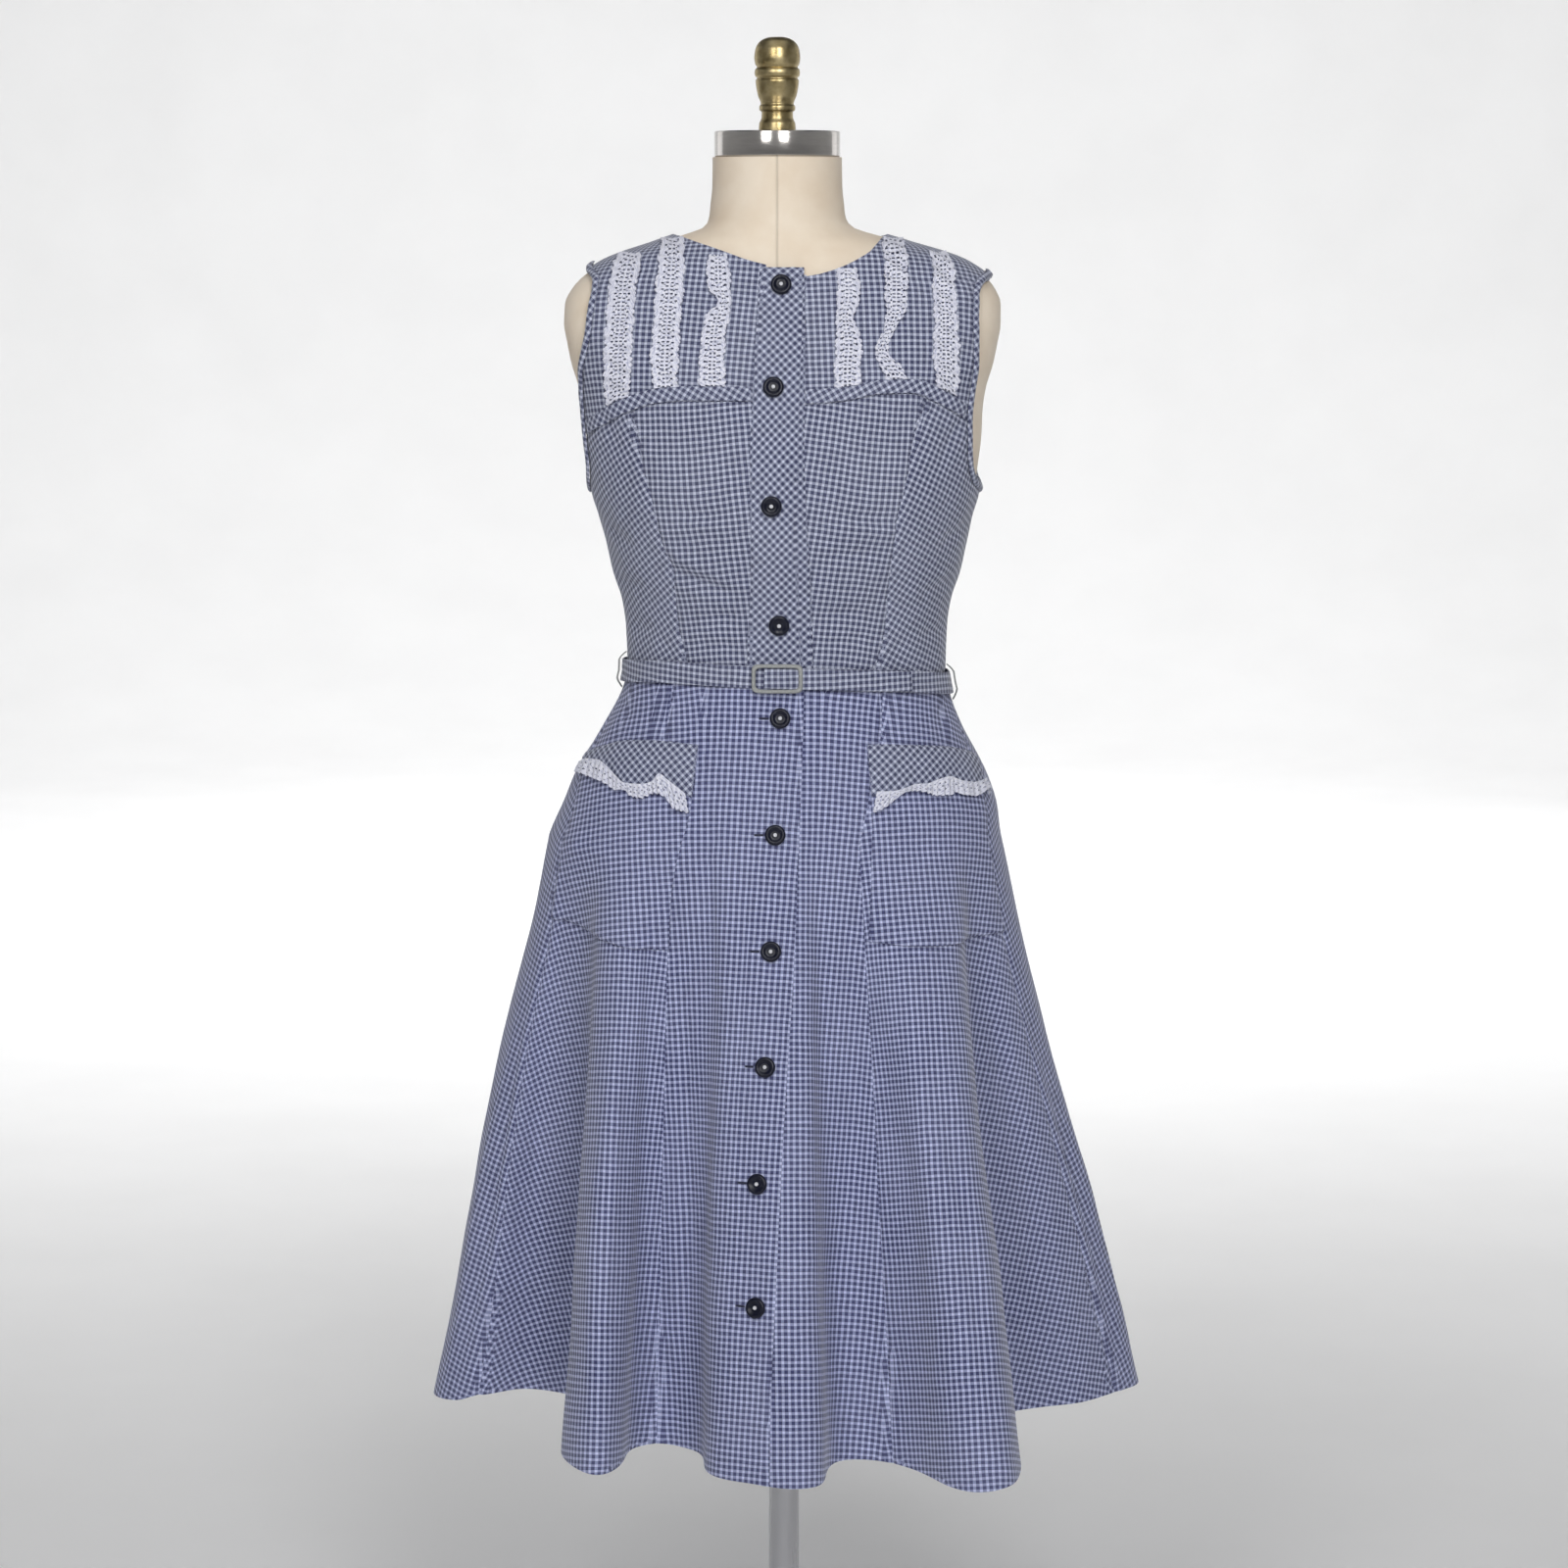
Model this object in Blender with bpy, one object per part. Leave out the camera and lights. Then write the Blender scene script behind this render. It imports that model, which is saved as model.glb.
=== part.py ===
"""Sleeveless checked day dress buttoned down the front, standing on a limbless dress form.

Metres, +Z up, the wearer's front towards -Y and the wearer's right towards -X. The origin is the middle of
the stand's underside. Cloth pieces are sheets worked out on two surfaces, the body's and the skirt's, each
given a wall of even thickness. A cloth point is named by an angle round the body (0 is centre front, 90
degrees the wearer's left side, 180 degrees centre back) and a height.
"""
import math

import bmesh
import bpy
import numpy as np
from mathutils import Matrix, Vector

# Cloth walls and the layers they lie in
CLOTH = 0.0012
SEAM_GAP = 0.0002
LAYER = 0.0020
BODICE_OUT = 0.0045
SHOULDER_OUT = 0.0034
EASE_TOP, EASE_BOTTOM = 1.400, 1.290

# Heights of the dress and of the form
WAIST = 1.0468
HIP = 0.900
HEM = 0.3705
ARMPIT = 1.217
SHOULDER_END = {-1: 1.4075, 1: 1.4000}
NECK_POINT = 1.4362
NECKLINE_FRONT = 1.4095
NECKLINE_BACK = 1.4235
FORM_BOTTOM = 0.775
NECK_TOP = 1.507

# Trimmings
YOKE_BAND_WIDTH = 0.012
BINDING_WIDTH = 0.007
BINDING = 0.0010
BELT_WIDTH = 0.0205
BELT = 0.0018
BELT_CLEAR = LAYER + 0.0006
BUTTON_LIFT = 0.0006
BAND_LIFT = LAYER + 0.0004
BINDING_LIFT = LAYER + 0.0009
POCKET_LIFT = LAYER + 0.0003
LACE = 0.0010
OVERLAP = 0.040
LOOP_TURN = 4.0
LOOP_FOOT = 0.0019
LOOP_CROWN = BELT_CLEAR + BELT + 0.0040
NECK_POINT_ANGLE = 82.0

# Stand
CAP_RADIUS = 0.0560
CAP_HEIGHT = 0.0225
POLE_RADIUS = 0.0140
BASE_RADIUS = 0.190
BASE_HEIGHT = 0.008
HUB_RADIUS, HUB_HEIGHT = 0.026, 0.036
HUB_FILLET = 0.006
TOUCH = 0.0003

# Row heights of the pieces, and the share of the bodice's height at each row of its front
SKIRT_LEVELS = np.array([
    WAIST - 0.0003, 1.025, 1.002, 0.979, 0.955, 0.930, HIP, 0.862, 0.820, 0.740, 0.630, 0.500, HEM,
])
SKIRT_BACK_LEVELS = np.array([WAIST - 0.0003, 1.025, 1.002, 0.979, 0.955, 0.930, HIP, 0.740, 0.560, HEM])
YOKE_LEVELS = np.array([
    1.318, 1.332, 1.346, 1.361, 1.378, 1.390, 1.397, 1.400, 1.4040, 1.4075, 1.4143, 1.4225, 1.4285,
    1.4330, NECK_POINT,
])
BACK_LEVELS = np.array([
    WAIST, 1.085, 1.130, 1.175, ARMPIT, 1.226, 1.242, 1.280, 1.320, 1.345, 1.360, 1.378, 1.390, 1.397, 1.400,
    1.4040, 1.4075, 1.4143, 1.4225, 1.4285, 1.4330, NECK_POINT,
])
BINDING_LEVELS = np.array([
    1.390, 1.378, 1.360, 1.345, 1.328, 1.311, 1.294, 1.277, 1.260, 1.244, 1.231, 1.2215,
])
RISE = np.linspace(0.0, 1.0, 9)

SECTION_COLUMNS = ("height", "half", "front", "back", "square", "sway")

# The body: half width, depth before and behind the side line, squareness of the section (2 is an ellipse)
# and how far its middle stands off the centre line.
BODY = np.array([
    (0.7750, 0.1675, 0.1010, 0.1090, 2.20, 0.0000),
    (0.8000, 0.1700, 0.1040, 0.1130, 2.20, 0.0000),
    (0.8500, 0.1720, 0.1075, 0.1170, 2.20, 0.0000),
    (0.9000, 0.1690, 0.1085, 0.1150, 2.20, 0.0000),
    (0.9450, 0.1620, 0.1060, 0.1060, 2.15, 0.0000),
    (0.9750, 0.1550, 0.1035, 0.0960, 2.10, 0.0005),
    (1.0000, 0.1480, 0.1010, 0.0880, 2.10, 0.0010),
    (1.0200, 0.1430, 0.0990, 0.0830, 2.10, 0.0015),
    (1.0450, 0.1395, 0.0965, 0.0795, 2.10, 0.0020),
    (1.0650, 0.1395, 0.0980, 0.0805, 2.10, 0.0025),
    (1.0900, 0.1405, 0.1015, 0.0830, 2.10, 0.0025),
    (1.1150, 0.1445, 0.1065, 0.0865, 2.10, 0.0025),
    (1.1400, 0.1525, 0.1130, 0.0900, 2.15, 0.0025),
    (1.1650, 0.1575, 0.1190, 0.0940, 2.20, 0.0025),
    (1.1900, 0.1635, 0.1225, 0.0970, 2.25, 0.0015),
    (1.2100, 0.1695, 0.1220, 0.0990, 2.30, 0.0010),
    (1.2350, 0.1735, 0.1195, 0.1010, 2.35, 0.0005),
    (1.2600, 0.1770, 0.1155, 0.1025, 2.45, 0.0000),
    (1.2850, 0.1790, 0.1105, 0.1030, 2.55, -0.0010),
    (1.3050, 0.1825, 0.1060, 0.1025, 2.65, -0.0015),
    (1.3250, 0.1885, 0.1010, 0.1015, 2.75, -0.0015),
    (1.3450, 0.1925, 0.0955, 0.0990, 2.80, -0.0015),
    (1.3600, 0.1950, 0.0910, 0.0970, 2.75, -0.0015),
    (1.3780, 0.1945, 0.0855, 0.0935, 2.65, -0.0010),
    (1.3900, 0.1895, 0.0810, 0.0900, 2.55, -0.0005),
    (1.4000, 0.1815, 0.0775, 0.0860, 2.45, 0.0000),
    (1.4143, 0.1605, 0.0725, 0.0800, 2.30, 0.0000),
    (1.4225, 0.1390, 0.0690, 0.0750, 2.20, -0.0005),
    (1.4285, 0.1190, 0.0665, 0.0710, 2.10, -0.0015),
    (1.4350, 0.0990, 0.0645, 0.0675, 2.05, -0.0030),
    (1.4410, 0.0780, 0.0620, 0.0635, 2.00, -0.0045),
    (1.4445, 0.0680, 0.0615, 0.0625, 2.00, -0.0050),
    (1.4490, 0.0630, 0.0610, 0.0615, 2.00, -0.0055),
    (1.4560, 0.0605, 0.0605, 0.0600, 2.00, -0.0060),
    (1.4660, 0.0595, 0.0600, 0.0590, 2.00, -0.0060),
    (1.4800, 0.0580, 0.0595, 0.0570, 2.00, -0.0060),
    (1.5070, 0.0575, 0.0600, 0.0560, 2.00, -0.0060),
])

# The skirt's outer face from the hip line up to the waist seam, in the same columns
HIPS = np.array([
    (0.9000, 0.2055, 0.1340, 0.1350, 2.20, -0.0072),
    (0.9350, 0.1945, 0.1265, 0.1260, 2.15, -0.0030),
    (0.9620, 0.1835, 0.1190, 0.1160, 2.10, -0.0030),
    (0.9890, 0.1680, 0.1115, 0.1040, 2.10, -0.0020),
    (1.0020, 0.1610, 0.1085, 0.0980, 2.10, -0.0010),
    (1.0200, 0.1520, 0.1045, 0.0905, 2.10, 0.0005),
    (1.0350, 0.1465, 0.1022, 0.0860, 2.10, 0.0015),
    (1.0470, 0.1440, 0.1010, 0.0842, 2.10, 0.0020),
])

# The skirt's folds, one row for each crest, flank and hollow, round from centre back by the wearer's right:
# the angle at the hip line where the fold's line starts, and where that line ends on the hem.
FOLD_COLUMNS = ("hip_angle", "hem_x", "hem_y")
FOLDS = np.array([
    (-180.0, 0.0000, 0.2460),
    (-171.0, -0.0380, 0.2240),
    (-165.0, -0.0640, 0.1880),
    (-159.0, -0.0920, 0.1860),
    (-151.0, -0.1180, 0.2200),
    (-142.0, -0.1550, 0.2380),
    (-132.0, -0.1900, 0.2140),
    (-125.0, -0.2130, 0.1650),
    (-118.0, -0.2400, 0.1200),
    (-110.0, -0.2810, 0.0980),
    (-99.0, -0.3180, 0.0640),
    (-88.0, -0.3265, 0.0220),
    (-67.0, -0.2830, -0.0080),
    (-62.0, -0.2450, 0.0120),
    (-58.5, -0.2180, 0.0060),
    (-54.5, -0.1860, -0.0220),
    (-49.0, -0.1810, -0.1000),
    (-43.0, -0.1910, -0.2060),
    (-37.0, -0.1630, -0.2400),
    (-32.0, -0.1420, -0.2050),
    (-28.5, -0.1310, -0.1600),
    (-25.0, -0.1135, -0.1490),
    (-20.0, -0.0890, -0.1600),
    (-16.5, -0.0778, -0.1720),
    (-12.0, -0.0640, -0.2330),
    (-9.0, -0.0510, -0.2500),
    (-4.5, -0.0250, -0.2640),
    (0.0, 0.0000, -0.2770),
    (4.5, 0.0250, -0.2740),
    (8.0, 0.0380, -0.2260),
    (12.0, 0.0520, -0.1970),
    (16.0, 0.0750, -0.1960),
    (19.0, 0.0950, -0.2060),
    (22.5, 0.1275, -0.2450),
    (27.5, 0.1515, -0.2800),
    (33.5, 0.1760, -0.2910),
    (39.5, 0.1935, -0.2830),
    (45.0, 0.2030, -0.2610),
    (50.0, 0.1980, -0.1500),
    (54.0, 0.1960, -0.0800),
    (57.0, 0.2210, -0.0640),
    (59.5, 0.2418, -0.0550),
    (62.0, 0.2686, -0.0450),
    (66.5, 0.3070, -0.0100),
    (88.0, 0.3295, 0.0170),
    (99.0, 0.3220, 0.0580),
    (110.0, 0.2880, 0.0940),
    (118.0, 0.2470, 0.1140),
    (125.0, 0.2190, 0.1600),
    (132.0, 0.1960, 0.2120),
    (142.0, 0.1600, 0.2420),
    (151.0, 0.1240, 0.2200),
    (159.0, 0.0980, 0.1840),
    (166.0, 0.0680, 0.1880),
    (172.0, 0.0400, 0.2260),
    (180.0, 0.0000, 0.2460),
])
# The hem hangs a little unevenly: its height across the front view
HEM_COLUMNS = ("x", "height")
HEM_LINE = np.array([
    (-0.3300, 0.3640), (-0.3050, 0.3665), (-0.2830, 0.3730), (-0.2000, 0.3730), (-0.1500, 0.3705),
    (0.1500, 0.3705), (0.2200, 0.3765), (0.3300, 0.3765),
])
SEAM_FRONT_RIGHT, SEAM_FRONT_LEFT = -25.0, 19.0
SEAM_SIDE_RIGHT, SEAM_SIDE_LEFT = -67.0, 66.5
POCKET_FIRST_LEFT = 27.5

# Darts turn the skirt's lines between waist and hip: an angle at the hip and its angle at the waist
DART_HIP = np.array([-180.0, -88.0, -66.5, -22.0, 0.0, 22.0, 66.5, 88.0, 180.0])
DART_WAIST = np.array([-180.0, -103.0, -87.0, -39.5, 0.0, 39.5, 87.0, 103.0, 180.0])

# The armhole's edge, in degrees from centre front on each side and from centre back
ARMHOLE_COLUMNS = ("height", "right_front", "left_front", "right_back", "left_back")
ARMHOLE = np.array([
    (1.2170, 90.0, 90.0, 90.0, 90.0),
    (1.2250, 81.0, 73.0, 79.0, 79.0),
    (1.2400, 76.0, 66.0, 73.0, 73.0),
    (1.2600, 74.5, 63.0, 69.0, 69.0),
    (1.2800, 73.5, 62.0, 66.0, 66.0),
    (1.3000, 71.5, 61.5, 63.0, 63.0),
    (1.3200, 66.7, 60.0, 60.0, 60.0),
    (1.3400, 60.3, 57.5, 58.0, 58.0),
    (1.3600, 55.8, 56.0, 58.0, 58.0),
    (1.3800, 55.5, 57.5, 60.0, 60.0),
    (1.3950, 60.0, 67.0, 65.0, 67.0),
    (1.4000, 66.0, 90.0, 70.0, 90.0),
    (1.4075, 90.0, 90.0, 90.0, 90.0),
])

# The neckline's half width at each height, front right, front left and back
NECKLINE_COLUMNS = ("height", "right", "left", "back")
NECKLINE = np.array([
    (1.4035, 0.0000, 0.0300, 0.0000),
    (1.4095, 0.0080, 0.0500, 0.0000),
    (1.4165, 0.0343, 0.0660, 0.0000),
    (1.4225, 0.0515, 0.0770, 0.0000),
    (1.4290, 0.0720, 0.0850, 0.0560),
    (1.4330, 0.0850, 0.0900, 0.0790),
    (1.4362, 0.0930, 0.0930, 0.0930),
])

# The yoke seam's height by distance from the centre line
YOKE_SEAM_COLUMNS = ("across", "right", "left")
YOKE_SEAM = np.array([
    (0.000, 1.2945, 1.2915),
    (0.030, 1.2945, 1.2925),
    (0.055, 1.2945, 1.2950),
    (0.085, 1.2945, 1.3005),
    (0.110, 1.2925, 1.3010),
    (0.135, 1.2850, 1.2920),
    (0.155, 1.2750, 1.2805),
    (0.175, 1.2625, 1.2690),
])

# The front band: its two edges, and the edge of the under band that shows beside it
BAND_COLUMNS = ("height", "right_edge", "left_edge", "under_edge")
BAND = np.array([
    (1.0460, -0.0330, 0.0150, 0.0262),
    (1.0760, -0.0327, 0.0146, 0.0258),
    (1.1390, -0.0295, 0.0115, 0.0238),
    (1.1810, -0.0296, 0.0102, 0.0210),
    (1.2200, -0.0298, 0.0111, 0.0190),
    (1.2530, -0.0298, 0.0128, 0.0180),
    (1.3040, -0.0273, 0.0145, 0.0187),
    (1.3540, -0.0248, 0.0160, 0.0188),
    (1.4110, -0.0214, 0.0180, 0.0200),
])
BAND_TUCK = 0.006

# The bodice's princess seams
PRINCESS_COLUMNS = ("height", "right", "left")
PRINCESS = np.array([
    (1.0460, 0.0850, 0.0770),
    (1.0740, 0.0887, 0.0860),
    (1.0960, 0.0943, 0.0905),
    (1.1310, 0.0974, 0.0928),
    (1.1533, 0.1002, 0.0954),
    (1.1710, 0.1075, 0.0972),
    (1.2008, 0.1149, 0.1018),
    (1.2180, 0.1192, 0.1062),
    (1.2350, 0.1243, 0.1105),
    (1.2519, 0.1277, 0.1127),
    (1.3010, 0.1400, 0.1280),
])

# The skirt's front edge, where the right side laps over the left
FRONT_EDGE_COLUMNS = ("height", "x")
FRONT_EDGE = np.array([
    (0.3600, -0.0128),
    (0.4420, -0.0110),
    (0.5313, -0.0066),
    (0.5966, -0.0040),
    (0.7115, 0.0025),
    (0.7940, 0.0080),
    (0.9024, 0.0129),
    (0.9947, 0.0164),
    (1.0480, 0.0178),
])

# The patch pockets' inner edge, the only one off a seam: its distance from the centre line
POCKET_EDGE_COLUMNS = ("height", "right", "left")
POCKET_EDGE = np.array([
    (0.8180, 0.1015, 0.0740),
    (0.8600, 0.0996, 0.0762),
    (0.8823, 0.0964, 0.0768),
    (0.9017, 0.0920, 0.0770),
    (0.9320, 0.0836, 0.0780),
    (0.9620, 0.0790, 0.0755),
    (0.9920, 0.0757, 0.0728),
])

# The pockets' other edges, by distance from the centre line: top, foot of the turned-down cuff, bottom
POCKET_COLUMNS = ("across", "top", "cuff", "bottom")
POCKET_RIGHT = np.array([
    (0.0757, 0.9922, 0.9440, 0.8150),
    (0.0860, 0.9928, 0.9490, 0.8145),
    (0.0977, 0.9934, 0.9580, 0.8142),
    (0.1056, 0.9937, 0.9620, 0.8141),
    (0.1150, 0.9936, 0.9550, 0.8145),
    (0.1370, 0.9916, 0.9525, 0.8163),
    (0.1547, 0.9860, 0.9640, 0.8195),
    (0.1722, 0.9772, 0.9660, 0.8235),
    (0.1914, 0.9690, 0.9590, 0.8283),
])
POCKET_LEFT = np.array([
    (0.0728, 0.9920, 0.9480, 0.8238),
    (0.0860, 0.9918, 0.9480, 0.8228),
    (0.1015, 0.9906, 0.9495, 0.8212),
    (0.1116, 0.9898, 0.9520, 0.8200),
    (0.1364, 0.9865, 0.9550, 0.8182),
    (0.1445, 0.9850, 0.9550, 0.8178),
    (0.1629, 0.9780, 0.9485, 0.8170),
    (0.1748, 0.9722, 0.9490, 0.8166),
    (0.1884, 0.9660, 0.9500, 0.8164),
])

# The gathered lace under each cuff, by distance from the centre line: its upper and its lower edge
RUFFLE_COLUMNS = ("across", "upper", "lower")
RUFFLE_RIGHT = np.array([
    (0.0833, 0.9500, 0.9333),
    (0.0910, 0.9560, 0.9350),
    (0.0977, 0.9612, 0.9372),
    (0.1056, 0.9658, 0.9465),
    (0.1134, 0.9588, 0.9482),
    (0.1246, 0.9557, 0.9430),
    (0.1330, 0.9555, 0.9446),
    (0.1380, 0.9558, 0.9490),
    (0.1450, 0.9610, 0.9481),
    (0.1547, 0.9680, 0.9530),
    (0.1632, 0.9716, 0.9556),
    (0.1739, 0.9703, 0.9570),
    (0.1834, 0.9648, 0.9575),
])
RUFFLE_LEFT = np.array([
    (0.0781, 0.9520, 0.9336),
    (0.0858, 0.9516, 0.9364),
    (0.0958, 0.9518, 0.9434),
    (0.1048, 0.9536, 0.9493),
    (0.1137, 0.9562, 0.9501),
    (0.1228, 0.9558, 0.9472),
    (0.1317, 0.9582, 0.9443),
    (0.1431, 0.9600, 0.9434),
    (0.1477, 0.9585, 0.9460),
    (0.1556, 0.9548, 0.9420),
    (0.1685, 0.9520, 0.9404),
    (0.1757, 0.9527, 0.9436),
    (0.1840, 0.9568, 0.9390),
])
RUFFLE_LIFT = 0.0030
RUFFLE_SINK = 0.0006

# The lace strips sewn down the yoke: each row is a height with the strip's two edges across
LACE_COLUMNS = ("height", "first_edge", "second_edge")
LACE_STRIPS = {
    "yoke_lace_right_outer": np.array([
        (1.4180, -0.1440, -0.1258), (1.4110, -0.1505, -0.1252), (1.3950, -0.1537, -0.1288),
        (1.3705, -0.1564, -0.1303), (1.3382, -0.1581, -0.1321), (1.3126, -0.1574, -0.1336),
        (1.2980, -0.1565, -0.1354),
    ]),
    "yoke_lace_right_middle": np.array([
        (1.4310, -0.1102, -0.0882), (1.4130, -0.1112, -0.0867), (1.3877, -0.1140, -0.0877),
        (1.3581, -0.1155, -0.0906), (1.3286, -0.1182, -0.0918), (1.3159, -0.1154, -0.0930),
        (1.3080, -0.1154, -0.0922),
    ]),
    "yoke_lace_right_inner": np.array([
        (1.4190, -0.0673, -0.0497), (1.4005, -0.0694, -0.0465), (1.3920, -0.0679, -0.0464),
        (1.3794, -0.0590, -0.0464), (1.3659, -0.0709, -0.0470), (1.3558, -0.0726, -0.0504),
        (1.3271, -0.0753, -0.0516), (1.3120, -0.0759, -0.0503), (1.3080, -0.0735, -0.0494),
    ]),
    "yoke_lace_left_inner": np.array([
        (1.4080, 0.0462, 0.0651), (1.3853, 0.0462, 0.0684), (1.3668, 0.0453, 0.0624),
        (1.3415, 0.0448, 0.0700), (1.3239, 0.0438, 0.0682), (1.3085, 0.0438, 0.0682),
    ]),
    "yoke_lace_left_middle": np.array([
        (1.4310, 0.0861, 0.1075), (1.4114, 0.0875, 0.1100), (1.3836, 0.0881, 0.1096),
        (1.3692, 0.0889, 0.1070), (1.3583, 0.0880, 0.0992), (1.3465, 0.0825, 0.0940),
        (1.3356, 0.0794, 0.0922), (1.3263, 0.0836, 0.1034), (1.3190, 0.0879, 0.1072),
        (1.3150, 0.0888, 0.1077),
    ]),
    "yoke_lace_left_outer": np.array([
        (1.4190, 0.1275, 0.1440), (1.4121, 0.1305, 0.1496), (1.3876, 0.1299, 0.1517),
        (1.3623, 0.1311, 0.1528), (1.3369, 0.1296, 0.1537), (1.3157, 0.1319, 0.1529),
        (1.3080, 0.1337, 0.1512),
    ]),
}
FRILL = 0.0010

# The belt's middle line by angle
BELT_COLUMNS = ("angle", "height")
BELT_LINE = np.array([
    (-180.0, 1.0450), (-90.0, 1.0490), (-40.0, 1.0550), (0.0, 1.0525), (40.0, 1.0475),
    (90.0, 1.0375), (180.0, 1.0450),
])
BELT_END = (-7.0, 47.0)
BUCKLE_X = -0.0060
BUCKLE_WIDTH, BUCKLE_HEIGHT, BUCKLE_BAR = 0.0440, 0.0260, 0.0035
LOOP_MARGIN = 0.0060

# Button centres
BUTTON_COLUMNS = ("x", "height")
BUTTONS = np.array([
    (-0.0026, 1.3938), (-0.0094, 1.3062), (-0.0111, 1.2052), (-0.0043, 1.1016), (-0.0034, 1.0167),
    (-0.0077, 0.9168), (-0.0111, 0.8174), (-0.0154, 0.7197), (-0.0213, 0.6211), (-0.0229, 0.5174),
])

# Turned outlines, radius and height: the button, the finial above the cap and the stand's base
BUTTON_PROFILE = (
    (0.0000, 0.0000), (0.0080, 0.0000), (0.0095, 0.0018), (0.0086, 0.0036), (0.0068, 0.0040),
    (0.0042, 0.0029), (0.0000, 0.0034),
)
FINIAL_PROFILE = (
    (0.0000, 0.0000), (0.0158, 0.0000), (0.0164, 0.0015), (0.0160, 0.0070), (0.0150, 0.0090),
    (0.0140, 0.0120), (0.0139, 0.0165), (0.0160, 0.0185), (0.0160, 0.0215), (0.0146, 0.0235),
    (0.0172, 0.0310), (0.0188, 0.0390), (0.0193, 0.0440), (0.0180, 0.0462), (0.0196, 0.0480),
    (0.0202, 0.0510), (0.0196, 0.0540), (0.0180, 0.0556), (0.0196, 0.0585), (0.0204, 0.0640),
    (0.0196, 0.0710), (0.0170, 0.0765), (0.0125, 0.0802), (0.0065, 0.0820), (0.0000, 0.0824),
)


def monotone(knots, values, at):
    """Values between the knots on a cubic that never overshoots them (slopes are harmonic means)."""
    at = np.clip(at, knots[0], knots[-1])
    step = np.diff(knots)
    rise = np.diff(values) / step
    slope = np.zeros(len(knots))
    same = rise[1:] * rise[:-1] > 0
    safe = np.where(same, rise[1:] + rise[:-1], 1.0)
    slope[1:-1] = np.where(same, 2 * rise[1:] * rise[:-1] / safe, 0.0)
    slope[0], slope[-1] = rise[0], rise[-1]
    span = np.clip(np.searchsorted(knots, at, side="right") - 1, 0, len(step) - 1)
    t = (at - knots[span]) / step[span]
    start, end = values[span], values[span + 1]
    lean_in = slope[span] * step[span]
    lean_out = slope[span + 1] * step[span]
    return (
        start * (1 + 2 * t) * (1 - t) ** 2 + end * t * t * (3 - 2 * t)
        + lean_in * t * (1 - t) ** 2 + lean_out * t * t * (t - 1)
    )


def ring_spline(knots, values, at):
    """Values on the smooth closed cubic through the knots; the last knot repeats the first."""
    step = np.diff(knots)
    count = len(step)
    rise = np.diff(values) / step
    before = np.roll(step, 1)
    matrix = np.zeros((count, count))
    rows = np.arange(count)
    matrix[rows, rows] = 2 * (before + step)
    matrix[rows, (rows - 1) % count] += step
    matrix[rows, (rows + 1) % count] += before
    slope = np.linalg.solve(matrix, 3 * (rise * before + np.roll(rise, 1) * step))
    slope = np.append(slope, slope[0])
    span = np.clip(np.searchsorted(knots, at, side="right") - 1, 0, count - 1)
    t = (at - knots[span]) / step[span]
    return (
        values[span] * (1 + 2 * t) * (1 - t) ** 2 + values[span + 1] * t * t * (3 - 2 * t)
        + slope[span] * step[span] * t * (1 - t) ** 2 + slope[span + 1] * step[span] * t * t * (t - 1)
    )


def column(table, index, at):
    """One named column of a table read at any place along its first column."""
    return monotone(table[:, 0], table[:, index], np.asarray(at, dtype=float))


def ramp(value, low, high):
    """0 at low, 1 at high and a smooth S between; low may be the larger."""
    t = np.clip((value - low) / (high - low), 0.0, 1.0)
    return t * t * (3 - 2 * t)


def section_point(table, angle, height, out):
    """Point of a superellipse section at an angle and a height, moved out along the surface's normal."""
    angle, height, out = np.broadcast_arrays(np.asarray(angle, dtype=float), height, out)
    half, front, back, square, sway = (column(table, index, height) for index in range(1, 6))
    reach = 0.0015
    half_slope = (column(table, 1, height + reach) - column(table, 1, height - reach)) / (2 * reach)
    front_slope = (column(table, 2, height + reach) - column(table, 2, height - reach)) / (2 * reach)
    back_slope = (column(table, 3, height + reach) - column(table, 3, height - reach)) / (2 * reach)
    sine, cosine = np.sin(np.radians(angle)), np.cos(np.radians(angle))
    ahead = cosine > 0
    depth = np.where(ahead, front, back)
    depth_slope = np.where(ahead, front_slope, back_slope)
    across = np.sign(sine) * np.abs(sine) ** (2 / square)
    along = -np.sign(cosine) * np.abs(cosine) ** (2 / square)
    normal_x = np.sign(across) * np.abs(across) ** (square - 1) / half
    normal_y = np.sign(along) * np.abs(along) ** (square - 1) / depth
    normal_z = -(np.abs(across) ** square * half_slope / half + np.abs(along) ** square * depth_slope / depth)
    normal = np.stack([normal_x, normal_y, normal_z], axis=-1)
    normal /= np.linalg.norm(normal, axis=-1, keepdims=True)
    point = np.stack([half * across + sway, depth * along, height], axis=-1)
    return point + normal * out[..., None]


def cloth_out(height):
    """How far the bodice's outer face stands off the body: snug on the shoulders, easier below."""
    return SHOULDER_OUT + (BODICE_OUT - SHOULDER_OUT) * ramp(height, EASE_TOP, EASE_BOTTOM)


def bodice_point(angle, height, lift=0.0):
    """Point of the bodice's outer face, lifted off it by the layers beneath."""
    height = np.asarray(height, dtype=float)
    return section_point(BODY, angle, height, cloth_out(height) + lift)


def bodice_angle(x, height):
    """Angle of the bodice point that lies across by x, from -90 to 90 degrees."""
    x, height = np.broadcast_arrays(np.asarray(x, dtype=float), height)
    half = column(BODY, 1, height) + cloth_out(height)
    share = np.clip(np.abs(x - column(BODY, 5, height)) / half, 0.0, 1.0)
    turn = np.degrees(np.arcsin(share ** (column(BODY, 4, height) / 2)))
    return np.sign(x - column(BODY, 5, height)) * turn


HEM_STEPS = np.hypot(np.diff(FOLDS[:, 1]), np.diff(FOLDS[:, 2]))
HEM_ROUND = np.concatenate([[0.0], np.cumsum(HEM_STEPS)])


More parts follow.
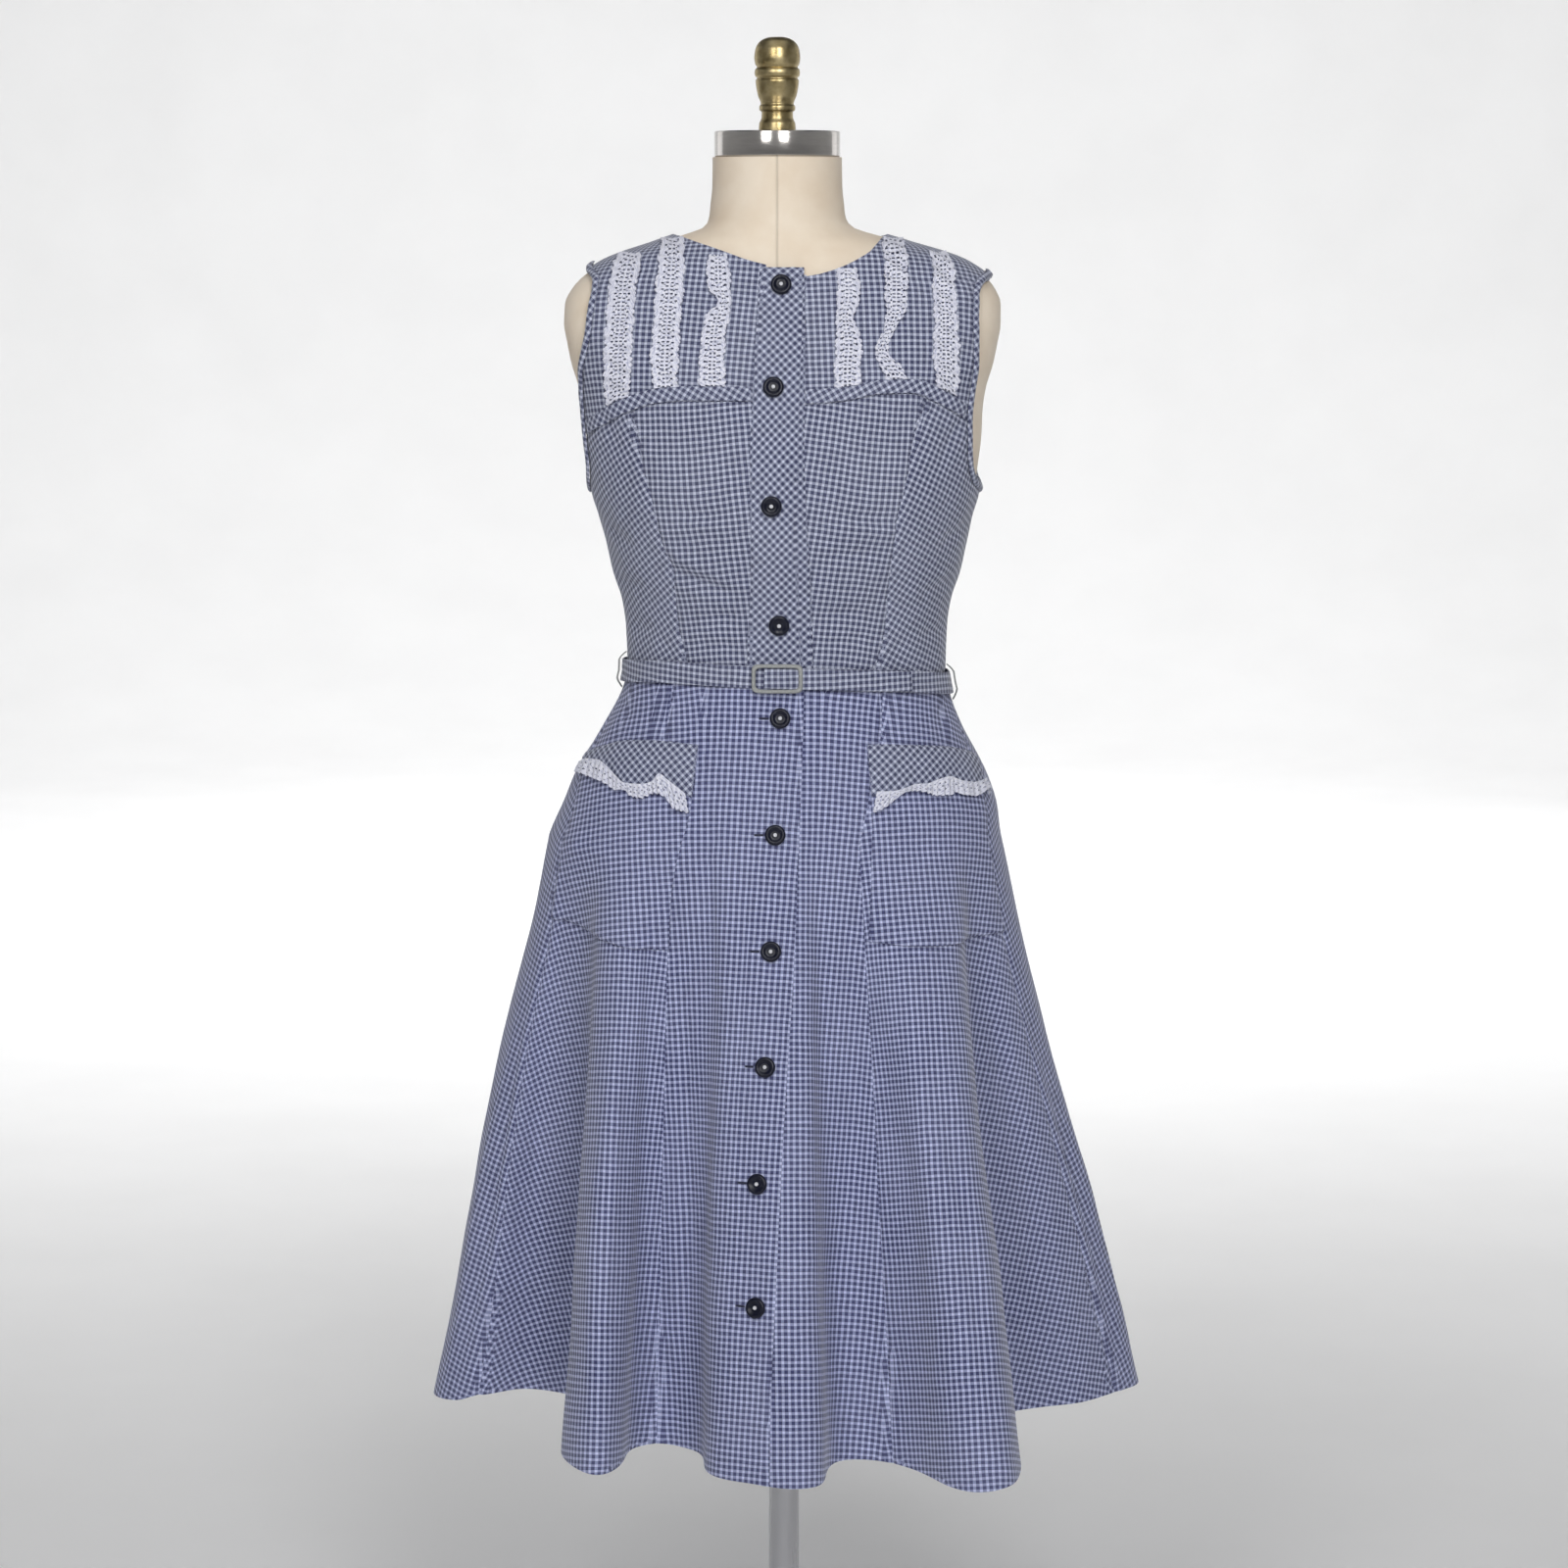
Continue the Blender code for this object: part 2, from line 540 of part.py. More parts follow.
def hem_place(hip_angle):
    """Length along the hem at which the line from this hip angle ends."""
    return np.interp(hip_angle, FOLDS[:, 0], HEM_ROUND)


def skirt_base(place, height):
    """Point of the skirt's outer face: sections above the hip line, and straight lines from it to the hem."""
    place, height = np.broadcast_arrays(np.asarray(place, dtype=float), np.asarray(height, dtype=float))
    hip_angle = monotone(HEM_ROUND, FOLDS[:, 0], place)
    waist_angle = monotone(DART_HIP, DART_WAIST, hip_angle)
    turned = ramp(height, HIP, WAIST)
    upper = np.maximum(height, HIP)
    ring = section_point(HIPS, hip_angle + (waist_angle - hip_angle) * turned, upper, 0.0)
    hem_x = ring_spline(HEM_ROUND, FOLDS[:, 1], place)
    hem_y = ring_spline(HEM_ROUND, FOLDS[:, 2], place)
    hem = np.stack([hem_x, hem_y, column(HEM_LINE, 1, hem_x)], axis=-1)
    drop = np.clip((HIP - height) / (HIP - HEM), 0.0, 1.0)[..., None]
    return ring * (1 - drop) + hem * drop


def skirt_point(place, height, lift=0.0):
    """Point of the skirt's outer face moved out along its normal, the cross product of its two slopes."""
    place, height, lift = np.broadcast_arrays(np.asarray(place, dtype=float), height, lift)
    reach = 0.002
    low, high = HEM_ROUND[0], HEM_ROUND[-1]
    before, after = np.maximum(place - reach, low), np.minimum(place + reach, high)
    lower, upper = np.maximum(height - reach, HEM), np.minimum(height + reach, WAIST)
    along = skirt_base(after, height) - skirt_base(before, height)
    up = skirt_base(place, upper) - skirt_base(place, lower)
    normal = np.cross(along, up)
    normal /= np.linalg.norm(normal, axis=-1, keepdims=True)
    return skirt_base(place, height) + normal * lift[..., None]


def skirt_place(x, height, low, high):
    """Place along the hem, between two places, whose skirt line lies across by x at this height."""
    tries = np.linspace(low, high, 160)
    return np.array([
        np.interp(across, skirt_base(tries, level)[:, 0], tries)
        for across, level in zip(np.atleast_1d(x), np.atleast_1d(height))
    ])


def trimmed(grid, gap, closed):
    """The grid of points with its outer rows, and columns unless closed, drawn in by the gap."""
    grid = grid.copy()

    def draw_in(edge, inner):
        along = inner - edge
        return edge + along * gap / np.maximum(np.linalg.norm(along, axis=-1, keepdims=True), 1e-6)

    grid[0], grid[-1] = draw_in(grid[0], grid[1]), draw_in(grid[-1], grid[-2])
    if not closed:
        grid[:, 0], grid[:, -1] = draw_in(grid[:, 0], grid[:, 1]), draw_in(grid[:, -1], grid[:, -2])
    return grid


def finish(name, mesh, material):
    """Smooth-shaded object of a mesh, with its material, in the scene."""
    mesh.shade_smooth()
    mesh.set_sharp_from_angle(angle=math.radians(50))
    mesh.materials.append(material)
    thing = bpy.data.objects.new(name, mesh)
    bpy.context.scene.collection.objects.link(thing)
    return thing


def closed_mesh(name, points, faces):
    """Mesh whose faces are all turned outwards."""
    mesh = bpy.data.meshes.new(name)
    mesh.from_pydata(points.tolist(), [], faces)
    shape = bmesh.new()
    shape.from_mesh(mesh)
    bmesh.ops.recalc_face_normals(shape, faces=shape.faces)
    if shape.calc_volume(signed=True) < 0:
        bmesh.ops.reverse_faces(shape, faces=shape.faces)
    shape.to_mesh(mesh)
    shape.free()
    return mesh


def sheet(name, surface, material, thickness=CLOTH, gap=SEAM_GAP, closed=False):
    """Cloth piece: surface(lift) gives its grid of points; its wall runs from lift 0 in by its thickness."""
    outer = trimmed(surface(0.0), gap, closed)
    inner = trimmed(surface(-thickness), gap, closed)
    rows, columns = outer.shape[:2]
    index = np.arange(rows * columns).reshape(rows, columns)
    if closed:
        index = np.concatenate([index, index[:, :1]], axis=1)
    near = np.stack([index[:-1, :-1], index[:-1, 1:], index[1:, :-1]], axis=-1).reshape(-1, 3)
    far = np.stack([index[:-1, 1:], index[1:, 1:], index[1:, :-1]], axis=-1).reshape(-1, 3)
    face = np.concatenate([near, far])
    rims = [index[0], index[-1]]
    if not closed:
        rims += [index[:, 0], index[:, -1]]
    deeper = rows * columns
    edges = np.concatenate([
        np.stack([rim[:-1], rim[1:], rim[1:] + deeper, rim[:-1] + deeper], axis=-1) for rim in rims
    ])
    faces = np.concatenate([face, face[:, ::-1] + deeper]).tolist() + edges.tolist()
    points = np.concatenate([outer.reshape(-1, 3), inner.reshape(-1, 3)])
    return finish(name, closed_mesh(name, points, faces), material)


def turned(name, profile, segments, material, place=(0.0, 0.0, 0.0), facing=(0.0, 0.0, 1.0)):
    """Solid of revolution: the outline of radius and height spun round its axis, then stood along facing."""
    shape = bmesh.new()
    outline = [shape.verts.new((radius, 0.0, height)) for radius, height in profile]
    edges = [shape.edges.new(pair) for pair in zip(outline, outline[1:])]
    bmesh.ops.spin(
        shape, geom=outline + edges, cent=(0, 0, 0), axis=(0, 0, 1), angle=math.tau, steps=segments,
        use_duplicate=False,
    )
    bmesh.ops.remove_doubles(shape, verts=shape.verts, dist=1e-6)
    bmesh.ops.recalc_face_normals(shape, faces=shape.faces)
    mesh = bpy.data.meshes.new(name)
    shape.to_mesh(mesh)
    shape.free()
    thing = finish(name, mesh, material)
    turn = Vector((0, 0, 1)).rotation_difference(Vector(facing))
    thing.matrix_world = Matrix.Translation(place) @ turn.to_matrix().to_4x4()
    return thing


def finish_material(name, colour, roughness, metallic=0.0):
    """Principled material of one colour."""
    material = bpy.data.materials.new(name)
    material.use_nodes = True
    shader = material.node_tree.nodes["Principled BSDF"]
    shader.inputs["Base Color"].default_value = (*colour, 1.0)
    shader.inputs["Roughness"].default_value = roughness
    shader.inputs["Metallic"].default_value = metallic
    material.diffuse_color = (*colour, 1.0)
    return material


def seam_height(angle, side):
    """Height of the yoke seam at an angle on one side: -1 the wearer's right, 1 the left."""
    index = 1 if side < 0 else 2
    level = np.full(np.shape(angle), 1.285)
    for _ in range(4):
        across = np.abs(bodice_point(angle, level)[..., 0])
        level = column(YOKE_SEAM, index, across)
    return level


def armhole_angle(height, side, back=False):
    """Angle of the armhole's edge on one side, from centre front, or from centre back for its back edge."""
    return column(ARMHOLE, (1 if side < 0 else 2) + (2 if back else 0), height)


def neck_angle(height, side):
    """Angle of the neckline on one side; side 0 gives its angle from centre back."""
    width = column(NECKLINE, {-1: 1, 1: 2, 0: 3}[side], height)
    half = column(BODY, 1, height) + cloth_out(height)
    share = np.clip(width / half, 0.0, 1.0)
    angle = np.degrees(np.arcsin(share ** (column(BODY, 4, height) / 2)))
    return np.where(np.asarray(height) >= NECK_POINT - 1e-6, NECK_POINT_ANGLE, angle)


def front_inner_angle(height, side):
    """Angle where a front panel starts beside or under the bands."""
    if side < 0:
        x = column(BAND, 1, height) + BAND_TUCK
    else:
        x = column(BAND, 3, height) + SEAM_GAP
    return bodice_angle(x, height)


def princess_angle(height, side):
    """Angle of the bodice's princess seam."""
    return bodice_angle(side * column(PRINCESS, 1 if side < 0 else 2, height), height)


def seam_corner(side):
    """Angle and height where the yoke seam meets the armhole."""
    level = 1.275
    for _ in range(6):
        angle = side * armhole_angle(level, side)
        level = float(seam_height(np.array(angle), side))
    return float(angle), level


def seam_turn(side):
    """Angle and height where the princess seam meets the yoke seam."""
    level = 1.290
    for _ in range(6):
        angle = float(princess_angle(level, side))
        level = float(seam_height(np.array(angle), side))
    return angle, level


def seam_angles(side):
    """Angles of the yoke seam's points: six to the princess seam, two more to the armhole."""
    turn = seam_turn(side)[0]
    corner = seam_corner(side)[0]
    inner = float(front_inner_angle(1.293, side))
    return np.concatenate([np.linspace(inner, turn, 6), np.linspace(turn, corner, 3)[1:]])


def yoke_row(level, side, share):
    """Angles along a row of the yoke, from its inner edge to the armhole or the shoulder seam."""
    inner = float(front_inner_angle(level[0], side))
    if level[0] > NECKLINE[0, 0]:
        inner = side * max(side * inner, float(neck_angle(level[0], side)))
    outer = side * (90.0 if level[-1] >= SHOULDER_END[side] else float(armhole_angle(level[-1], side)))
    return inner + (outer - inner) * share


def make_yoke(name, side, material):
    """Front yoke: level rows from the seam to the shoulder, between the band or neckline and the armhole."""
    foot = seam_angles(side)
    foot_level = seam_height(foot, side)
    share = (foot - foot[0]) / (foot[-1] - foot[0])
    levels = [foot_level, (foot_level + YOKE_LEVELS[0]) / 2]
    levels += [np.full(len(foot), level) for level in YOKE_LEVELS]
    angles = [foot] + [yoke_row(level, side, share) for level in levels[1:]]
    sheet(name, lambda lift: bodice_point(np.array(angles), np.array(levels), lift), material)


def make_centre_front(name, side, material):
    """Centre front of the bodice: waist to yoke seam, between the bands and the princess seam."""
    top_angles = seam_angles(side)[:6]
    top = seam_height(top_angles, side)
    levels = WAIST + (top - WAIST) * RISE[:, None]
    inner, outer = front_inner_angle(levels, side), princess_angle(levels, side)
    angles = inner + (outer - inner) * np.linspace(0.0, 1.0, 6)
    angles[-1] = top_angles
    sheet(name, lambda lift: bodice_point(angles, levels, lift), material)


def make_side_front(name, side, material):
    """Side front of the bodice: waist to yoke seam and armhole, princess seam to side seam."""
    corner_angle, corner_level = seam_corner(side)
    hole_levels = np.array([corner_level - 0.018, 1.236, 1.2235, ARMPIT])
    top_angles = np.concatenate([seam_angles(side)[5:], side * armhole_angle(hole_levels, side)])
    tops = np.concatenate([seam_height(top_angles[:3], side), hole_levels])
    base = princess_angle(tops, side)
    top_share = (top_angles - base) / (side * 90.0 - base)
    foot_share = np.linspace(0.0, 1.0, len(tops))
    share = foot_share + (top_share - foot_share) * RISE[:, None]
    levels = WAIST + (tops - WAIST) * RISE[:, None]
    inner = princess_angle(levels, side)
    angles = inner + (side * 90.0 - inner) * share
    sheet(name, lambda lift: bodice_point(angles, levels, lift), material)


def make_back(name, side, material):
    """Back of the bodice: level rows from waist to shoulder, centre back to side, armhole or shoulder."""
    share = np.linspace(0.0, 1.0, 9)
    rows = []
    for level in BACK_LEVELS:
        inner = 180.0
        if level > NECKLINE_BACK:
            inner = 180.0 - float(neck_angle(level, 0))
        outer = 90.0
        if ARMPIT < level < SHOULDER_END[side]:
            outer = 180.0 - float(armhole_angle(level, side, back=True))
        rows.append(side * (inner + (outer - inner) * share))
    sheet(name, lambda lift: bodice_point(np.array(rows), BACK_LEVELS[:, None], lift), material)


def make_band(name, material, under):
    """Bias band down the bodice front: the over band lies a layer out, the under band beside the panels."""
    levels = np.linspace(WAIST, NECKLINE[0, 0] if under else NECKLINE_FRONT, 15)
    first = column(BAND, 1, levels) + (BAND_TUCK + 0.003 if under else 0.0)
    last = column(BAND, 3 if under else 2, levels)
    across = first[:, None] + (last - first)[:, None] * np.linspace(0.0, 1.0, 4)
    angles = bodice_angle(across, levels[:, None])
    layer = 0.0 if under else LAYER
    sheet(name, lambda lift: bodice_point(angles, levels[:, None], layer + lift), material)


def make_yoke_band(name, side, material):
    """Bias strip along the yoke seam, on the yoke, from the front band nearly to the armhole binding."""
    start_x = column(BAND, 1, 1.30) - 0.0012 if side < 0 else column(BAND, 3, 1.30) + 0.0006
    foot = seam_angles(side)
    end = foot[-1] - side * 5.0
    angles = np.concatenate([[float(bodice_angle(start_x, 1.30))], foot[1:-1], [end]])
    level = seam_height(angles, side) + 0.0006
    heights = level + YOKE_BAND_WIDTH * np.array([0.0, 0.5, 1.0])[:, None]
    sheet(name, lambda lift: bodice_point(angles, heights, BAND_LIFT + lift), material, gap=0.0)


def armhole_loop(side):
    """The armhole's edge as angles and heights: down the front, under the arm and up the back."""
    top = SHOULDER_END[side]
    heights = np.concatenate([[top, top - 0.0015, top - 0.004], BINDING_LEVELS])
    front = side * armhole_angle(heights, side)
    back = side * (180.0 - armhole_angle(heights, side, back=True))
    angles = np.concatenate([front, [side * 90.0], back[:0:-1]])
    levels = np.concatenate([heights, [ARMPIT], heights[:0:-1]])
    return angles, levels


def make_binding(name, side, material):
    """Bias binding round the armhole: a closed strip from the edge back onto the cloth, one layer out."""
    angles, levels = armhole_loop(side)
    edge = bodice_point(angles, levels, BINDING_LIFT)
    normal = bodice_point(angles, levels, BINDING_LIFT + 0.001) - edge
    normal /= np.linalg.norm(normal, axis=-1, keepdims=True)
    ahead = np.roll(edge, -1, axis=0) - np.roll(edge, 1, axis=0)
    inward = np.cross(normal, ahead)
    inward /= np.linalg.norm(inward, axis=-1, keepdims=True)
    if ((edge - edge.mean(axis=0)) * inward).sum() < 0:
        inward = -inward
    shares = np.array([0.0, 0.5, 1.0])[:, None, None]

    def surface(lift):
        return edge + inward * BINDING_WIDTH * shares + normal * lift

    sheet(name, surface, material, BINDING, gap=0.0, closed=True)


def fold_places(first_angle, last_angle):
    """Places of the skirt's lines between two hip angles, one for each fold row and one between wide rows."""
    angles = FOLDS[:, 0]
    knots = HEM_ROUND[(angles >= first_angle - 1e-6) & (angles <= last_angle + 1e-6)]
    between = (knots[1:] + knots[:-1]) / 2
    return np.sort(np.concatenate([knots, between[np.diff(knots) > 0.044]]))


def make_skirt_panel(name, first_angle, last_angle, levels, material):
    """Skirt panel between two seams."""
    places = fold_places(first_angle, last_angle)
    sheet(name, lambda lift: skirt_point(places[None, :], levels[:, None], lift), material)


def front_edge_place(levels, shift=0.0):
    """Place along the hem of the skirt's front edge at each height, shifted across."""
    return skirt_place(column(FRONT_EDGE, 1, levels) + shift, levels, hem_place(-24.0), hem_place(16.0))


def make_skirt_front(name, side, material):
    """Front skirt panel: the right one laps over the left one and rises a layer where they meet."""
    edge = front_edge_place(SKIRT_LEVELS)
    start = front_edge_place(SKIRT_LEVELS, -OVERLAP)
    shared = start[:, None] + (edge - start)[:, None] * np.linspace(0.0, 1.0, 6)
    share = np.linspace(0.0, 1.0, 7)
    if side < 0:
        seam = hem_place(SEAM_FRONT_RIGHT)
        free = seam + (start - seam)[:, None] * share
        places = np.concatenate([free[:, :-1], shared], axis=1)
        layer = LAYER * np.concatenate([ramp(share[:-1], 0.45, 0.90), np.ones(shared.shape[1])])
    else:
        seam = hem_place(SEAM_FRONT_LEFT)
        free = edge[:, None] + (seam - edge)[:, None] * share
        places = np.concatenate([shared[:, :-1], free], axis=1)
        layer = np.zeros(places.shape[1])
    sheet(name, lambda lift: skirt_point(places, SKIRT_LEVELS[:, None], layer + lift), material)


def pocket_lines(side):
    """Lines of the skirt under a pocket, in order of place, and each one's share of the inner edge's sweep.

    The last line before the inner edge is repeated twice, to be swept half way and all the way to that edge.
    """
    first, last = (SEAM_SIDE_RIGHT, SEAM_FRONT_RIGHT) if side < 0 else (POCKET_FIRST_LEFT, SEAM_SIDE_LEFT)
    lines = fold_places(first, last)
    still = np.zeros(len(lines))
    if side < 0:
        return np.append(lines, [lines[-1], lines[-1]]), np.append(still, [0.5, 1.0])
    return np.append([lines[0], lines[0]], lines), np.append([1.0, 0.5], still)


def pocket_places(side, heights):
    """Places of the pocket's points: the skirt's own lines, and two that follow the inner edge."""
    lines, sweep = pocket_lines(side)
    nearest = hem_place(SEAM_FRONT_RIGHT if side < 0 else POCKET_FIRST_LEFT)
    across = side * column(POCKET_EDGE, 1 if side < 0 else 2, heights)
    low, high = (hem_place(-40.0), hem_place(-5.0)) if side < 0 else (hem_place(5.0), hem_place(35.0))
    inner = skirt_place(across.ravel(), heights.ravel(), low, high).reshape(heights.shape)
    return lines + (inner - nearest) * sweep


def pocket_edge(side, index):
    """Height at which each of the pocket's lines crosses one of its edges."""
    table = POCKET_RIGHT if side < 0 else POCKET_LEFT
    heights = np.full(pocket_lines(side)[0].shape, 0.95)
    for _ in range(6):
        heights = column(table, index, np.abs(skirt_base(pocket_places(side, heights), heights)[..., 0]))
    return heights


def make_pocket(name, side, material):
    """Patch pocket lying over the princess seam, its side edge in the side seam, its top under the cuff."""
    top, bottom = pocket_edge(side, 1), pocket_edge(side, 3)
    rows = [top, np.minimum(0.979, top - 0.003), np.minimum(0.962, top - 0.006)]
    rows += [np.full(len(top), level) for level in (0.930, HIP, 0.862)] + [bottom]
    heights = np.array(rows)
    places = pocket_places(side, heights)
    sheet(name, lambda lift: skirt_point(places, heights, POCKET_LIFT + lift), material)


def make_cuff(name, side, material):
    """Turned-down bias cuff of the pocket, deep at the inner edge and shallow at the side."""
    top, bottom = pocket_edge(side, 1), pocket_edge(side, 2)
    heights = np.array([top, np.minimum(0.979, top - 0.003), np.minimum(0.962, top - 0.006), bottom])
    heights = np.maximum(heights, bottom + 0.001 * np.array([3.0, 2.0, 1.0, 0.0])[:, None])
    places = pocket_places(side, heights)
    sheet(name, lambda lift: skirt_point(places, heights, POCKET_LIFT + LAYER + lift), material)


def make_ruffle(name, side, material):
    """Gathered lace under the cuff: an uneven band that waves off the cloth."""
    table = RUFFLE_RIGHT if side < 0 else RUFFLE_LEFT
    across = np.linspace(table[0, 0] + 0.0005, table[-1, 0], 23)
    upper, lower = column(table, 1, across), column(table, 2, across)
    low, high = (SEAM_SIDE_RIGHT, -5.0) if side < 0 else (5.0, SEAM_SIDE_LEFT)
    places = skirt_place(side * across, (upper + lower) / 2, hem_place(low), hem_place(high))
    down = np.array([0.0, 0.5, 1.0])[:, None]
    heights = upper + (lower - upper) * down
    wave = RUFFLE_LIFT * 0.5 * (1 - np.cos(math.tau * 6 * np.linspace(0.0, 1.0, len(across))))
    layer = POCKET_LIFT + 2 * LAYER - RUFFLE_SINK + wave * (0.25 + 0.75 * down)
    sheet(name, lambda lift: skirt_point(places, heights, layer + lift), material, LACE)


def make_lace_strip(name, table, material):
    """Lace strip down the yoke, its edges from its table, its foot at the yoke band, its face frilled."""
    table = table[::-1]
    side = 1 if table[0, 1] > 0 else -1
    top = table[-1, 0]
    shared = YOKE_LEVELS[(YOKE_LEVELS > 1.372) & (YOKE_LEVELS < top)]
    levels = np.concatenate([np.linspace(table[0, 0], 1.370, 6), shared, [top]])
    first, last = column(table, 1, levels), column(table, 2, levels)
    share = np.linspace(0.0, 1.0, 3)
    across = first[:, None] + (last - first)[:, None] * share
    foot = seam_height(bodice_angle(across[0], levels[0]), side) + YOKE_BAND_WIDTH + 0.0016
    heights = np.repeat(levels[:, None], len(share), axis=1)
    heights[0] = foot
    rows = np.arange(len(levels))[:, None]
    layer = LAYER + FRILL * (0.5 - 0.5 * np.cos(math.pi * rows + math.tau * share))
    angles = bodice_angle(across, heights)
    sheet(name, lambda lift: bodice_point(angles, heights, layer + lift), material, LACE)


def dress_point(angle, height, lift):
    """Point off the dress at the waist: the bodice above the seam and the skirt's hips below it."""
    upper = bodice_point(angle, np.maximum(height, WAIST), lift)
    lower = section_point(HIPS, angle, np.minimum(height, WAIST), lift)
    return np.where((np.asarray(height) >= WAIST)[..., None], upper, lower)


def belt_heights(angles, share):
    """Heights across a strip on the belt's line: share runs from -1, its lower edge, to 1, its upper edge."""
    middle = np.interp(angles, BELT_LINE[:, 0], BELT_LINE[:, 1])
    return middle + 0.5 * BELT_WIDTH * np.asarray(share)[:, None]


def make_belt(name, material):
    """Self-fabric belt, a closed strip round the waist."""
    angles = np.linspace(-180.0, 180.0, 41)[:-1]
    heights = belt_heights(angles, (-1.0, 0.0, 1.0))
    layer = BELT_CLEAR + BELT
    sheet(name, lambda lift: dress_point(angles, heights, layer + lift), material, BELT, gap=0.0, closed=True)


def make_belt_end(name, material):
    """Free end of the belt lying on the belt beyond the buckle."""
    angles = np.linspace(*BELT_END, 8)
    heights = belt_heights(angles, (-0.94, 0.0, 0.94))
    layer = BELT_CLEAR + 2 * BELT + 0.0005
    sheet(name, lambda lift: dress_point(angles, heights, layer + lift), material, BELT, gap=0.0)


def make_buckle(name, material):
    """Cloth-covered buckle: a rounded frame standing on the belt, curved with it."""
    turns = 24
    corner = 2.0 / 7.0
    turn = (np.arange(turns) + 0.5) * math.tau / turns
    wide = np.sign(np.cos(turn)) * np.abs(np.cos(turn)) ** corner
    tall = np.sign(np.sin(turn)) * np.abs(np.sin(turn)) ** corner
    middle = float(np.interp(bodice_angle(BUCKLE_X, WAIST), BELT_LINE[:, 0], BELT_LINE[:, 1]))
    back = BELT_CLEAR + 2 * BELT + 0.0014
    rows = []
    for inset, lift in ((0.0, 0.0), (0.0, 0.0018), (0.5, 0.0028), (1.0, 0.0018), (1.0, 0.0)):
        x = BUCKLE_X + (BUCKLE_WIDTH / 2 - inset * BUCKLE_BAR) * wide
        angle = bodice_angle(x, np.full(turns, WAIST))
        rows.append(bodice_point(angle, np.full(turns, middle), back + lift))
        rows[-1][:, 2] = middle + (BUCKLE_HEIGHT / 2 - inset * BUCKLE_BAR) * tall
    count = len(rows)
    index = np.arange(count * turns).reshape(count, turns)
    after, below = np.roll(index, -1, axis=1), np.roll(index, -1, axis=0)
    quads = np.stack([index, after, np.roll(after, -1, axis=0), below], axis=-1).reshape(-1, 4).tolist()
    finish(name, closed_mesh(name, np.array(rows).reshape(-1, 3), quads), material)


def make_loop(name, side, material):
    """Belt loop at the side seam: a narrow strip that arches over the belt."""
    middle = float(np.interp(side * 90.0, BELT_LINE[:, 0], BELT_LINE[:, 1]))
    rise = np.linspace(-1.0, 1.0, 9)
    arch = np.clip(1.2 * (1.0 - np.abs(rise) ** 3), 0.0, 1.0)
    layer = (LOOP_FOOT + (LOOP_CROWN - LOOP_FOOT) * arch)[:, None]
    heights = (middle + rise * (BELT_WIDTH / 2 + LOOP_MARGIN))[:, None]
    angles = side * (90.0 + np.array([-0.5, 0.0, 0.5]) * LOOP_TURN)
    sheet(name, lambda lift: dress_point(angles, heights, layer + lift), material, 0.0010, gap=0.0)


def surface_frame(x, height, lift):
    """Point and outward direction on the dress's front at a place across and a height."""
    if height > WAIST:
        angle = bodice_angle(x, height)
        here, beyond = bodice_point(angle, height, lift), bodice_point(angle, height, lift + 0.01)
    else:
        place = skirt_place(x, height, hem_place(-24.0), hem_place(16.0))[0]
        here, beyond = skirt_point(place, height, lift), skirt_point(place, height, lift + 0.01)
    outward = beyond - here
    return here, outward / np.linalg.norm(outward)


def make_buttons(material):
    """Ten buttons down the front, each turned to face out of the cloth under it."""
    for number, (x, height) in enumerate(BUTTONS, start=1):
        place, facing = surface_frame(x, height, LAYER + BUTTON_LIFT)
        turned(f"button_{number:02d}", BUTTON_PROFILE, 10, material, place, facing)


def make_form(name, material):
    """Limbless torso and neck: one closed loft of the body's sections with flat ends."""
    levels = BODY[:, 0]
    angles = np.arange(24) * 360.0 / 24
    grid = section_point(BODY, angles[None, :], levels[:, None], 0.0)
    index = np.arange(grid.shape[0] * grid.shape[1]).reshape(grid.shape[:2])
    after = np.roll(index, -1, axis=1)
    quads = np.stack([index[:-1], after[:-1], after[1:], index[1:]], axis=-1).reshape(-1, 4).tolist()
    faces = quads + [index[0].tolist(), index[-1].tolist()]
    finish(name, closed_mesh(name, grid.reshape(-1, 3), faces), material)


def make_stand(cap_metal, finial_metal, pole_metal, base_paint):
    """Neck cap, finial, pole and base."""
    neck_x = float(column(BODY, 5, NECK_TOP))
    neck_y = 0.5 * float(column(BODY, 3, NECK_TOP) - column(BODY, 2, NECK_TOP))
    edge = 0.0012
    cap = (
        (0.0, 0.0), (CAP_RADIUS - edge, 0.0), (CAP_RADIUS, edge), (CAP_RADIUS, CAP_HEIGHT - edge),
        (CAP_RADIUS - edge, CAP_HEIGHT), (0.0, CAP_HEIGHT),
    )
    cap_foot = NECK_TOP + TOUCH
    turned("neck_cap", cap, 32, cap_metal, (neck_x, neck_y, cap_foot))
    turned("finial", FINIAL_PROFILE, 12, finial_metal, (neck_x, neck_y, cap_foot + CAP_HEIGHT + TOUCH))
    base = (
        (0.0, 0.0), (BASE_RADIUS - edge, 0.0), (BASE_RADIUS, edge), (BASE_RADIUS, BASE_HEIGHT - 2 * edge),
        (BASE_RADIUS - 2 * edge, BASE_HEIGHT), (HUB_RADIUS + HUB_FILLET, BASE_HEIGHT),
        (HUB_RADIUS, BASE_HEIGHT + HUB_FILLET), (HUB_RADIUS - 2 * edge, HUB_HEIGHT), (0.0, HUB_HEIGHT),
    )
    turned("stand_base", base, 32, base_paint)
    foot, top = HUB_HEIGHT + TOUCH, FORM_BOTTOM - TOUCH
    pole = ((0.0, foot), (POLE_RADIUS, foot), (POLE_RADIUS, top), (0.0, top))
    turned("stand_pole", pole, 16, pole_metal)


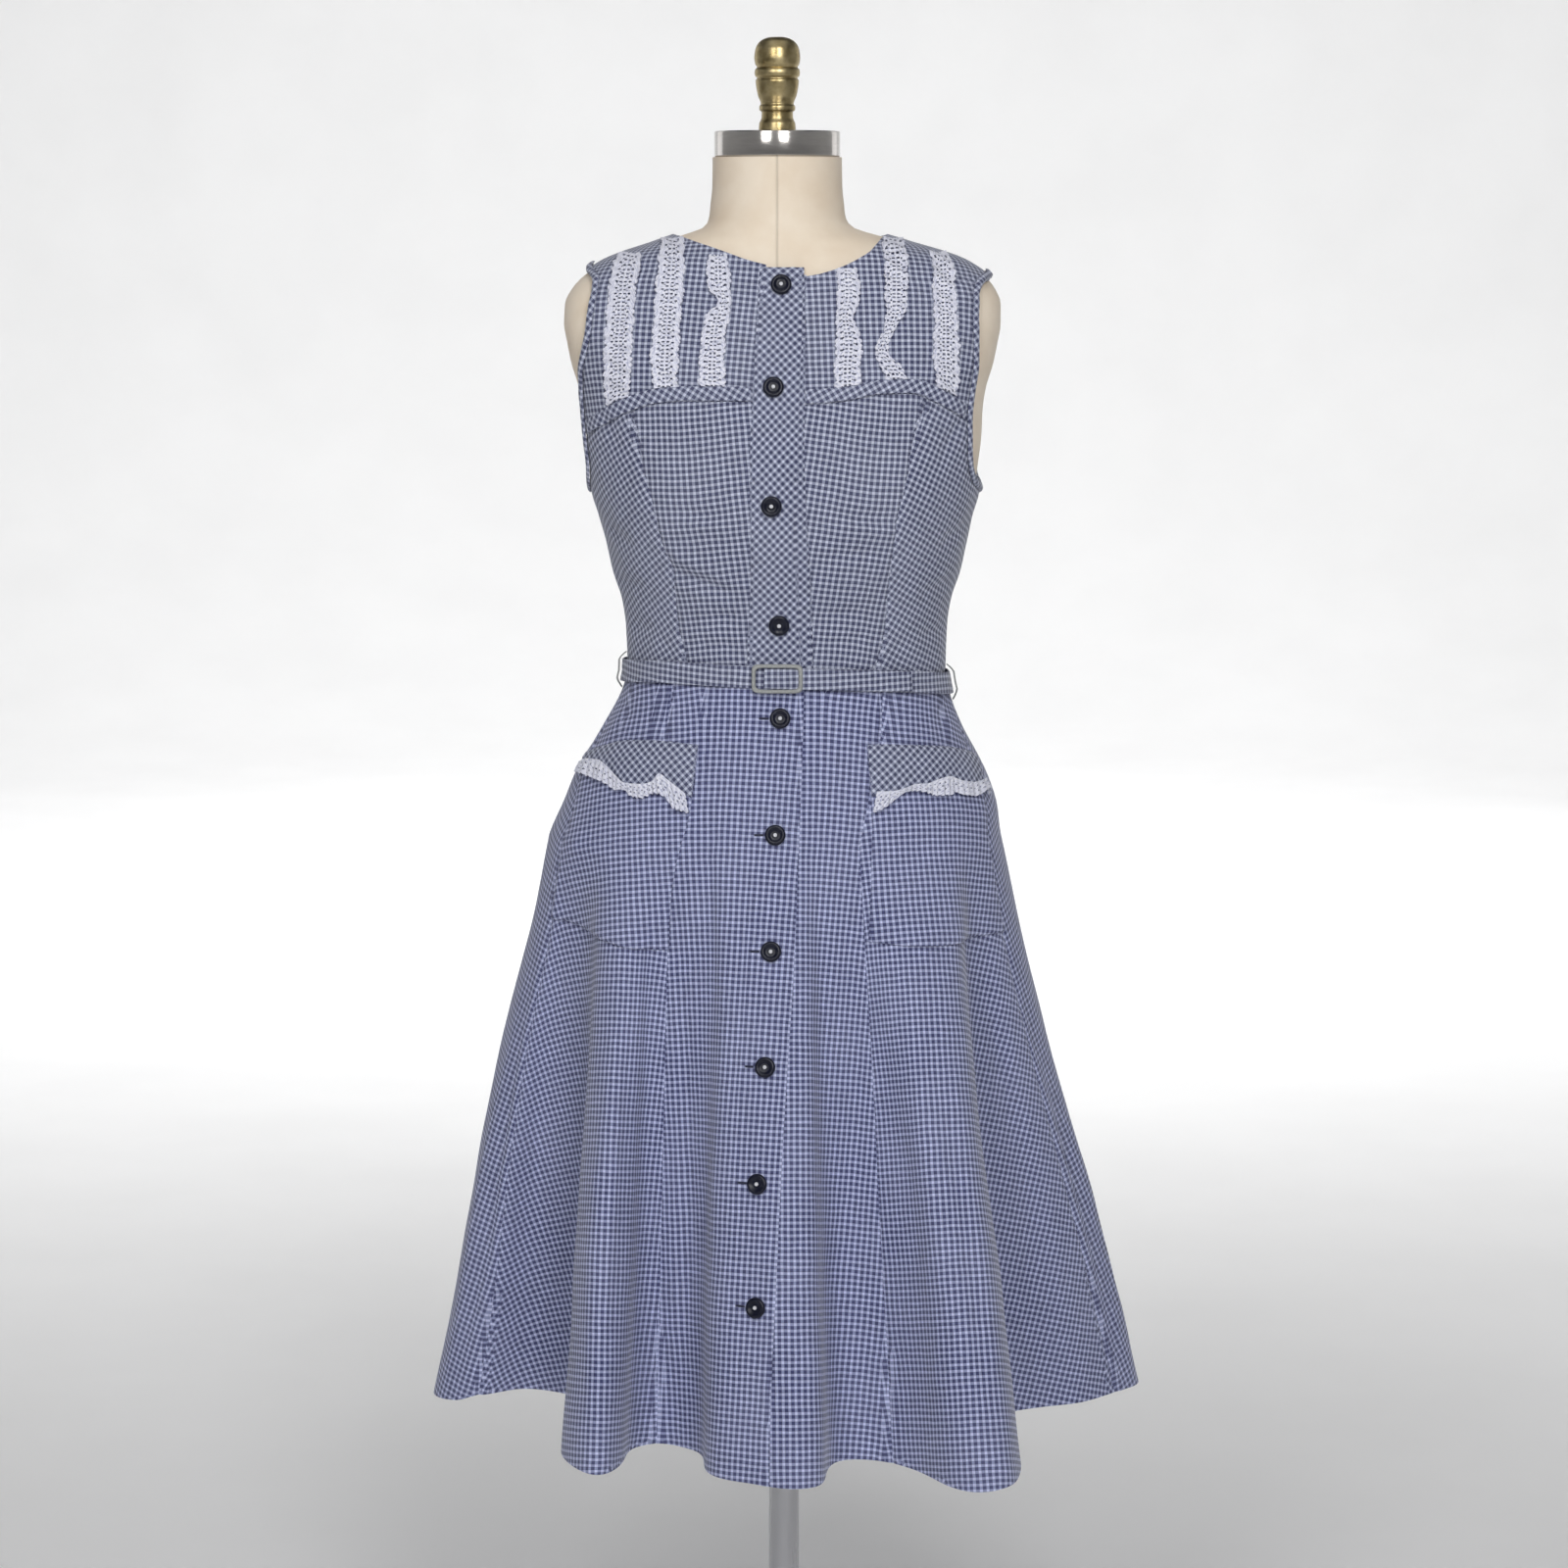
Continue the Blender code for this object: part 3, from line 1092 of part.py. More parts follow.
def main():
    """Clears the scene and builds the dress, its trimmings, the form and the stand."""
    for thing in list(bpy.data.objects):
        bpy.data.objects.remove(thing)
    check = finish_material("checked_cotton", (0.235, 0.262, 0.376), 0.85)
    bias = finish_material("checked_cotton_bias", (0.222, 0.248, 0.352), 0.85)
    lace = finish_material("cotton_lace", (0.78, 0.79, 0.88), 0.9)
    navy = finish_material("navy_button", (0.010, 0.014, 0.035), 0.22)
    linen = finish_material("form_linen", (0.80, 0.71, 0.58), 0.9)
    steel = finish_material("cap_steel", (0.55, 0.53, 0.51), 0.22, 1.0)
    brass = finish_material("finial_brass", (0.42, 0.34, 0.16), 0.38, 1.0)
    pole = finish_material("pole_steel", (0.50, 0.50, 0.50), 0.35, 1.0)
    paint = finish_material("base_paint", (0.60, 0.58, 0.54), 0.45)

    make_form("dress_form", linen)
    make_stand(steel, brass, pole, paint)
    for side, word in ((-1, "right"), (1, "left")):
        make_yoke(f"yoke_{word}", side, check)
        make_yoke_band(f"yoke_band_{word}", side, bias)
        make_centre_front(f"bodice_front_{word}", side, check)
        make_side_front(f"bodice_side_{word}", side, check)
        make_back(f"bodice_back_{word}", side, check)
        make_binding(f"armhole_binding_{word}", side, bias)
        make_skirt_front(f"skirt_front_{word}", side, check)
        make_pocket(f"pocket_{word}", side, check)
        make_cuff(f"pocket_cuff_{word}", side, bias)
        make_ruffle(f"pocket_lace_{word}", side, lace)
        make_loop(f"belt_loop_{word}", side, check)
    make_skirt_panel("skirt_side_right", SEAM_SIDE_RIGHT, SEAM_FRONT_RIGHT, SKIRT_LEVELS, check)
    make_skirt_panel("skirt_side_left", SEAM_FRONT_LEFT, SEAM_SIDE_LEFT, SKIRT_LEVELS, check)
    make_skirt_panel("skirt_back_right", -180.0, SEAM_SIDE_RIGHT, SKIRT_BACK_LEVELS, check)
    make_skirt_panel("skirt_back_left", SEAM_SIDE_LEFT, 180.0, SKIRT_BACK_LEVELS, check)
    make_band("front_band", bias, under=False)
    make_band("under_band", bias, under=True)
    for name, table in LACE_STRIPS.items():
        make_lace_strip(name, table, lace)
    make_belt("belt", check)
    make_belt_end("belt_end", check)
    make_buckle("belt_buckle", check)
    make_buttons(navy)


main()
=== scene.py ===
"""Looks of the checked day dress on its limbless form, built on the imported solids."""
import math

import bmesh
import bpy
import numpy as np
from mathutils import Matrix, Vector


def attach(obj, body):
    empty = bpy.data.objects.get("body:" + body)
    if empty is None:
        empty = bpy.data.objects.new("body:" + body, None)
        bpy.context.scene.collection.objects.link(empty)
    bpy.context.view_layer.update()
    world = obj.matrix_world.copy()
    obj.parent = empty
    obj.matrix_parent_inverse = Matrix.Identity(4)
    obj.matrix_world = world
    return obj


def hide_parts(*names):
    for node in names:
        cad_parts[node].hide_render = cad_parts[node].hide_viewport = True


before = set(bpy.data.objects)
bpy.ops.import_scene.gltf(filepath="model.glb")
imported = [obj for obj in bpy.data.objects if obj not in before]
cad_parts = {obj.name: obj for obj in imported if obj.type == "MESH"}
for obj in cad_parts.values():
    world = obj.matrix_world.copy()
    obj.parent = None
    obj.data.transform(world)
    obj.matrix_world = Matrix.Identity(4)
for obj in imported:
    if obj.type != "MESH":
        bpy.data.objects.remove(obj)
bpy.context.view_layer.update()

# Cloth walls and the layers they lie in
LAYER = 0.0020
BODICE_OUT = 0.0045
SHOULDER_OUT = 0.0034
EASE_TOP, EASE_BOTTOM = 1.400, 1.290

# Heights of the dress and of the form
WAIST = 1.0468
HIP = 0.900
HEM = 0.3705
ARMPIT = 1.217
SHOULDER_END = {-1: 1.4075, 1: 1.4000}
NECK_POINT = 1.4362
NECKLINE_FRONT = 1.4095
NECKLINE_BACK = 1.4235
FORM_BOTTOM = 0.775
NECK_TOP = 1.507

# Trimmings
YOKE_BAND_WIDTH = 0.012
BINDING_WIDTH = 0.007
BINDING = 0.0010
BELT_WIDTH = 0.0205
BELT = 0.0018
BELT_CLEAR = LAYER + 0.0006
BUTTON_LIFT = 0.0006
BAND_LIFT = LAYER + 0.0004
BINDING_LIFT = LAYER + 0.0009
POCKET_LIFT = LAYER + 0.0003
OVERLAP = 0.040
LOOP_TURN = 4.0
LOOP_FOOT = 0.0019
LOOP_CROWN = BELT_CLEAR + BELT + 0.0040
NECK_POINT_ANGLE = 82.0

# Stand
CAP_RADIUS = 0.0560
CAP_HEIGHT = 0.0225
POLE_RADIUS = 0.0140
BASE_RADIUS = 0.190
BASE_HEIGHT = 0.008
HUB_RADIUS, HUB_HEIGHT = 0.026, 0.036
HUB_FILLET = 0.006
TOUCH = 0.0003

# Row heights of the pieces
SKIRT_LEVELS = np.array([
    WAIST - 0.0003, 1.025, 1.002, 0.979, 0.955, 0.930, HIP, 0.862, 0.820, 0.740, 0.630, 0.500, HEM,
])
YOKE_LEVELS = np.array([
    1.318, 1.332, 1.346, 1.361, 1.378, 1.390, 1.397, 1.400, 1.4040, 1.4075, 1.4143, 1.4225, 1.4285,
    1.4330, NECK_POINT,
])
BACK_LEVELS = np.array([
    WAIST, 1.085, 1.130, 1.175, ARMPIT, 1.226, 1.242, 1.280, 1.320, 1.345, 1.360, 1.378, 1.390, 1.397, 1.400,
    1.4040, 1.4075, 1.4143, 1.4225, 1.4285, 1.4330, NECK_POINT,
])
BINDING_LEVELS = np.array([
    1.390, 1.378, 1.360, 1.345, 1.328, 1.311, 1.294, 1.277, 1.260, 1.244, 1.231, 1.2215,
])

# The body: half width, depth before and behind the side line, squareness of the section (2 is an ellipse)
# and how far its middle stands off the centre line.
# Columns: height, half, front, back, square, sway
BODY = np.array([
    (0.7750, 0.1675, 0.1010, 0.1090, 2.20, 0.0000),
    (0.8000, 0.1700, 0.1040, 0.1130, 2.20, 0.0000),
    (0.8500, 0.1720, 0.1075, 0.1170, 2.20, 0.0000),
    (0.9000, 0.1690, 0.1085, 0.1150, 2.20, 0.0000),
    (0.9450, 0.1620, 0.1060, 0.1060, 2.15, 0.0000),
    (0.9750, 0.1550, 0.1035, 0.0960, 2.10, 0.0005),
    (1.0000, 0.1480, 0.1010, 0.0880, 2.10, 0.0010),
    (1.0200, 0.1430, 0.0990, 0.0830, 2.10, 0.0015),
    (1.0450, 0.1395, 0.0965, 0.0795, 2.10, 0.0020),
    (1.0650, 0.1395, 0.0980, 0.0805, 2.10, 0.0025),
    (1.0900, 0.1405, 0.1015, 0.0830, 2.10, 0.0025),
    (1.1150, 0.1445, 0.1065, 0.0865, 2.10, 0.0025),
    (1.1400, 0.1525, 0.1130, 0.0900, 2.15, 0.0025),
    (1.1650, 0.1575, 0.1190, 0.0940, 2.20, 0.0025),
    (1.1900, 0.1635, 0.1225, 0.0970, 2.25, 0.0015),
    (1.2100, 0.1695, 0.1220, 0.0990, 2.30, 0.0010),
    (1.2350, 0.1735, 0.1195, 0.1010, 2.35, 0.0005),
    (1.2600, 0.1770, 0.1155, 0.1025, 2.45, 0.0000),
    (1.2850, 0.1790, 0.1105, 0.1030, 2.55, -0.0010),
    (1.3050, 0.1825, 0.1060, 0.1025, 2.65, -0.0015),
    (1.3250, 0.1885, 0.1010, 0.1015, 2.75, -0.0015),
    (1.3450, 0.1925, 0.0955, 0.0990, 2.80, -0.0015),
    (1.3600, 0.1950, 0.0910, 0.0970, 2.75, -0.0015),
    (1.3780, 0.1945, 0.0855, 0.0935, 2.65, -0.0010),
    (1.3900, 0.1895, 0.0810, 0.0900, 2.55, -0.0005),
    (1.4000, 0.1815, 0.0775, 0.0860, 2.45, 0.0000),
    (1.4143, 0.1605, 0.0725, 0.0800, 2.30, 0.0000),
    (1.4225, 0.1390, 0.0690, 0.0750, 2.20, -0.0005),
    (1.4285, 0.1190, 0.0665, 0.0710, 2.10, -0.0015),
    (1.4350, 0.0990, 0.0645, 0.0675, 2.05, -0.0030),
    (1.4410, 0.0780, 0.0620, 0.0635, 2.00, -0.0045),
    (1.4445, 0.0680, 0.0615, 0.0625, 2.00, -0.0050),
    (1.4490, 0.0630, 0.0610, 0.0615, 2.00, -0.0055),
    (1.4560, 0.0605, 0.0605, 0.0600, 2.00, -0.0060),
    (1.4660, 0.0595, 0.0600, 0.0590, 2.00, -0.0060),
    (1.4800, 0.0580, 0.0595, 0.0570, 2.00, -0.0060),
    (1.5070, 0.0575, 0.0600, 0.0560, 2.00, -0.0060),
])

# The skirt's outer face from the hip line up to the waist seam, in the same columns
HIPS = np.array([
    (0.9000, 0.2055, 0.1340, 0.1350, 2.20, -0.0072),
    (0.9350, 0.1945, 0.1265, 0.1260, 2.15, -0.0030),
    (0.9620, 0.1835, 0.1190, 0.1160, 2.10, -0.0030),
    (0.9890, 0.1680, 0.1115, 0.1040, 2.10, -0.0020),
    (1.0020, 0.1610, 0.1085, 0.0980, 2.10, -0.0010),
    (1.0200, 0.1520, 0.1045, 0.0905, 2.10, 0.0005),
    (1.0350, 0.1465, 0.1022, 0.0860, 2.10, 0.0015),
    (1.0470, 0.1440, 0.1010, 0.0842, 2.10, 0.0020),
])

# The skirt's folds, one row for each crest, flank and hollow, round from centre back by the wearer's right:
# the angle at the hip line where the fold's line starts, and where that line ends on the hem.
# Columns: hip angle, hem x, hem y
FOLDS = np.array([
    (-180.0, 0.0000, 0.2460),
    (-171.0, -0.0380, 0.2240),
    (-165.0, -0.0640, 0.1880),
    (-159.0, -0.0920, 0.1860),
    (-151.0, -0.1180, 0.2200),
    (-142.0, -0.1550, 0.2380),
    (-132.0, -0.1900, 0.2140),
    (-125.0, -0.2130, 0.1650),
    (-118.0, -0.2400, 0.1200),
    (-110.0, -0.2810, 0.0980),
    (-99.0, -0.3180, 0.0640),
    (-88.0, -0.3265, 0.0220),
    (-67.0, -0.2830, -0.0080),
    (-62.0, -0.2450, 0.0120),
    (-58.5, -0.2180, 0.0060),
    (-54.5, -0.1860, -0.0220),
    (-49.0, -0.1810, -0.1000),
    (-43.0, -0.1910, -0.2060),
    (-37.0, -0.1630, -0.2400),
    (-32.0, -0.1420, -0.2050),
    (-28.5, -0.1310, -0.1600),
    (-25.0, -0.1135, -0.1490),
    (-20.0, -0.0890, -0.1600),
    (-16.5, -0.0778, -0.1720),
    (-12.0, -0.0640, -0.2330),
    (-9.0, -0.0510, -0.2500),
    (-4.5, -0.0250, -0.2640),
    (0.0, 0.0000, -0.2770),
    (4.5, 0.0250, -0.2740),
    (8.0, 0.0380, -0.2260),
    (12.0, 0.0520, -0.1970),
    (16.0, 0.0750, -0.1960),
    (19.0, 0.0950, -0.2060),
    (22.5, 0.1275, -0.2450),
    (27.5, 0.1515, -0.2800),
    (33.5, 0.1760, -0.2910),
    (39.5, 0.1935, -0.2830),
    (45.0, 0.2030, -0.2610),
    (50.0, 0.1980, -0.1500),
    (54.0, 0.1960, -0.0800),
    (57.0, 0.2210, -0.0640),
    (59.5, 0.2418, -0.0550),
    (62.0, 0.2686, -0.0450),
    (66.5, 0.3070, -0.0100),
    (88.0, 0.3295, 0.0170),
    (99.0, 0.3220, 0.0580),
    (110.0, 0.2880, 0.0940),
    (118.0, 0.2470, 0.1140),
    (125.0, 0.2190, 0.1600),
    (132.0, 0.1960, 0.2120),
    (142.0, 0.1600, 0.2420),
    (151.0, 0.1240, 0.2200),
    (159.0, 0.0980, 0.1840),
    (166.0, 0.0680, 0.1880),
    (172.0, 0.0400, 0.2260),
    (180.0, 0.0000, 0.2460),
])
# The hem hangs a little unevenly: its height across the front view
# Columns: x, height
HEM_LINE = np.array([
    (-0.3300, 0.3640), (-0.3050, 0.3665), (-0.2830, 0.3730), (-0.2000, 0.3730), (-0.1500, 0.3705),
    (0.1500, 0.3705), (0.2200, 0.3765), (0.3300, 0.3765),
])
SEAM_FRONT_RIGHT, SEAM_FRONT_LEFT = -25.0, 19.0
SEAM_SIDE_RIGHT, SEAM_SIDE_LEFT = -67.0, 66.5

# Darts turn the skirt's lines between waist and hip: an angle at the hip and its angle at the waist
DART_HIP = np.array([-180.0, -88.0, -66.5, -22.0, 0.0, 22.0, 66.5, 88.0, 180.0])
DART_WAIST = np.array([-180.0, -103.0, -87.0, -39.5, 0.0, 39.5, 87.0, 103.0, 180.0])

# The armhole's edge, in degrees from centre front on each side and from centre back
# Columns: height, right front, left front, right back, left back
ARMHOLE = np.array([
    (1.2170, 90.0, 90.0, 90.0, 90.0),
    (1.2250, 81.0, 73.0, 79.0, 79.0),
    (1.2400, 76.0, 66.0, 73.0, 73.0),
    (1.2600, 74.5, 63.0, 69.0, 69.0),
    (1.2800, 73.5, 62.0, 66.0, 66.0),
    (1.3000, 71.5, 61.5, 63.0, 63.0),
    (1.3200, 66.7, 60.0, 60.0, 60.0),
    (1.3400, 60.3, 57.5, 58.0, 58.0),
    (1.3600, 55.8, 56.0, 58.0, 58.0),
    (1.3800, 55.5, 57.5, 60.0, 60.0),
    (1.3950, 60.0, 67.0, 65.0, 67.0),
    (1.4000, 66.0, 90.0, 70.0, 90.0),
    (1.4075, 90.0, 90.0, 90.0, 90.0),
])

# The neckline's half width at each height, front right, front left and back
# Columns: height, right, left, back
NECKLINE = np.array([
    (1.4035, 0.0000, 0.0300, 0.0000),
    (1.4095, 0.0080, 0.0500, 0.0000),
    (1.4165, 0.0343, 0.0660, 0.0000),
    (1.4225, 0.0515, 0.0770, 0.0000),
    (1.4290, 0.0720, 0.0850, 0.0560),
    (1.4330, 0.0850, 0.0900, 0.0790),
    (1.4362, 0.0930, 0.0930, 0.0930),
])

# The yoke seam's height by distance from the centre line
# Columns: across, right, left
YOKE_SEAM = np.array([
    (0.000, 1.2945, 1.2915),
    (0.030, 1.2945, 1.2925),
    (0.055, 1.2945, 1.2950),
    (0.085, 1.2945, 1.3005),
    (0.110, 1.2925, 1.3010),
    (0.135, 1.2850, 1.2920),
    (0.155, 1.2750, 1.2805),
    (0.175, 1.2625, 1.2690),
])

# The front band: its two edges, and the edge of the under band that shows beside it
# Columns: height, right edge, left edge, under edge
BAND = np.array([
    (1.0460, -0.0330, 0.0150, 0.0262),
    (1.0760, -0.0327, 0.0146, 0.0258),
    (1.1390, -0.0295, 0.0115, 0.0238),
    (1.1810, -0.0296, 0.0102, 0.0210),
    (1.2200, -0.0298, 0.0111, 0.0190),
    (1.2530, -0.0298, 0.0128, 0.0180),
    (1.3040, -0.0273, 0.0145, 0.0187),
    (1.3540, -0.0248, 0.0160, 0.0188),
    (1.4110, -0.0214, 0.0180, 0.0200),
])
BAND_TUCK = 0.006

# The bodice's princess seams
# Columns: height, right, left
PRINCESS = np.array([
    (1.0460, 0.0850, 0.0770),
    (1.0740, 0.0887, 0.0860),
    (1.0960, 0.0943, 0.0905),
    (1.1310, 0.0974, 0.0928),
    (1.1533, 0.1002, 0.0954),
    (1.1710, 0.1075, 0.0972),
    (1.2008, 0.1149, 0.1018),
    (1.2180, 0.1192, 0.1062),
    (1.2350, 0.1243, 0.1105),
    (1.2519, 0.1277, 0.1127),
    (1.3010, 0.1400, 0.1280),
])

# The skirt's front edge, where the right side laps over the left
# Columns: height, x
FRONT_EDGE = np.array([
    (0.3600, -0.0128),
    (0.4420, -0.0110),
    (0.5313, -0.0066),
    (0.5966, -0.0040),
    (0.7115, 0.0025),
    (0.7940, 0.0080),
    (0.9024, 0.0129),
    (0.9947, 0.0164),
    (1.0480, 0.0178),
])

# The patch pockets' inner edge, the only one off a seam: its distance from the centre line
# Columns: height, right, left
POCKET_EDGE = np.array([
    (0.8180, 0.1015, 0.0740),
    (0.8600, 0.0996, 0.0762),
    (0.8823, 0.0964, 0.0768),
    (0.9017, 0.0920, 0.0770),
    (0.9320, 0.0836, 0.0780),
    (0.9620, 0.0790, 0.0755),
    (0.9920, 0.0757, 0.0728),
])

# The pockets' other edges, by distance from the centre line: top, foot of the turned-down cuff, bottom
# Columns: across, top, cuff, bottom
POCKET_RIGHT = np.array([
    (0.0757, 0.9922, 0.9440, 0.8150),
    (0.0860, 0.9928, 0.9490, 0.8145),
    (0.0977, 0.9934, 0.9580, 0.8142),
    (0.1056, 0.9937, 0.9620, 0.8141),
    (0.1150, 0.9936, 0.9550, 0.8145),
    (0.1370, 0.9916, 0.9525, 0.8163),
    (0.1547, 0.9860, 0.9640, 0.8195),
    (0.1722, 0.9772, 0.9660, 0.8235),
    (0.1914, 0.9690, 0.9590, 0.8283),
])
POCKET_LEFT = np.array([
    (0.0728, 0.9920, 0.9480, 0.8238),
    (0.0860, 0.9918, 0.9480, 0.8228),
    (0.1015, 0.9906, 0.9495, 0.8212),
    (0.1116, 0.9898, 0.9520, 0.8200),
    (0.1364, 0.9865, 0.9550, 0.8182),
    (0.1445, 0.9850, 0.9550, 0.8178),
    (0.1629, 0.9780, 0.9485, 0.8170),
    (0.1748, 0.9722, 0.9490, 0.8166),
    (0.1884, 0.9660, 0.9500, 0.8164),
])

# The gathered lace under each cuff, by distance from the centre line: its upper and its lower edge
# Columns: across, upper, lower
RUFFLE_RIGHT = np.array([
    (0.0833, 0.9500, 0.9333),
    (0.0910, 0.9560, 0.9350),
    (0.0977, 0.9612, 0.9372),
    (0.1056, 0.9658, 0.9465),
    (0.1134, 0.9588, 0.9482),
    (0.1246, 0.9557, 0.9430),
    (0.1330, 0.9555, 0.9446),
    (0.1380, 0.9558, 0.9490),
    (0.1450, 0.9610, 0.9481),
    (0.1547, 0.9680, 0.9530),
    (0.1632, 0.9716, 0.9556),
    (0.1739, 0.9703, 0.9570),
    (0.1834, 0.9648, 0.9575),
])
RUFFLE_LEFT = np.array([
    (0.0781, 0.9520, 0.9336),
    (0.0858, 0.9516, 0.9364),
    (0.0958, 0.9518, 0.9434),
    (0.1048, 0.9536, 0.9493),
    (0.1137, 0.9562, 0.9501),
    (0.1228, 0.9558, 0.9472),
    (0.1317, 0.9582, 0.9443),
    (0.1431, 0.9600, 0.9434),
    (0.1477, 0.9585, 0.9460),
    (0.1556, 0.9548, 0.9420),
    (0.1685, 0.9520, 0.9404),
    (0.1757, 0.9527, 0.9436),
    (0.1840, 0.9568, 0.9390),
])
RUFFLE_LIFT = 0.0030
RUFFLE_SINK = 0.0006

# The lace strips sewn down the yoke: each row is a height with the strip's two edges across
# Columns: height, first edge, second edge
LACE_STRIPS = {
    "yoke_lace_right_outer": np.array([
        (1.4180, -0.1440, -0.1258), (1.4110, -0.1505, -0.1252), (1.3950, -0.1537, -0.1288),
        (1.3705, -0.1564, -0.1303), (1.3382, -0.1581, -0.1321), (1.3126, -0.1574, -0.1336),
        (1.2980, -0.1565, -0.1354),
    ]),
    "yoke_lace_right_middle": np.array([
        (1.4310, -0.1102, -0.0882), (1.4130, -0.1112, -0.0867), (1.3877, -0.1140, -0.0877),
        (1.3581, -0.1155, -0.0906), (1.3286, -0.1182, -0.0918), (1.3159, -0.1154, -0.0930),
        (1.3080, -0.1154, -0.0922),
    ]),
    "yoke_lace_right_inner": np.array([
        (1.4190, -0.0673, -0.0497), (1.4005, -0.0694, -0.0465), (1.3920, -0.0679, -0.0464),
        (1.3794, -0.0590, -0.0464), (1.3659, -0.0709, -0.0470), (1.3558, -0.0726, -0.0504),
        (1.3271, -0.0753, -0.0516), (1.3120, -0.0759, -0.0503), (1.3080, -0.0735, -0.0494),
    ]),
    "yoke_lace_left_inner": np.array([
        (1.4080, 0.0462, 0.0651), (1.3853, 0.0462, 0.0684), (1.3668, 0.0453, 0.0624),
        (1.3415, 0.0448, 0.0700), (1.3239, 0.0438, 0.0682), (1.3085, 0.0438, 0.0682),
    ]),
    "yoke_lace_left_middle": np.array([
        (1.4310, 0.0861, 0.1075), (1.4114, 0.0875, 0.1100), (1.3836, 0.0881, 0.1096),
        (1.3692, 0.0889, 0.1070), (1.3583, 0.0880, 0.0992), (1.3465, 0.0825, 0.0940),
        (1.3356, 0.0794, 0.0922), (1.3263, 0.0836, 0.1034), (1.3190, 0.0879, 0.1072),
        (1.3150, 0.0888, 0.1077),
    ]),
    "yoke_lace_left_outer": np.array([
        (1.4190, 0.1275, 0.1440), (1.4121, 0.1305, 0.1496), (1.3876, 0.1299, 0.1517),
        (1.3623, 0.1311, 0.1528), (1.3369, 0.1296, 0.1537), (1.3157, 0.1319, 0.1529),
        (1.3080, 0.1337, 0.1512),
    ]),
}
FRILL = 0.0010

# The belt's middle line by angle
# Columns: angle, height
BELT_LINE = np.array([
    (-180.0, 1.0450), (-90.0, 1.0490), (-40.0, 1.0550), (0.0, 1.0525), (40.0, 1.0475),
    (90.0, 1.0375), (180.0, 1.0450),
])
BELT_END = (-7.0, 47.0)
BUCKLE_X = -0.0060
BUCKLE_WIDTH, BUCKLE_HEIGHT, BUCKLE_BAR = 0.0440, 0.0260, 0.0035
LOOP_MARGIN = 0.0060

# Button centres
# Columns: x, height
BUTTONS = np.array([
    (-0.0026, 1.3938), (-0.0094, 1.3062), (-0.0111, 1.2052), (-0.0043, 1.1016), (-0.0034, 1.0167),
    (-0.0077, 0.9168), (-0.0111, 0.8174), (-0.0154, 0.7197), (-0.0213, 0.6211), (-0.0229, 0.5174),
])

# Turned outlines, radius and height: the button, the finial above the cap and the stand's base
FINIAL_PROFILE = (
    (0.0000, 0.0000), (0.0158, 0.0000), (0.0164, 0.0015), (0.0160, 0.0070), (0.0150, 0.0090),
    (0.0140, 0.0120), (0.0139, 0.0165), (0.0160, 0.0185), (0.0160, 0.0215), (0.0146, 0.0235),
    (0.0172, 0.0310), (0.0188, 0.0390), (0.0193, 0.0440), (0.0180, 0.0462), (0.0196, 0.0480),
    (0.0202, 0.0510), (0.0196, 0.0540), (0.0180, 0.0556), (0.0196, 0.0585), (0.0204, 0.0640),
    (0.0196, 0.0710), (0.0170, 0.0765), (0.0125, 0.0802), (0.0065, 0.0820), (0.0000, 0.0824),
)


def monotone(knots, values, at):
    """Values between the knots on a cubic that never overshoots them (slopes are harmonic means)."""
    at = np.clip(at, knots[0], knots[-1])
    step = np.diff(knots)
    rise = np.diff(values) / step
    slope = np.zeros(len(knots))
    same = rise[1:] * rise[:-1] > 0
    safe = np.where(same, rise[1:] + rise[:-1], 1.0)
    slope[1:-1] = np.where(same, 2 * rise[1:] * rise[:-1] / safe, 0.0)
    slope[0], slope[-1] = rise[0], rise[-1]
    span = np.clip(np.searchsorted(knots, at, side="right") - 1, 0, len(step) - 1)
    t = (at - knots[span]) / step[span]
    start, end = values[span], values[span + 1]
    lean_in = slope[span] * step[span]
    lean_out = slope[span + 1] * step[span]
    return (
        start * (1 + 2 * t) * (1 - t) ** 2 + end * t * t * (3 - 2 * t)
        + lean_in * t * (1 - t) ** 2 + lean_out * t * t * (t - 1)
    )


def ring_spline(knots, values, at):
    """Values on the smooth closed cubic through the knots; the last knot repeats the first."""
    step = np.diff(knots)
    count = len(step)
    rise = np.diff(values) / step
    before = np.roll(step, 1)
    matrix = np.zeros((count, count))
    rows = np.arange(count)
    matrix[rows, rows] = 2 * (before + step)
    matrix[rows, (rows - 1) % count] += step
    matrix[rows, (rows + 1) % count] += before
    slope = np.linalg.solve(matrix, 3 * (rise * before + np.roll(rise, 1) * step))
    slope = np.append(slope, slope[0])
    span = np.clip(np.searchsorted(knots, at, side="right") - 1, 0, count - 1)
    t = (at - knots[span]) / step[span]
    return (
        values[span] * (1 + 2 * t) * (1 - t) ** 2 + values[span + 1] * t * t * (3 - 2 * t)
        + slope[span] * step[span] * t * (1 - t) ** 2 + slope[span + 1] * step[span] * t * t * (t - 1)
    )


def column(table, index, at):
    """One named column of a table read at any place along its first column."""
    return monotone(table[:, 0], table[:, index], np.asarray(at, dtype=float))


def ramp(value, low, high):
    """0 at low, 1 at high and a smooth S between; low may be the larger."""
    t = np.clip((value - low) / (high - low), 0.0, 1.0)
    return t * t * (3 - 2 * t)


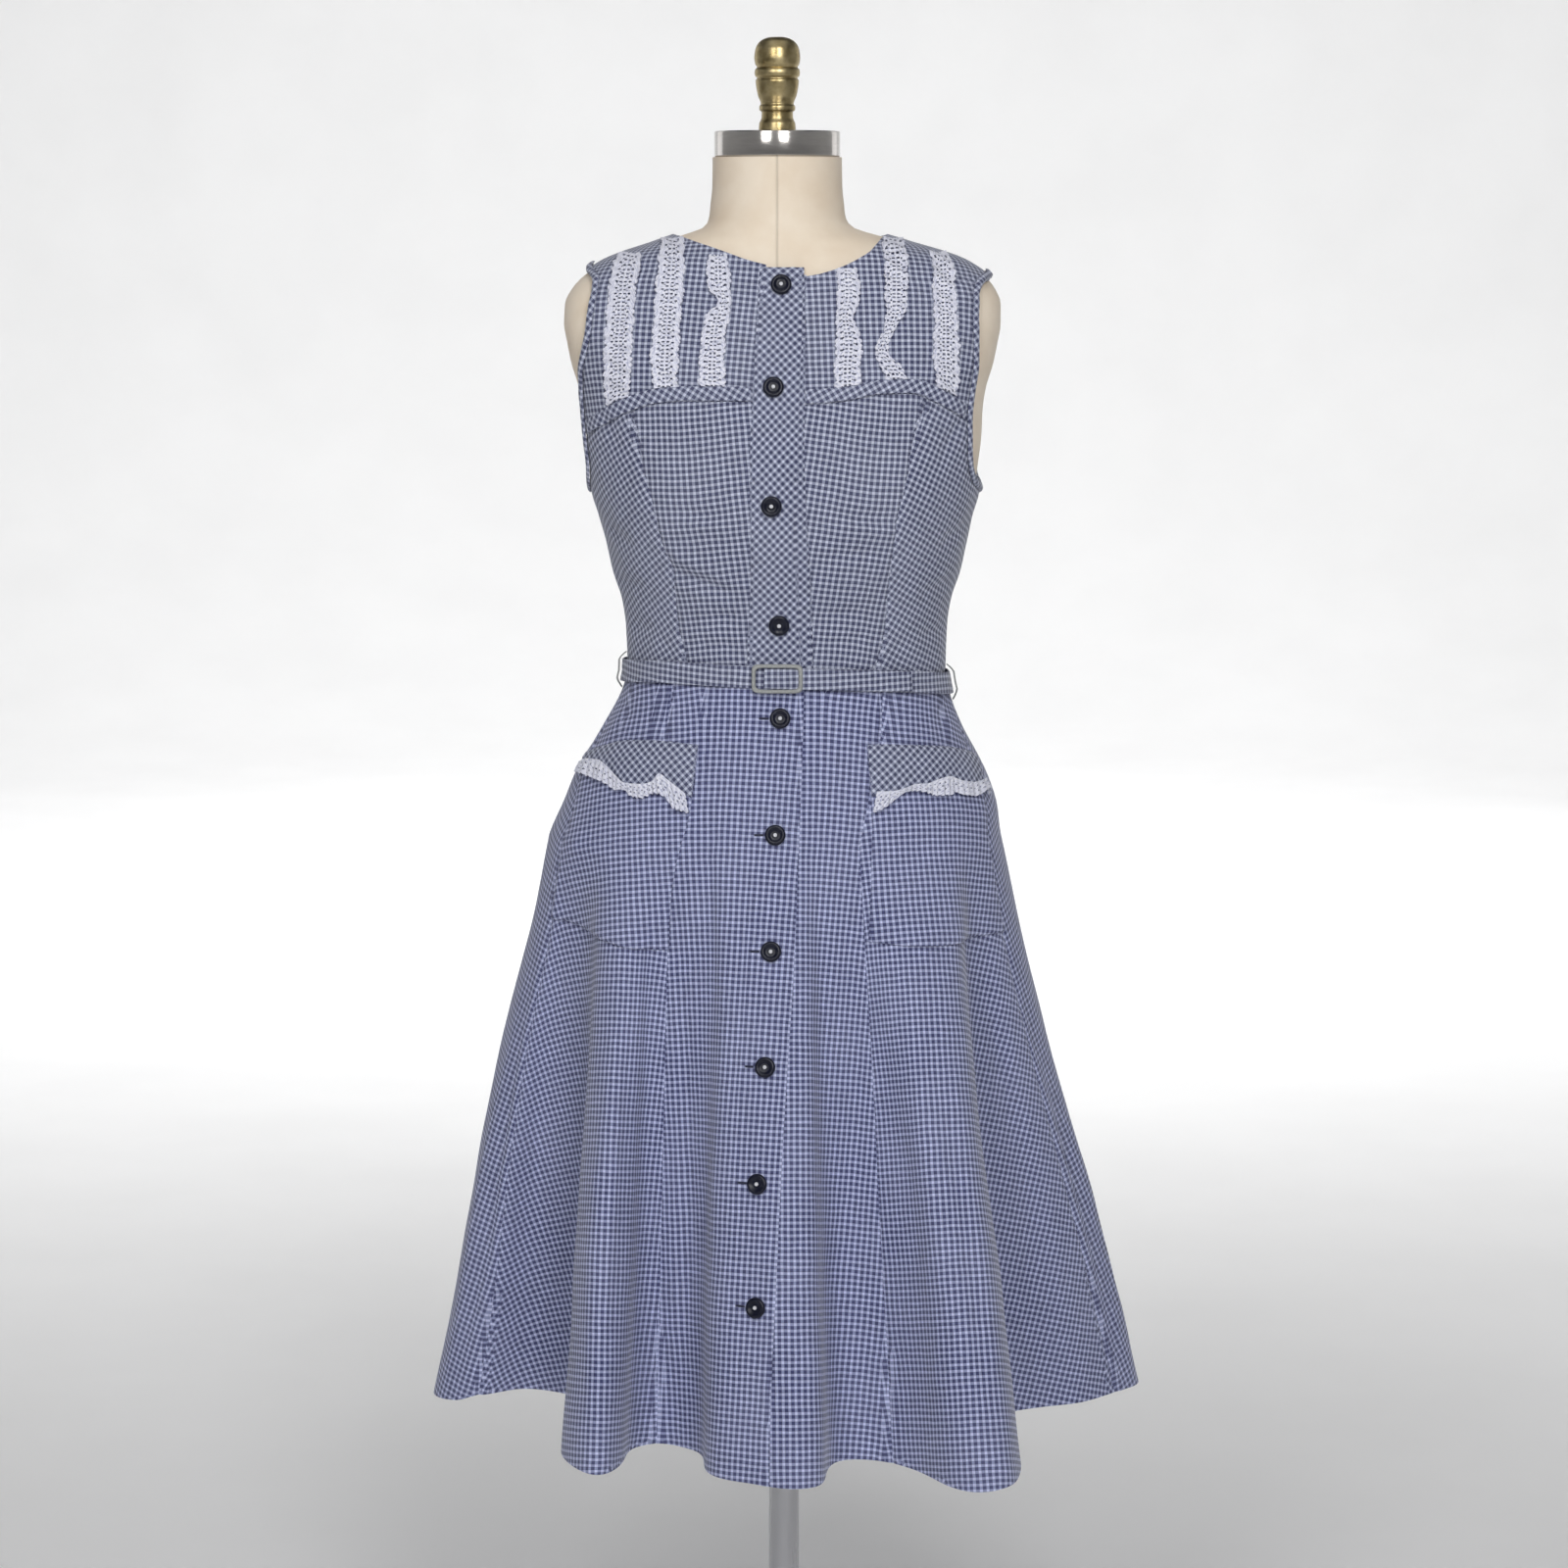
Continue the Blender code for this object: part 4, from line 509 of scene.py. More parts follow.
def section_point(table, angle, height, out):
    """Point of a superellipse section at an angle and a height, moved out along the surface's normal."""
    angle, height, out = np.broadcast_arrays(np.asarray(angle, dtype=float), height, out)
    half, front, back, square, sway = (column(table, index, height) for index in range(1, 6))
    reach = 0.0015
    half_slope = (column(table, 1, height + reach) - column(table, 1, height - reach)) / (2 * reach)
    front_slope = (column(table, 2, height + reach) - column(table, 2, height - reach)) / (2 * reach)
    back_slope = (column(table, 3, height + reach) - column(table, 3, height - reach)) / (2 * reach)
    sine, cosine = np.sin(np.radians(angle)), np.cos(np.radians(angle))
    ahead = cosine > 0
    depth = np.where(ahead, front, back)
    depth_slope = np.where(ahead, front_slope, back_slope)
    across = np.sign(sine) * np.abs(sine) ** (2 / square)
    along = -np.sign(cosine) * np.abs(cosine) ** (2 / square)
    normal_x = np.sign(across) * np.abs(across) ** (square - 1) / half
    normal_y = np.sign(along) * np.abs(along) ** (square - 1) / depth
    normal_z = -(np.abs(across) ** square * half_slope / half + np.abs(along) ** square * depth_slope / depth)
    normal = np.stack([normal_x, normal_y, normal_z], axis=-1)
    normal /= np.linalg.norm(normal, axis=-1, keepdims=True)
    point = np.stack([half * across + sway, depth * along, height], axis=-1)
    return point + normal * out[..., None]


def cloth_out(height):
    """How far the bodice's outer face stands off the body: snug on the shoulders, easier below."""
    return SHOULDER_OUT + (BODICE_OUT - SHOULDER_OUT) * ramp(height, EASE_TOP, EASE_BOTTOM)


# The cloth's own sizes: its wall, the check's repeat, the thread's pitch, the bias grain's angle in degrees,
# and how deep a seam dips and how far the dip reaches
WALL = 0.0007
CHECK = 0.00545
THREAD = 0.00042
GRAIN_BIAS = 45.0
SEAM_DIP, SEAM_REACH = 0.0011, 0.0026

# Creases of the bodice: each runs from one angle and height to another, with its half width
# and its depth before CREASE_GAIN (a trough is negative, a ridge positive)
# Columns: angle 0, height 0, angle 1, height 1, half width, depth
BODICE_CREASES = np.array([
    (-36.0, 1.1990, -13.0, 1.1960, 0.0055, -0.0017),
    (-33.0, 1.1870, -12.0, 1.1880, 0.0050, 0.0010),
    (8.0, 1.1985, 38.0, 1.1905, 0.0060, -0.0020),
    (10.0, 1.1860, 34.0, 1.1800, 0.0055, 0.0012),
    (-44.0, 1.1540, -14.0, 1.1260, 0.0060, -0.0018),
    (-40.0, 1.1640, -15.0, 1.1390, 0.0060, 0.0012),
    (6.0, 1.1600, 32.0, 1.1660, 0.0050, -0.0013),
    (-30.0, 1.1050, -14.0, 1.1080, 0.0045, -0.0016),
    (9.0, 1.1080, 30.0, 1.1120, 0.0050, -0.0013),
    (10.0, 1.0820, 34.0, 1.0900, 0.0050, -0.0010),
    (-34.0, 1.0830, -14.0, 1.0790, 0.0045, -0.0012),
    (-75.0, 1.1850, -52.0, 1.1650, 0.0070, -0.0014),
    (-80.0, 1.1350, -50.0, 1.1300, 0.0070, -0.0014),
    (-78.0, 1.0900, -52.0, 1.0950, 0.0060, -0.0012),
    (54.0, 1.1700, 80.0, 1.1880, 0.0070, -0.0014),
    (50.0, 1.1300, 82.0, 1.1350, 0.0065, -0.0015),
    (52.0, 1.0900, 80.0, 1.0870, 0.0060, -0.0012),
    (-58.0, 1.2900, -50.0, 1.2480, 0.0070, -0.0012),
    (46.0, 1.2450, 58.0, 1.2850, 0.0070, -0.0014),
    (118.0, 1.1000, 168.0, 1.0930, 0.0080, -0.0016),
    (-166.0, 1.1040, -120.0, 1.0980, 0.0080, -0.0017),
    (125.0, 1.1450, 172.0, 1.1350, 0.0090, -0.0018),
    (-170.0, 1.1460, -126.0, 1.1520, 0.0090, -0.0016),
    (112.0, 1.2050, 140.0, 1.2450, 0.0080, -0.0015),
    (-141.0, 1.2400, -113.0, 1.2080, 0.0080, -0.0015),
    (150.0, 1.3100, 172.0, 1.3350, 0.0100, -0.0012),
    (-168.0, 1.3200, -146.0, 1.3080, 0.0100, -0.0012),
])

# Creases of the skirt in the same columns, by the angle at the hip line
SKIRT_CREASES = np.array([
    (-5.0, 1.0000, -2.0, 0.3700, 0.0060, 0.0012),
    (-14.0, 0.9900, -12.0, 0.5400, 0.0070, -0.0016),
    (-20.5, 0.9000, -18.0, 0.3700, 0.0060, -0.0018),
    (-23.0, 0.6800, -22.0, 0.3700, 0.0050, 0.0014),
    (9.0, 0.9600, 10.0, 0.6200, 0.0060, -0.0012),
    (17.0, 0.8700, 14.5, 0.5200, 0.0060, -0.0022),
    (22.0, 0.7900, 24.0, 0.3700, 0.0080, -0.0018),
    (26.5, 0.8200, 30.0, 0.4400, 0.0080, 0.0016),
    (35.0, 0.7800, 38.0, 0.3700, 0.0090, -0.0020),
    (-33.0, 0.8100, -35.0, 0.4000, 0.0080, -0.0018),
    (-40.0, 0.7600, -40.0, 0.3700, 0.0080, 0.0016),
    (-70.0, 0.7900, -74.0, 0.3700, 0.0090, -0.0022),
    (-80.0, 0.7000, -84.0, 0.3700, 0.0100, 0.0018),
    (60.0, 0.7900, 62.0, 0.4300, 0.0080, -0.0020),
    (72.0, 0.7800, 78.0, 0.3700, 0.0090, -0.0022),
    (84.0, 0.7000, 90.0, 0.3700, 0.0100, 0.0018),
    (-60.0, 1.0300, -40.0, 1.0100, 0.0060, -0.0012),
    (40.0, 1.0080, 62.0, 1.0280, 0.0060, -0.0012),
    (-100.0, 0.8200, -104.0, 0.4200, 0.0090, -0.0020),
    (102.0, 0.8300, 106.0, 0.4100, 0.0090, -0.0020),
    (120.0, 0.7600, 122.0, 0.3700, 0.0090, -0.0022),
    (-128.0, 0.8000, -128.0, 0.3700, 0.0090, -0.0022),
    (145.0, 0.8300, 147.0, 0.4500, 0.0090, -0.0018),
    (-148.0, 0.8600, -150.0, 0.5000, 0.0090, -0.0018),
    (168.0, 0.7400, 170.0, 0.3700, 0.0090, -0.0020),
    (-169.0, 0.7600, -172.0, 0.4200, 0.0090, -0.0020),
])
# Metres of cloth to a degree of turn, and how much deeper than in the tables all creases lie
BODICE_SPREAD, SKIRT_SPREAD = 0.0025, 0.0036
CREASE_GAIN = 2.0

# Slow waves over the cloth: how many in a turn and up a metre, their phase and their height
# Columns: turns, rises, phase, height
WAVES = np.array([
    (5.0, 31.0, 0.4, 0.00030),
    (9.0, -47.0, 1.9, 0.00022),
    (14.0, 22.0, 3.1, 0.00020),
    (23.0, 64.0, 5.2, 0.00014),
    (31.0, -83.0, 0.9, 0.00010),
])


def even(count):
    """Shares from 0 to 1."""
    return np.linspace(0.0, 1.0, count)


def crease(table, spread, angle, height):
    """Depth of the creases at a point: each is a bell across its line, faded to nothing at both ends."""
    across, up = angle * spread, height
    depth = np.zeros(np.broadcast(angle, height).shape)
    for angle_0, height_0, angle_1, height_1, half_width, tall in table:
        line = np.array([(angle_1 - angle_0) * spread, height_1 - height_0])
        long = float(np.hypot(*line))
        line /= long
        away_x, away_y = across - angle_0 * spread, up - height_0
        along = (away_x * line[0] + away_y * line[1]) / long
        off = away_x * line[1] - away_y * line[0] + 0.12 * long * (along - 0.5) ** 2 * np.sign(tall)
        fade = ramp(along, -0.12, 0.45) * ramp(along, 1.12, 0.55)
        depth = depth + CREASE_GAIN * tall * fade * np.exp(-((off / half_width) ** 2))
    for turns, rises, phase, tall in WAVES:
        depth = depth + tall * np.sin(np.radians(angle) * turns + height * rises + phase)
    return depth


def bodice_point(angle, height, lift=0.0):
    """Point of the bodice's outer face: the body's section, out by ease, creases and the layers beneath."""
    angle, height = np.broadcast_arrays(np.asarray(angle, dtype=float), height)
    calm = ramp(height, WAIST, WAIST + 0.02) * ramp(height, 1.432, 1.400)
    depth = crease(BODICE_CREASES, BODICE_SPREAD, angle, height) * calm
    return section_point(BODY, angle, height, cloth_out(height) + depth + lift)


HEM_STEPS = np.hypot(np.diff(FOLDS[:, 1]), np.diff(FOLDS[:, 2]))
HEM_ROUND = np.concatenate([[0.0], np.cumsum(HEM_STEPS)])


def hem_place(hip_angle):
    """Length along the hem at which the line from this hip angle ends."""
    return np.interp(hip_angle, FOLDS[:, 0], HEM_ROUND)


HEM_FINE = np.linspace(0.0, HEM_ROUND[-1], 3000)
HEM_FINE_X = ring_spline(HEM_ROUND, FOLDS[:, 1], HEM_FINE)
HEM_FINE_Y = ring_spline(HEM_ROUND, FOLDS[:, 2], HEM_FINE)


def skirt_base(place, height):
    """Point of the skirt's outer face: sections above the hip line, and straight lines from it to the hem."""
    place, height = np.broadcast_arrays(np.asarray(place, dtype=float), np.asarray(height, dtype=float))
    hip_angle = monotone(HEM_ROUND, FOLDS[:, 0], place)
    waist_angle = monotone(DART_HIP, DART_WAIST, hip_angle)
    turned = ramp(height, HIP, WAIST)
    ring = section_point(HIPS, hip_angle + (waist_angle - hip_angle) * turned, np.maximum(height, HIP), 0.0)
    hem_x, hem_y = np.interp(place, HEM_FINE, HEM_FINE_X), np.interp(place, HEM_FINE, HEM_FINE_Y)
    hem = np.stack([hem_x, hem_y, column(HEM_LINE, 1, hem_x)], axis=-1)
    drop = np.clip((HIP - height) / (HIP - HEM), 0.0, 1.0)[..., None]
    return ring * (1 - drop) + hem * drop


def skirt_point(place, height, lift=0.0):
    """Point of the skirt's outer face moved out along its normal by the creases and the layers beneath."""
    place, height, lift = np.broadcast_arrays(np.asarray(place, dtype=float), height, lift)
    reach = 0.002
    before, after = np.maximum(place - reach, 0.0), np.minimum(place + reach, HEM_ROUND[-1])
    lower, upper = np.maximum(height - reach, HEM), np.minimum(height + reach, WAIST)
    along = skirt_base(after, height) - skirt_base(before, height)
    up = skirt_base(place, upper) - skirt_base(place, lower)
    normal = np.cross(along, up)
    normal /= np.linalg.norm(normal, axis=-1, keepdims=True)
    angle = monotone(HEM_ROUND, FOLDS[:, 0], place)
    depth = crease(SKIRT_CREASES, SKIRT_SPREAD, angle, height) * ramp(height, WAIST, WAIST - 0.03)
    point = skirt_base(place, height) + normal * (depth + lift)[..., None]
    point[..., 0] += side_sag(point)
    return point


def side_sag(point):
    """The flanks aren't straight: the left one sags in below the hip, the right one bellies out low."""
    across, height = point[..., 0], point[..., 2]
    left = -0.0045 * ramp(across, 0.13, 0.20) * ramp(height, 0.52, 0.70) * ramp(height, 0.93, 0.80)
    right = -0.0050 * ramp(across, -0.14, -0.24) * ramp(height, 0.45, 0.62) * ramp(height, 0.84, 0.70)
    return left + right


def skirt_place(x, height, low, high):
    """Place along the hem, between two places, whose skirt line lies across by x at this height."""
    tries = np.linspace(low, high, 160)
    return np.array([
        np.interp(across, skirt_base(tries, level)[:, 0], tries)
        for across, level in zip(np.atleast_1d(x), np.atleast_1d(height))
    ])


def bodice_angle(x, height):
    """Angle of the bodice point that lies across by x, from -90 to 90 degrees."""
    x, height = np.broadcast_arrays(np.asarray(x, dtype=float), height)
    half = column(BODY, 1, height) + cloth_out(height)
    away = x - column(BODY, 5, height)
    share = np.clip(np.abs(away) / half, 0.0, 1.0)
    return np.sign(away) * np.degrees(np.arcsin(share ** (column(BODY, 4, height) / 2)))


def seam_height(angle, side):
    """Height of the yoke seam at an angle on one side: -1 the wearer's right, 1 the left."""
    level = np.full(np.shape(angle), 1.285)
    for _ in range(4):
        across = np.abs(section_point(BODY, angle, level, cloth_out(level))[..., 0])
        level = column(YOKE_SEAM, 1 if side < 0 else 2, across)
    return level


def armhole_angle(height, side, back=False):
    """Angle of the armhole's edge on one side, from centre front, or from centre back for its back edge."""
    return column(ARMHOLE, (1 if side < 0 else 2) + (2 if back else 0), height)


def neck_angle(height, side):
    """Angle of the neckline on one side; side 0 gives its angle from centre back."""
    width = column(NECKLINE, {-1: 1, 1: 2, 0: 3}[side], height)
    half = column(BODY, 1, height) + cloth_out(height)
    angle = np.degrees(np.arcsin(np.clip(width / half, 0.0, 1.0) ** (column(BODY, 4, height) / 2)))
    return np.where(np.asarray(height) >= NECK_POINT - 1e-6, NECK_POINT_ANGLE, angle)


def front_inner_angle(height, side):
    """Angle where a front panel starts beside or under the bands."""
    if side < 0:
        return bodice_angle(column(BAND, 1, height) + BAND_TUCK, height)
    return bodice_angle(column(BAND, 3, height), height)


def princess_angle(height, side):
    """Angle of the bodice's princess seam."""
    return bodice_angle(side * column(PRINCESS, 1 if side < 0 else 2, height), height)


def seam_corner(side):
    """Angle and height where the yoke seam meets the armhole."""
    level = 1.275
    for _ in range(6):
        angle = side * armhole_angle(level, side)
        level = float(seam_height(np.array(angle), side))
    return float(angle), level


def seam_turn(side):
    """Angle where the princess seam meets the yoke seam."""
    level = 1.290
    for _ in range(6):
        angle = float(princess_angle(level, side))
        level = float(seam_height(np.array(angle), side))
    return angle


# Sheets: from a grid of points to a flat cut and a mesh with a wall


def corner(tip, first, second):
    """Angle at tip between two other points."""
    one, two = first - tip, second - tip
    size = np.linalg.norm(one, axis=-1) * np.linalg.norm(two, axis=-1)
    return np.arccos(np.clip((one * two).sum(axis=-1) / np.maximum(size, 1e-12), -1.0, 1.0))


def flatten(points, grain):
    """The sheet laid flat, in metres.

    Every strip between two columns is unrolled from its triangles' angles and edge lengths, and is set beside
    the strip before it by the turn and shift that fit their shared edge best. Last, the flat cut is turned so
    that one of its columns stands at the grain's angle to the thread.
    """
    left, right = points[:, :-1], points[:, 1:]
    low = corner(left[:-1], right[:-1], left[1:])
    high = corner(left[1:], left[:-1], right[:-1]) + corner(left[1:], right[:-1], right[1:])
    turn = np.concatenate([np.zeros((1, low.shape[1])), np.cumsum(high[:-1] + low[1:] - math.pi, axis=0)])
    heading = math.pi / 2 + turn
    step = np.linalg.norm(left[1:] - left[:-1], axis=-1)
    path = np.stack([np.cos(heading), np.sin(heading)], axis=-1) * step[..., None]
    near = np.concatenate([np.zeros((1,) + path.shape[1:]), np.cumsum(path, axis=0)])
    aim = np.concatenate([heading - low, heading[-1:] - math.pi + high[-1:]])
    width = np.linalg.norm(right - left, axis=-1)
    far = near + np.stack([np.cos(aim), np.sin(aim)], axis=-1) * width[..., None]
    flat = [near[:, 0], far[:, 0]]
    for strip in range(1, left.shape[1]):
        here, edge = near[:, strip], flat[-1]
        middle, target = here.mean(axis=0), edge.mean(axis=0)
        one, two = here - middle, edge - target
        lean = (one[:, 0] * two[:, 1] - one[:, 1] * two[:, 0]).sum()
        angle = math.atan2(float(lean), float((one * two).sum()))
        spin = np.array([[math.cos(angle), math.sin(angle)], [-math.sin(angle), math.cos(angle)]])
        flat.append((far[:, strip] - middle) @ spin + target)
    flat = np.stack(flat, axis=1)
    kept = flat.shape[1] // 2
    rise = flat[-1, kept] - flat[0, kept]
    angle = math.pi / 2 - math.atan2(rise[1], rise[0]) + math.radians(grain)
    spin = np.array([[math.cos(angle), math.sin(angle)], [-math.sin(angle), math.cos(angle)]])
    return (flat - flat[0, kept]) @ spin


def edged(length, step):
    """Shares along a length: five close together at either end, and the rest a step apart."""
    close = np.array([0.0, 0.001, 0.002, 0.0033, 0.0052])
    between = np.linspace(0.0085, length - 0.0085, max(int(length / step), 2))
    return np.concatenate([close, between, (length - close)[::-1]]) / length


def finer(levels, step):
    """The levels with more set evenly between them, no further apart than a step."""
    parts = [
        np.linspace(low, high, max(int(abs(high - low) / step) + 1, 1) + 1)[:-1]
        for low, high in zip(levels[:-1], levels[1:])
    ]
    return np.concatenate(parts + [levels[-1:]])


def run_lengths(points, axis):
    """Length from the first point to each point along one axis of a grid."""
    steps = np.linalg.norm(np.diff(points, axis=axis), axis=-1)
    start = np.zeros_like(steps[:1] if axis == 0 else steps[:, :1])
    return np.concatenate([start, np.cumsum(steps, axis=axis)], axis=axis)


def relaxed(flat, points, rounds=160):
    """The flat cut after rounds in which each cell's edges and diagonals draw their ends to their own length.

    In a round every point moves by 1.5 times the mean of what its edges ask, half of (1 - length / present
    length) along each, so the stretch that is left spreads evenly.
    """
    first, last, every = slice(0, -1), slice(1, None), slice(None)
    pairs = [
        ((every, first), (every, last)), ((first, every), (last, every)),
        ((first, first), (last, last)), ((first, last), (last, first)),
    ]
    lengths = [np.linalg.norm(points[end] - points[start], axis=-1) for start, end in pairs]
    count = np.zeros(flat.shape[:2])
    for start, end in pairs:
        count[start] += 1
        count[end] += 1
    for _ in range(rounds):
        move = np.zeros_like(flat)
        for (start, end), length in zip(pairs, lengths):
            gap = flat[end] - flat[start]
            present = np.maximum(np.linalg.norm(gap, axis=-1), 1e-9)
            shift = gap * (0.5 * (1 - length / present))[..., None]
            move[start] += shift
            move[end] -= shift
        flat = flat + 1.5 * move / count[..., None]
    return flat


def shell_faces(rows, columns, closed, inward, keep=None):
    """Corners of a sheet with a wall: its outer face, its inner face turned round, and a rim along each edge
    between a kept cell and a missing one. Returns each corner's place on the flat cut and its layer."""
    steps = columns if closed else columns - 1
    grid = np.arange(rows * (steps + 1)).reshape(rows, steps + 1)
    kept = np.ones((rows - 1, steps), bool) if keep is None else keep
    face = np.stack([grid[:-1, :-1], grid[:-1, 1:], grid[1:, 1:], grid[1:, :-1]], axis=-1)[kept]
    around = np.pad(kept, 1)
    if closed:
        around[:, 0], around[:, -1] = around[:, -2], around[:, 1]
    above, below = around[:-1, 1:-1], around[1:, 1:-1]
    before, after = around[1:-1, :-1], around[1:-1, 1:]
    level = np.stack([grid[:, :-1], grid[:, 1:]], axis=-1)
    upright = np.stack([grid[:-1], grid[1:]], axis=-1)
    rims = np.concatenate([
        level[below & ~above], level[above & ~below][:, ::-1],
        upright[before & ~after], upright[after & ~before][:, ::-1],
    ])
    corners = np.concatenate([face, face[:, ::-1], rims[:, [0, 0, 1, 1]]])
    layers = np.concatenate([
        np.zeros_like(face), np.ones_like(face), np.tile(np.array([0, 1, 1, 0]), (len(rims), 1)),
    ])
    return (corners[:, ::-1], layers[:, ::-1]) if inward else (corners, layers)


def mesh_of(name, points, quads, cut=None, crisp=50.0):
    """Smooth-shaded mesh of quads, its points no face uses left out, with the flat cut as its UV map."""
    used, quads = np.unique(quads, return_inverse=True)
    points, quads = points[used], quads.reshape(-1, 4)
    mesh = bpy.data.meshes.new(name)
    mesh.vertices.add(len(points))
    mesh.vertices.foreach_set("co", np.ascontiguousarray(points, dtype=np.float32).ravel())
    mesh.loops.add(quads.size)
    mesh.loops.foreach_set("vertex_index", quads.astype(np.int32).ravel())
    mesh.polygons.add(len(quads))
    mesh.polygons.foreach_set("loop_start", np.arange(0, quads.size, 4, dtype=np.int32))
    mesh.update(calc_edges=True)
    if cut is not None:
        layer = mesh.uv_layers.new(name="cut")
        layer.data.foreach_set("uv", np.ascontiguousarray(cut, dtype=np.float32).ravel())
    mesh.shade_smooth()
    mesh.set_sharp_from_angle(angle=math.radians(crisp))
    return mesh


def place_mesh(name, mesh, material, nodes, slot):
    """The mesh as a piece that rides on the dress and stands for its solids."""
    piece = bpy.data.objects.new(name, mesh)
    bpy.context.scene.collection.objects.link(piece)
    mesh.materials.append(material)
    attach(piece, "root")
    if nodes:
        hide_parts(*nodes)
    return piece


def faces_inward(grid):
    """True if most cells of a grid, taken row by row, face the dress's axis."""
    normal = np.cross(grid[1:, 1:] - grid[:-1, :-1], grid[1:, :-1] - grid[:-1, 1:])
    return float((normal[..., :2] * grid[:-1, :-1, :2]).sum()) < 0


def declare_cut(cut, share=1.0):
    """Works out the flat cut's width and length along its own middle column, and its area from its cells, and
    does nothing further with them. A narrow strip was cut straight, so its sizes are its mean lengths along
    and across."""
    one, two = cut[1:, 1:] - cut[:-1, :-1], cut[1:, :-1] - cut[:-1, 1:]
    area = 0.5 * float(np.abs(one[..., 0] * two[..., 1] - one[..., 1] * two[..., 0]).sum()) * share
    middle = cut[-1, cut.shape[1] // 2] - cut[0, cut.shape[1] // 2]
    angle = math.atan2(middle[0], middle[1])
    spin = np.array([[math.cos(angle), math.sin(angle)], [-math.sin(angle), math.cos(angle)]])
    size = np.ptp(cut.reshape(-1, 2) @ spin, axis=0)
    strip = run_lengths(cut, 1)[:, -1].mean(), run_lengths(cut, 0)[-1].mean()
    if min(strip) < 0.3 * max(strip):
        size = strip
    width, length = max(float(size[0]), 0.0101), max(float(size[1]), 0.0101)
    area = min(max(area, 0.31 * width * length), width * length)


def cloth(node, surface, material, slot, grain=0.0, wall=WALL,
          closed=False, dips="", dip=SEAM_DIP, reach=SEAM_REACH, keep=None):
    """Cloth piece whose outer face is the grid surface(0) and whose wall runs inward from it.

    The edges named in dips (a the first row, z the last, l the first column, r the last) sink into their seam
    as a bell, dip * exp(-(distance / reach) ** 2), whose depth puckers along the seam as two sines.
    """
    outer = surface(0.0)
    rows, columns = outer.shape[:2]
    down, over = run_lengths(outer, 0), run_lengths(outer, 1)
    away = {"a": down, "z": down[-1:] - down, "l": over, "r": over[:, -1:] - over}
    sink = np.zeros((rows, columns))
    for edge in dips:
        along = over if edge in "az" else down
        pucker = 1.0 + 0.30 * np.sin(along * 610.0) + 0.22 * np.sin(along * 337.0 + 1.0)
        sink = np.maximum(sink, dip * pucker * np.exp(-((away[edge] / reach) ** 2)))
    outer, inner = surface(-sink), surface(-sink - wall)
    laid = np.concatenate([outer, outer[:, :1]], axis=1) if closed else outer
    cut = relaxed(flatten(laid, grain), laid) if keep is None else np.stack([over, down], axis=-1)
    corners, layers = shell_faces(rows, columns, closed, faces_inward(outer), keep)
    index = np.arange(rows * columns).reshape(rows, columns)
    if closed:
        index = np.concatenate([index, index[:, :1]], axis=1)
    quads = index.ravel()[corners] + layers * rows * columns
    points = np.concatenate([outer.reshape(-1, 3), inner.reshape(-1, 3)])
    mesh = mesh_of(node, points, quads, cut.reshape(-1, 2)[corners].reshape(-1, 2))
    piece = place_mesh(node + "_cloth", mesh, material, [node], slot)
    declare_cut(cut, 1.0 if keep is None else float(keep.mean()))
    return piece


# The bodice


def yoke_row(level, side, share):
    """Angles along a row of the yoke, from its inner edge to the armhole or the shoulder seam."""
    inner = float(front_inner_angle(level[0], side))
    if level[0] > NECKLINE[0, 0]:
        inner = side * max(side * inner, float(neck_angle(level[0], side)))
    outer = side * (90.0 if level[-1] >= SHOULDER_END[side] else float(armhole_angle(level[-1], side)))
    return inner + (outer - inner) * share


def make_yoke(word, side):
    """Front yoke: level rows from the seam to the shoulder, between the band or neckline and the armhole."""
    share = edged(0.130, 0.0042)
    start = float(front_inner_angle(1.293, side))
    foot = start + (seam_corner(side)[0] - start) * share
    foot_level = seam_height(foot, side)
    rise = edged(0.060, 0.004)[:-8]
    levels = [foot_level + (1.318 - foot_level) * part / rise[-1] for part in rise]
    levels += [np.full(len(share), level) for level in finer(YOKE_LEVELS, 0.0032)[1:]]
    angles = np.array([foot] + [yoke_row(level, side, share) for level in levels[1:]])
    cloth(f"yoke_{word}", lambda lift: bodice_point(angles, np.array(levels), lift), CHECKED,
          "checked_cotton", dips="a")


def make_centre_front(word, side):
    """Centre front of the bodice: waist to yoke seam, between the bands and the princess seam."""
    share, rise = edged(0.085, 0.0042), edged(0.245, 0.0042)[:, None]
    start = float(front_inner_angle(1.293, side))
    top_angles = start + (seam_turn(side) - start) * share
    top = seam_height(top_angles, side)
    levels = WAIST + (top - WAIST) * rise
    inner, outer = front_inner_angle(levels, side), princess_angle(levels, side)
    angles = inner + (outer - inner) * share
    angles = angles + (top_angles - angles[-1:]) * rise ** 4
    cloth(f"bodice_front_{word}", lambda lift: bodice_point(angles, levels, lift), CHECKED,
          "checked_cotton", grain=1.5 * side, dips="azr")


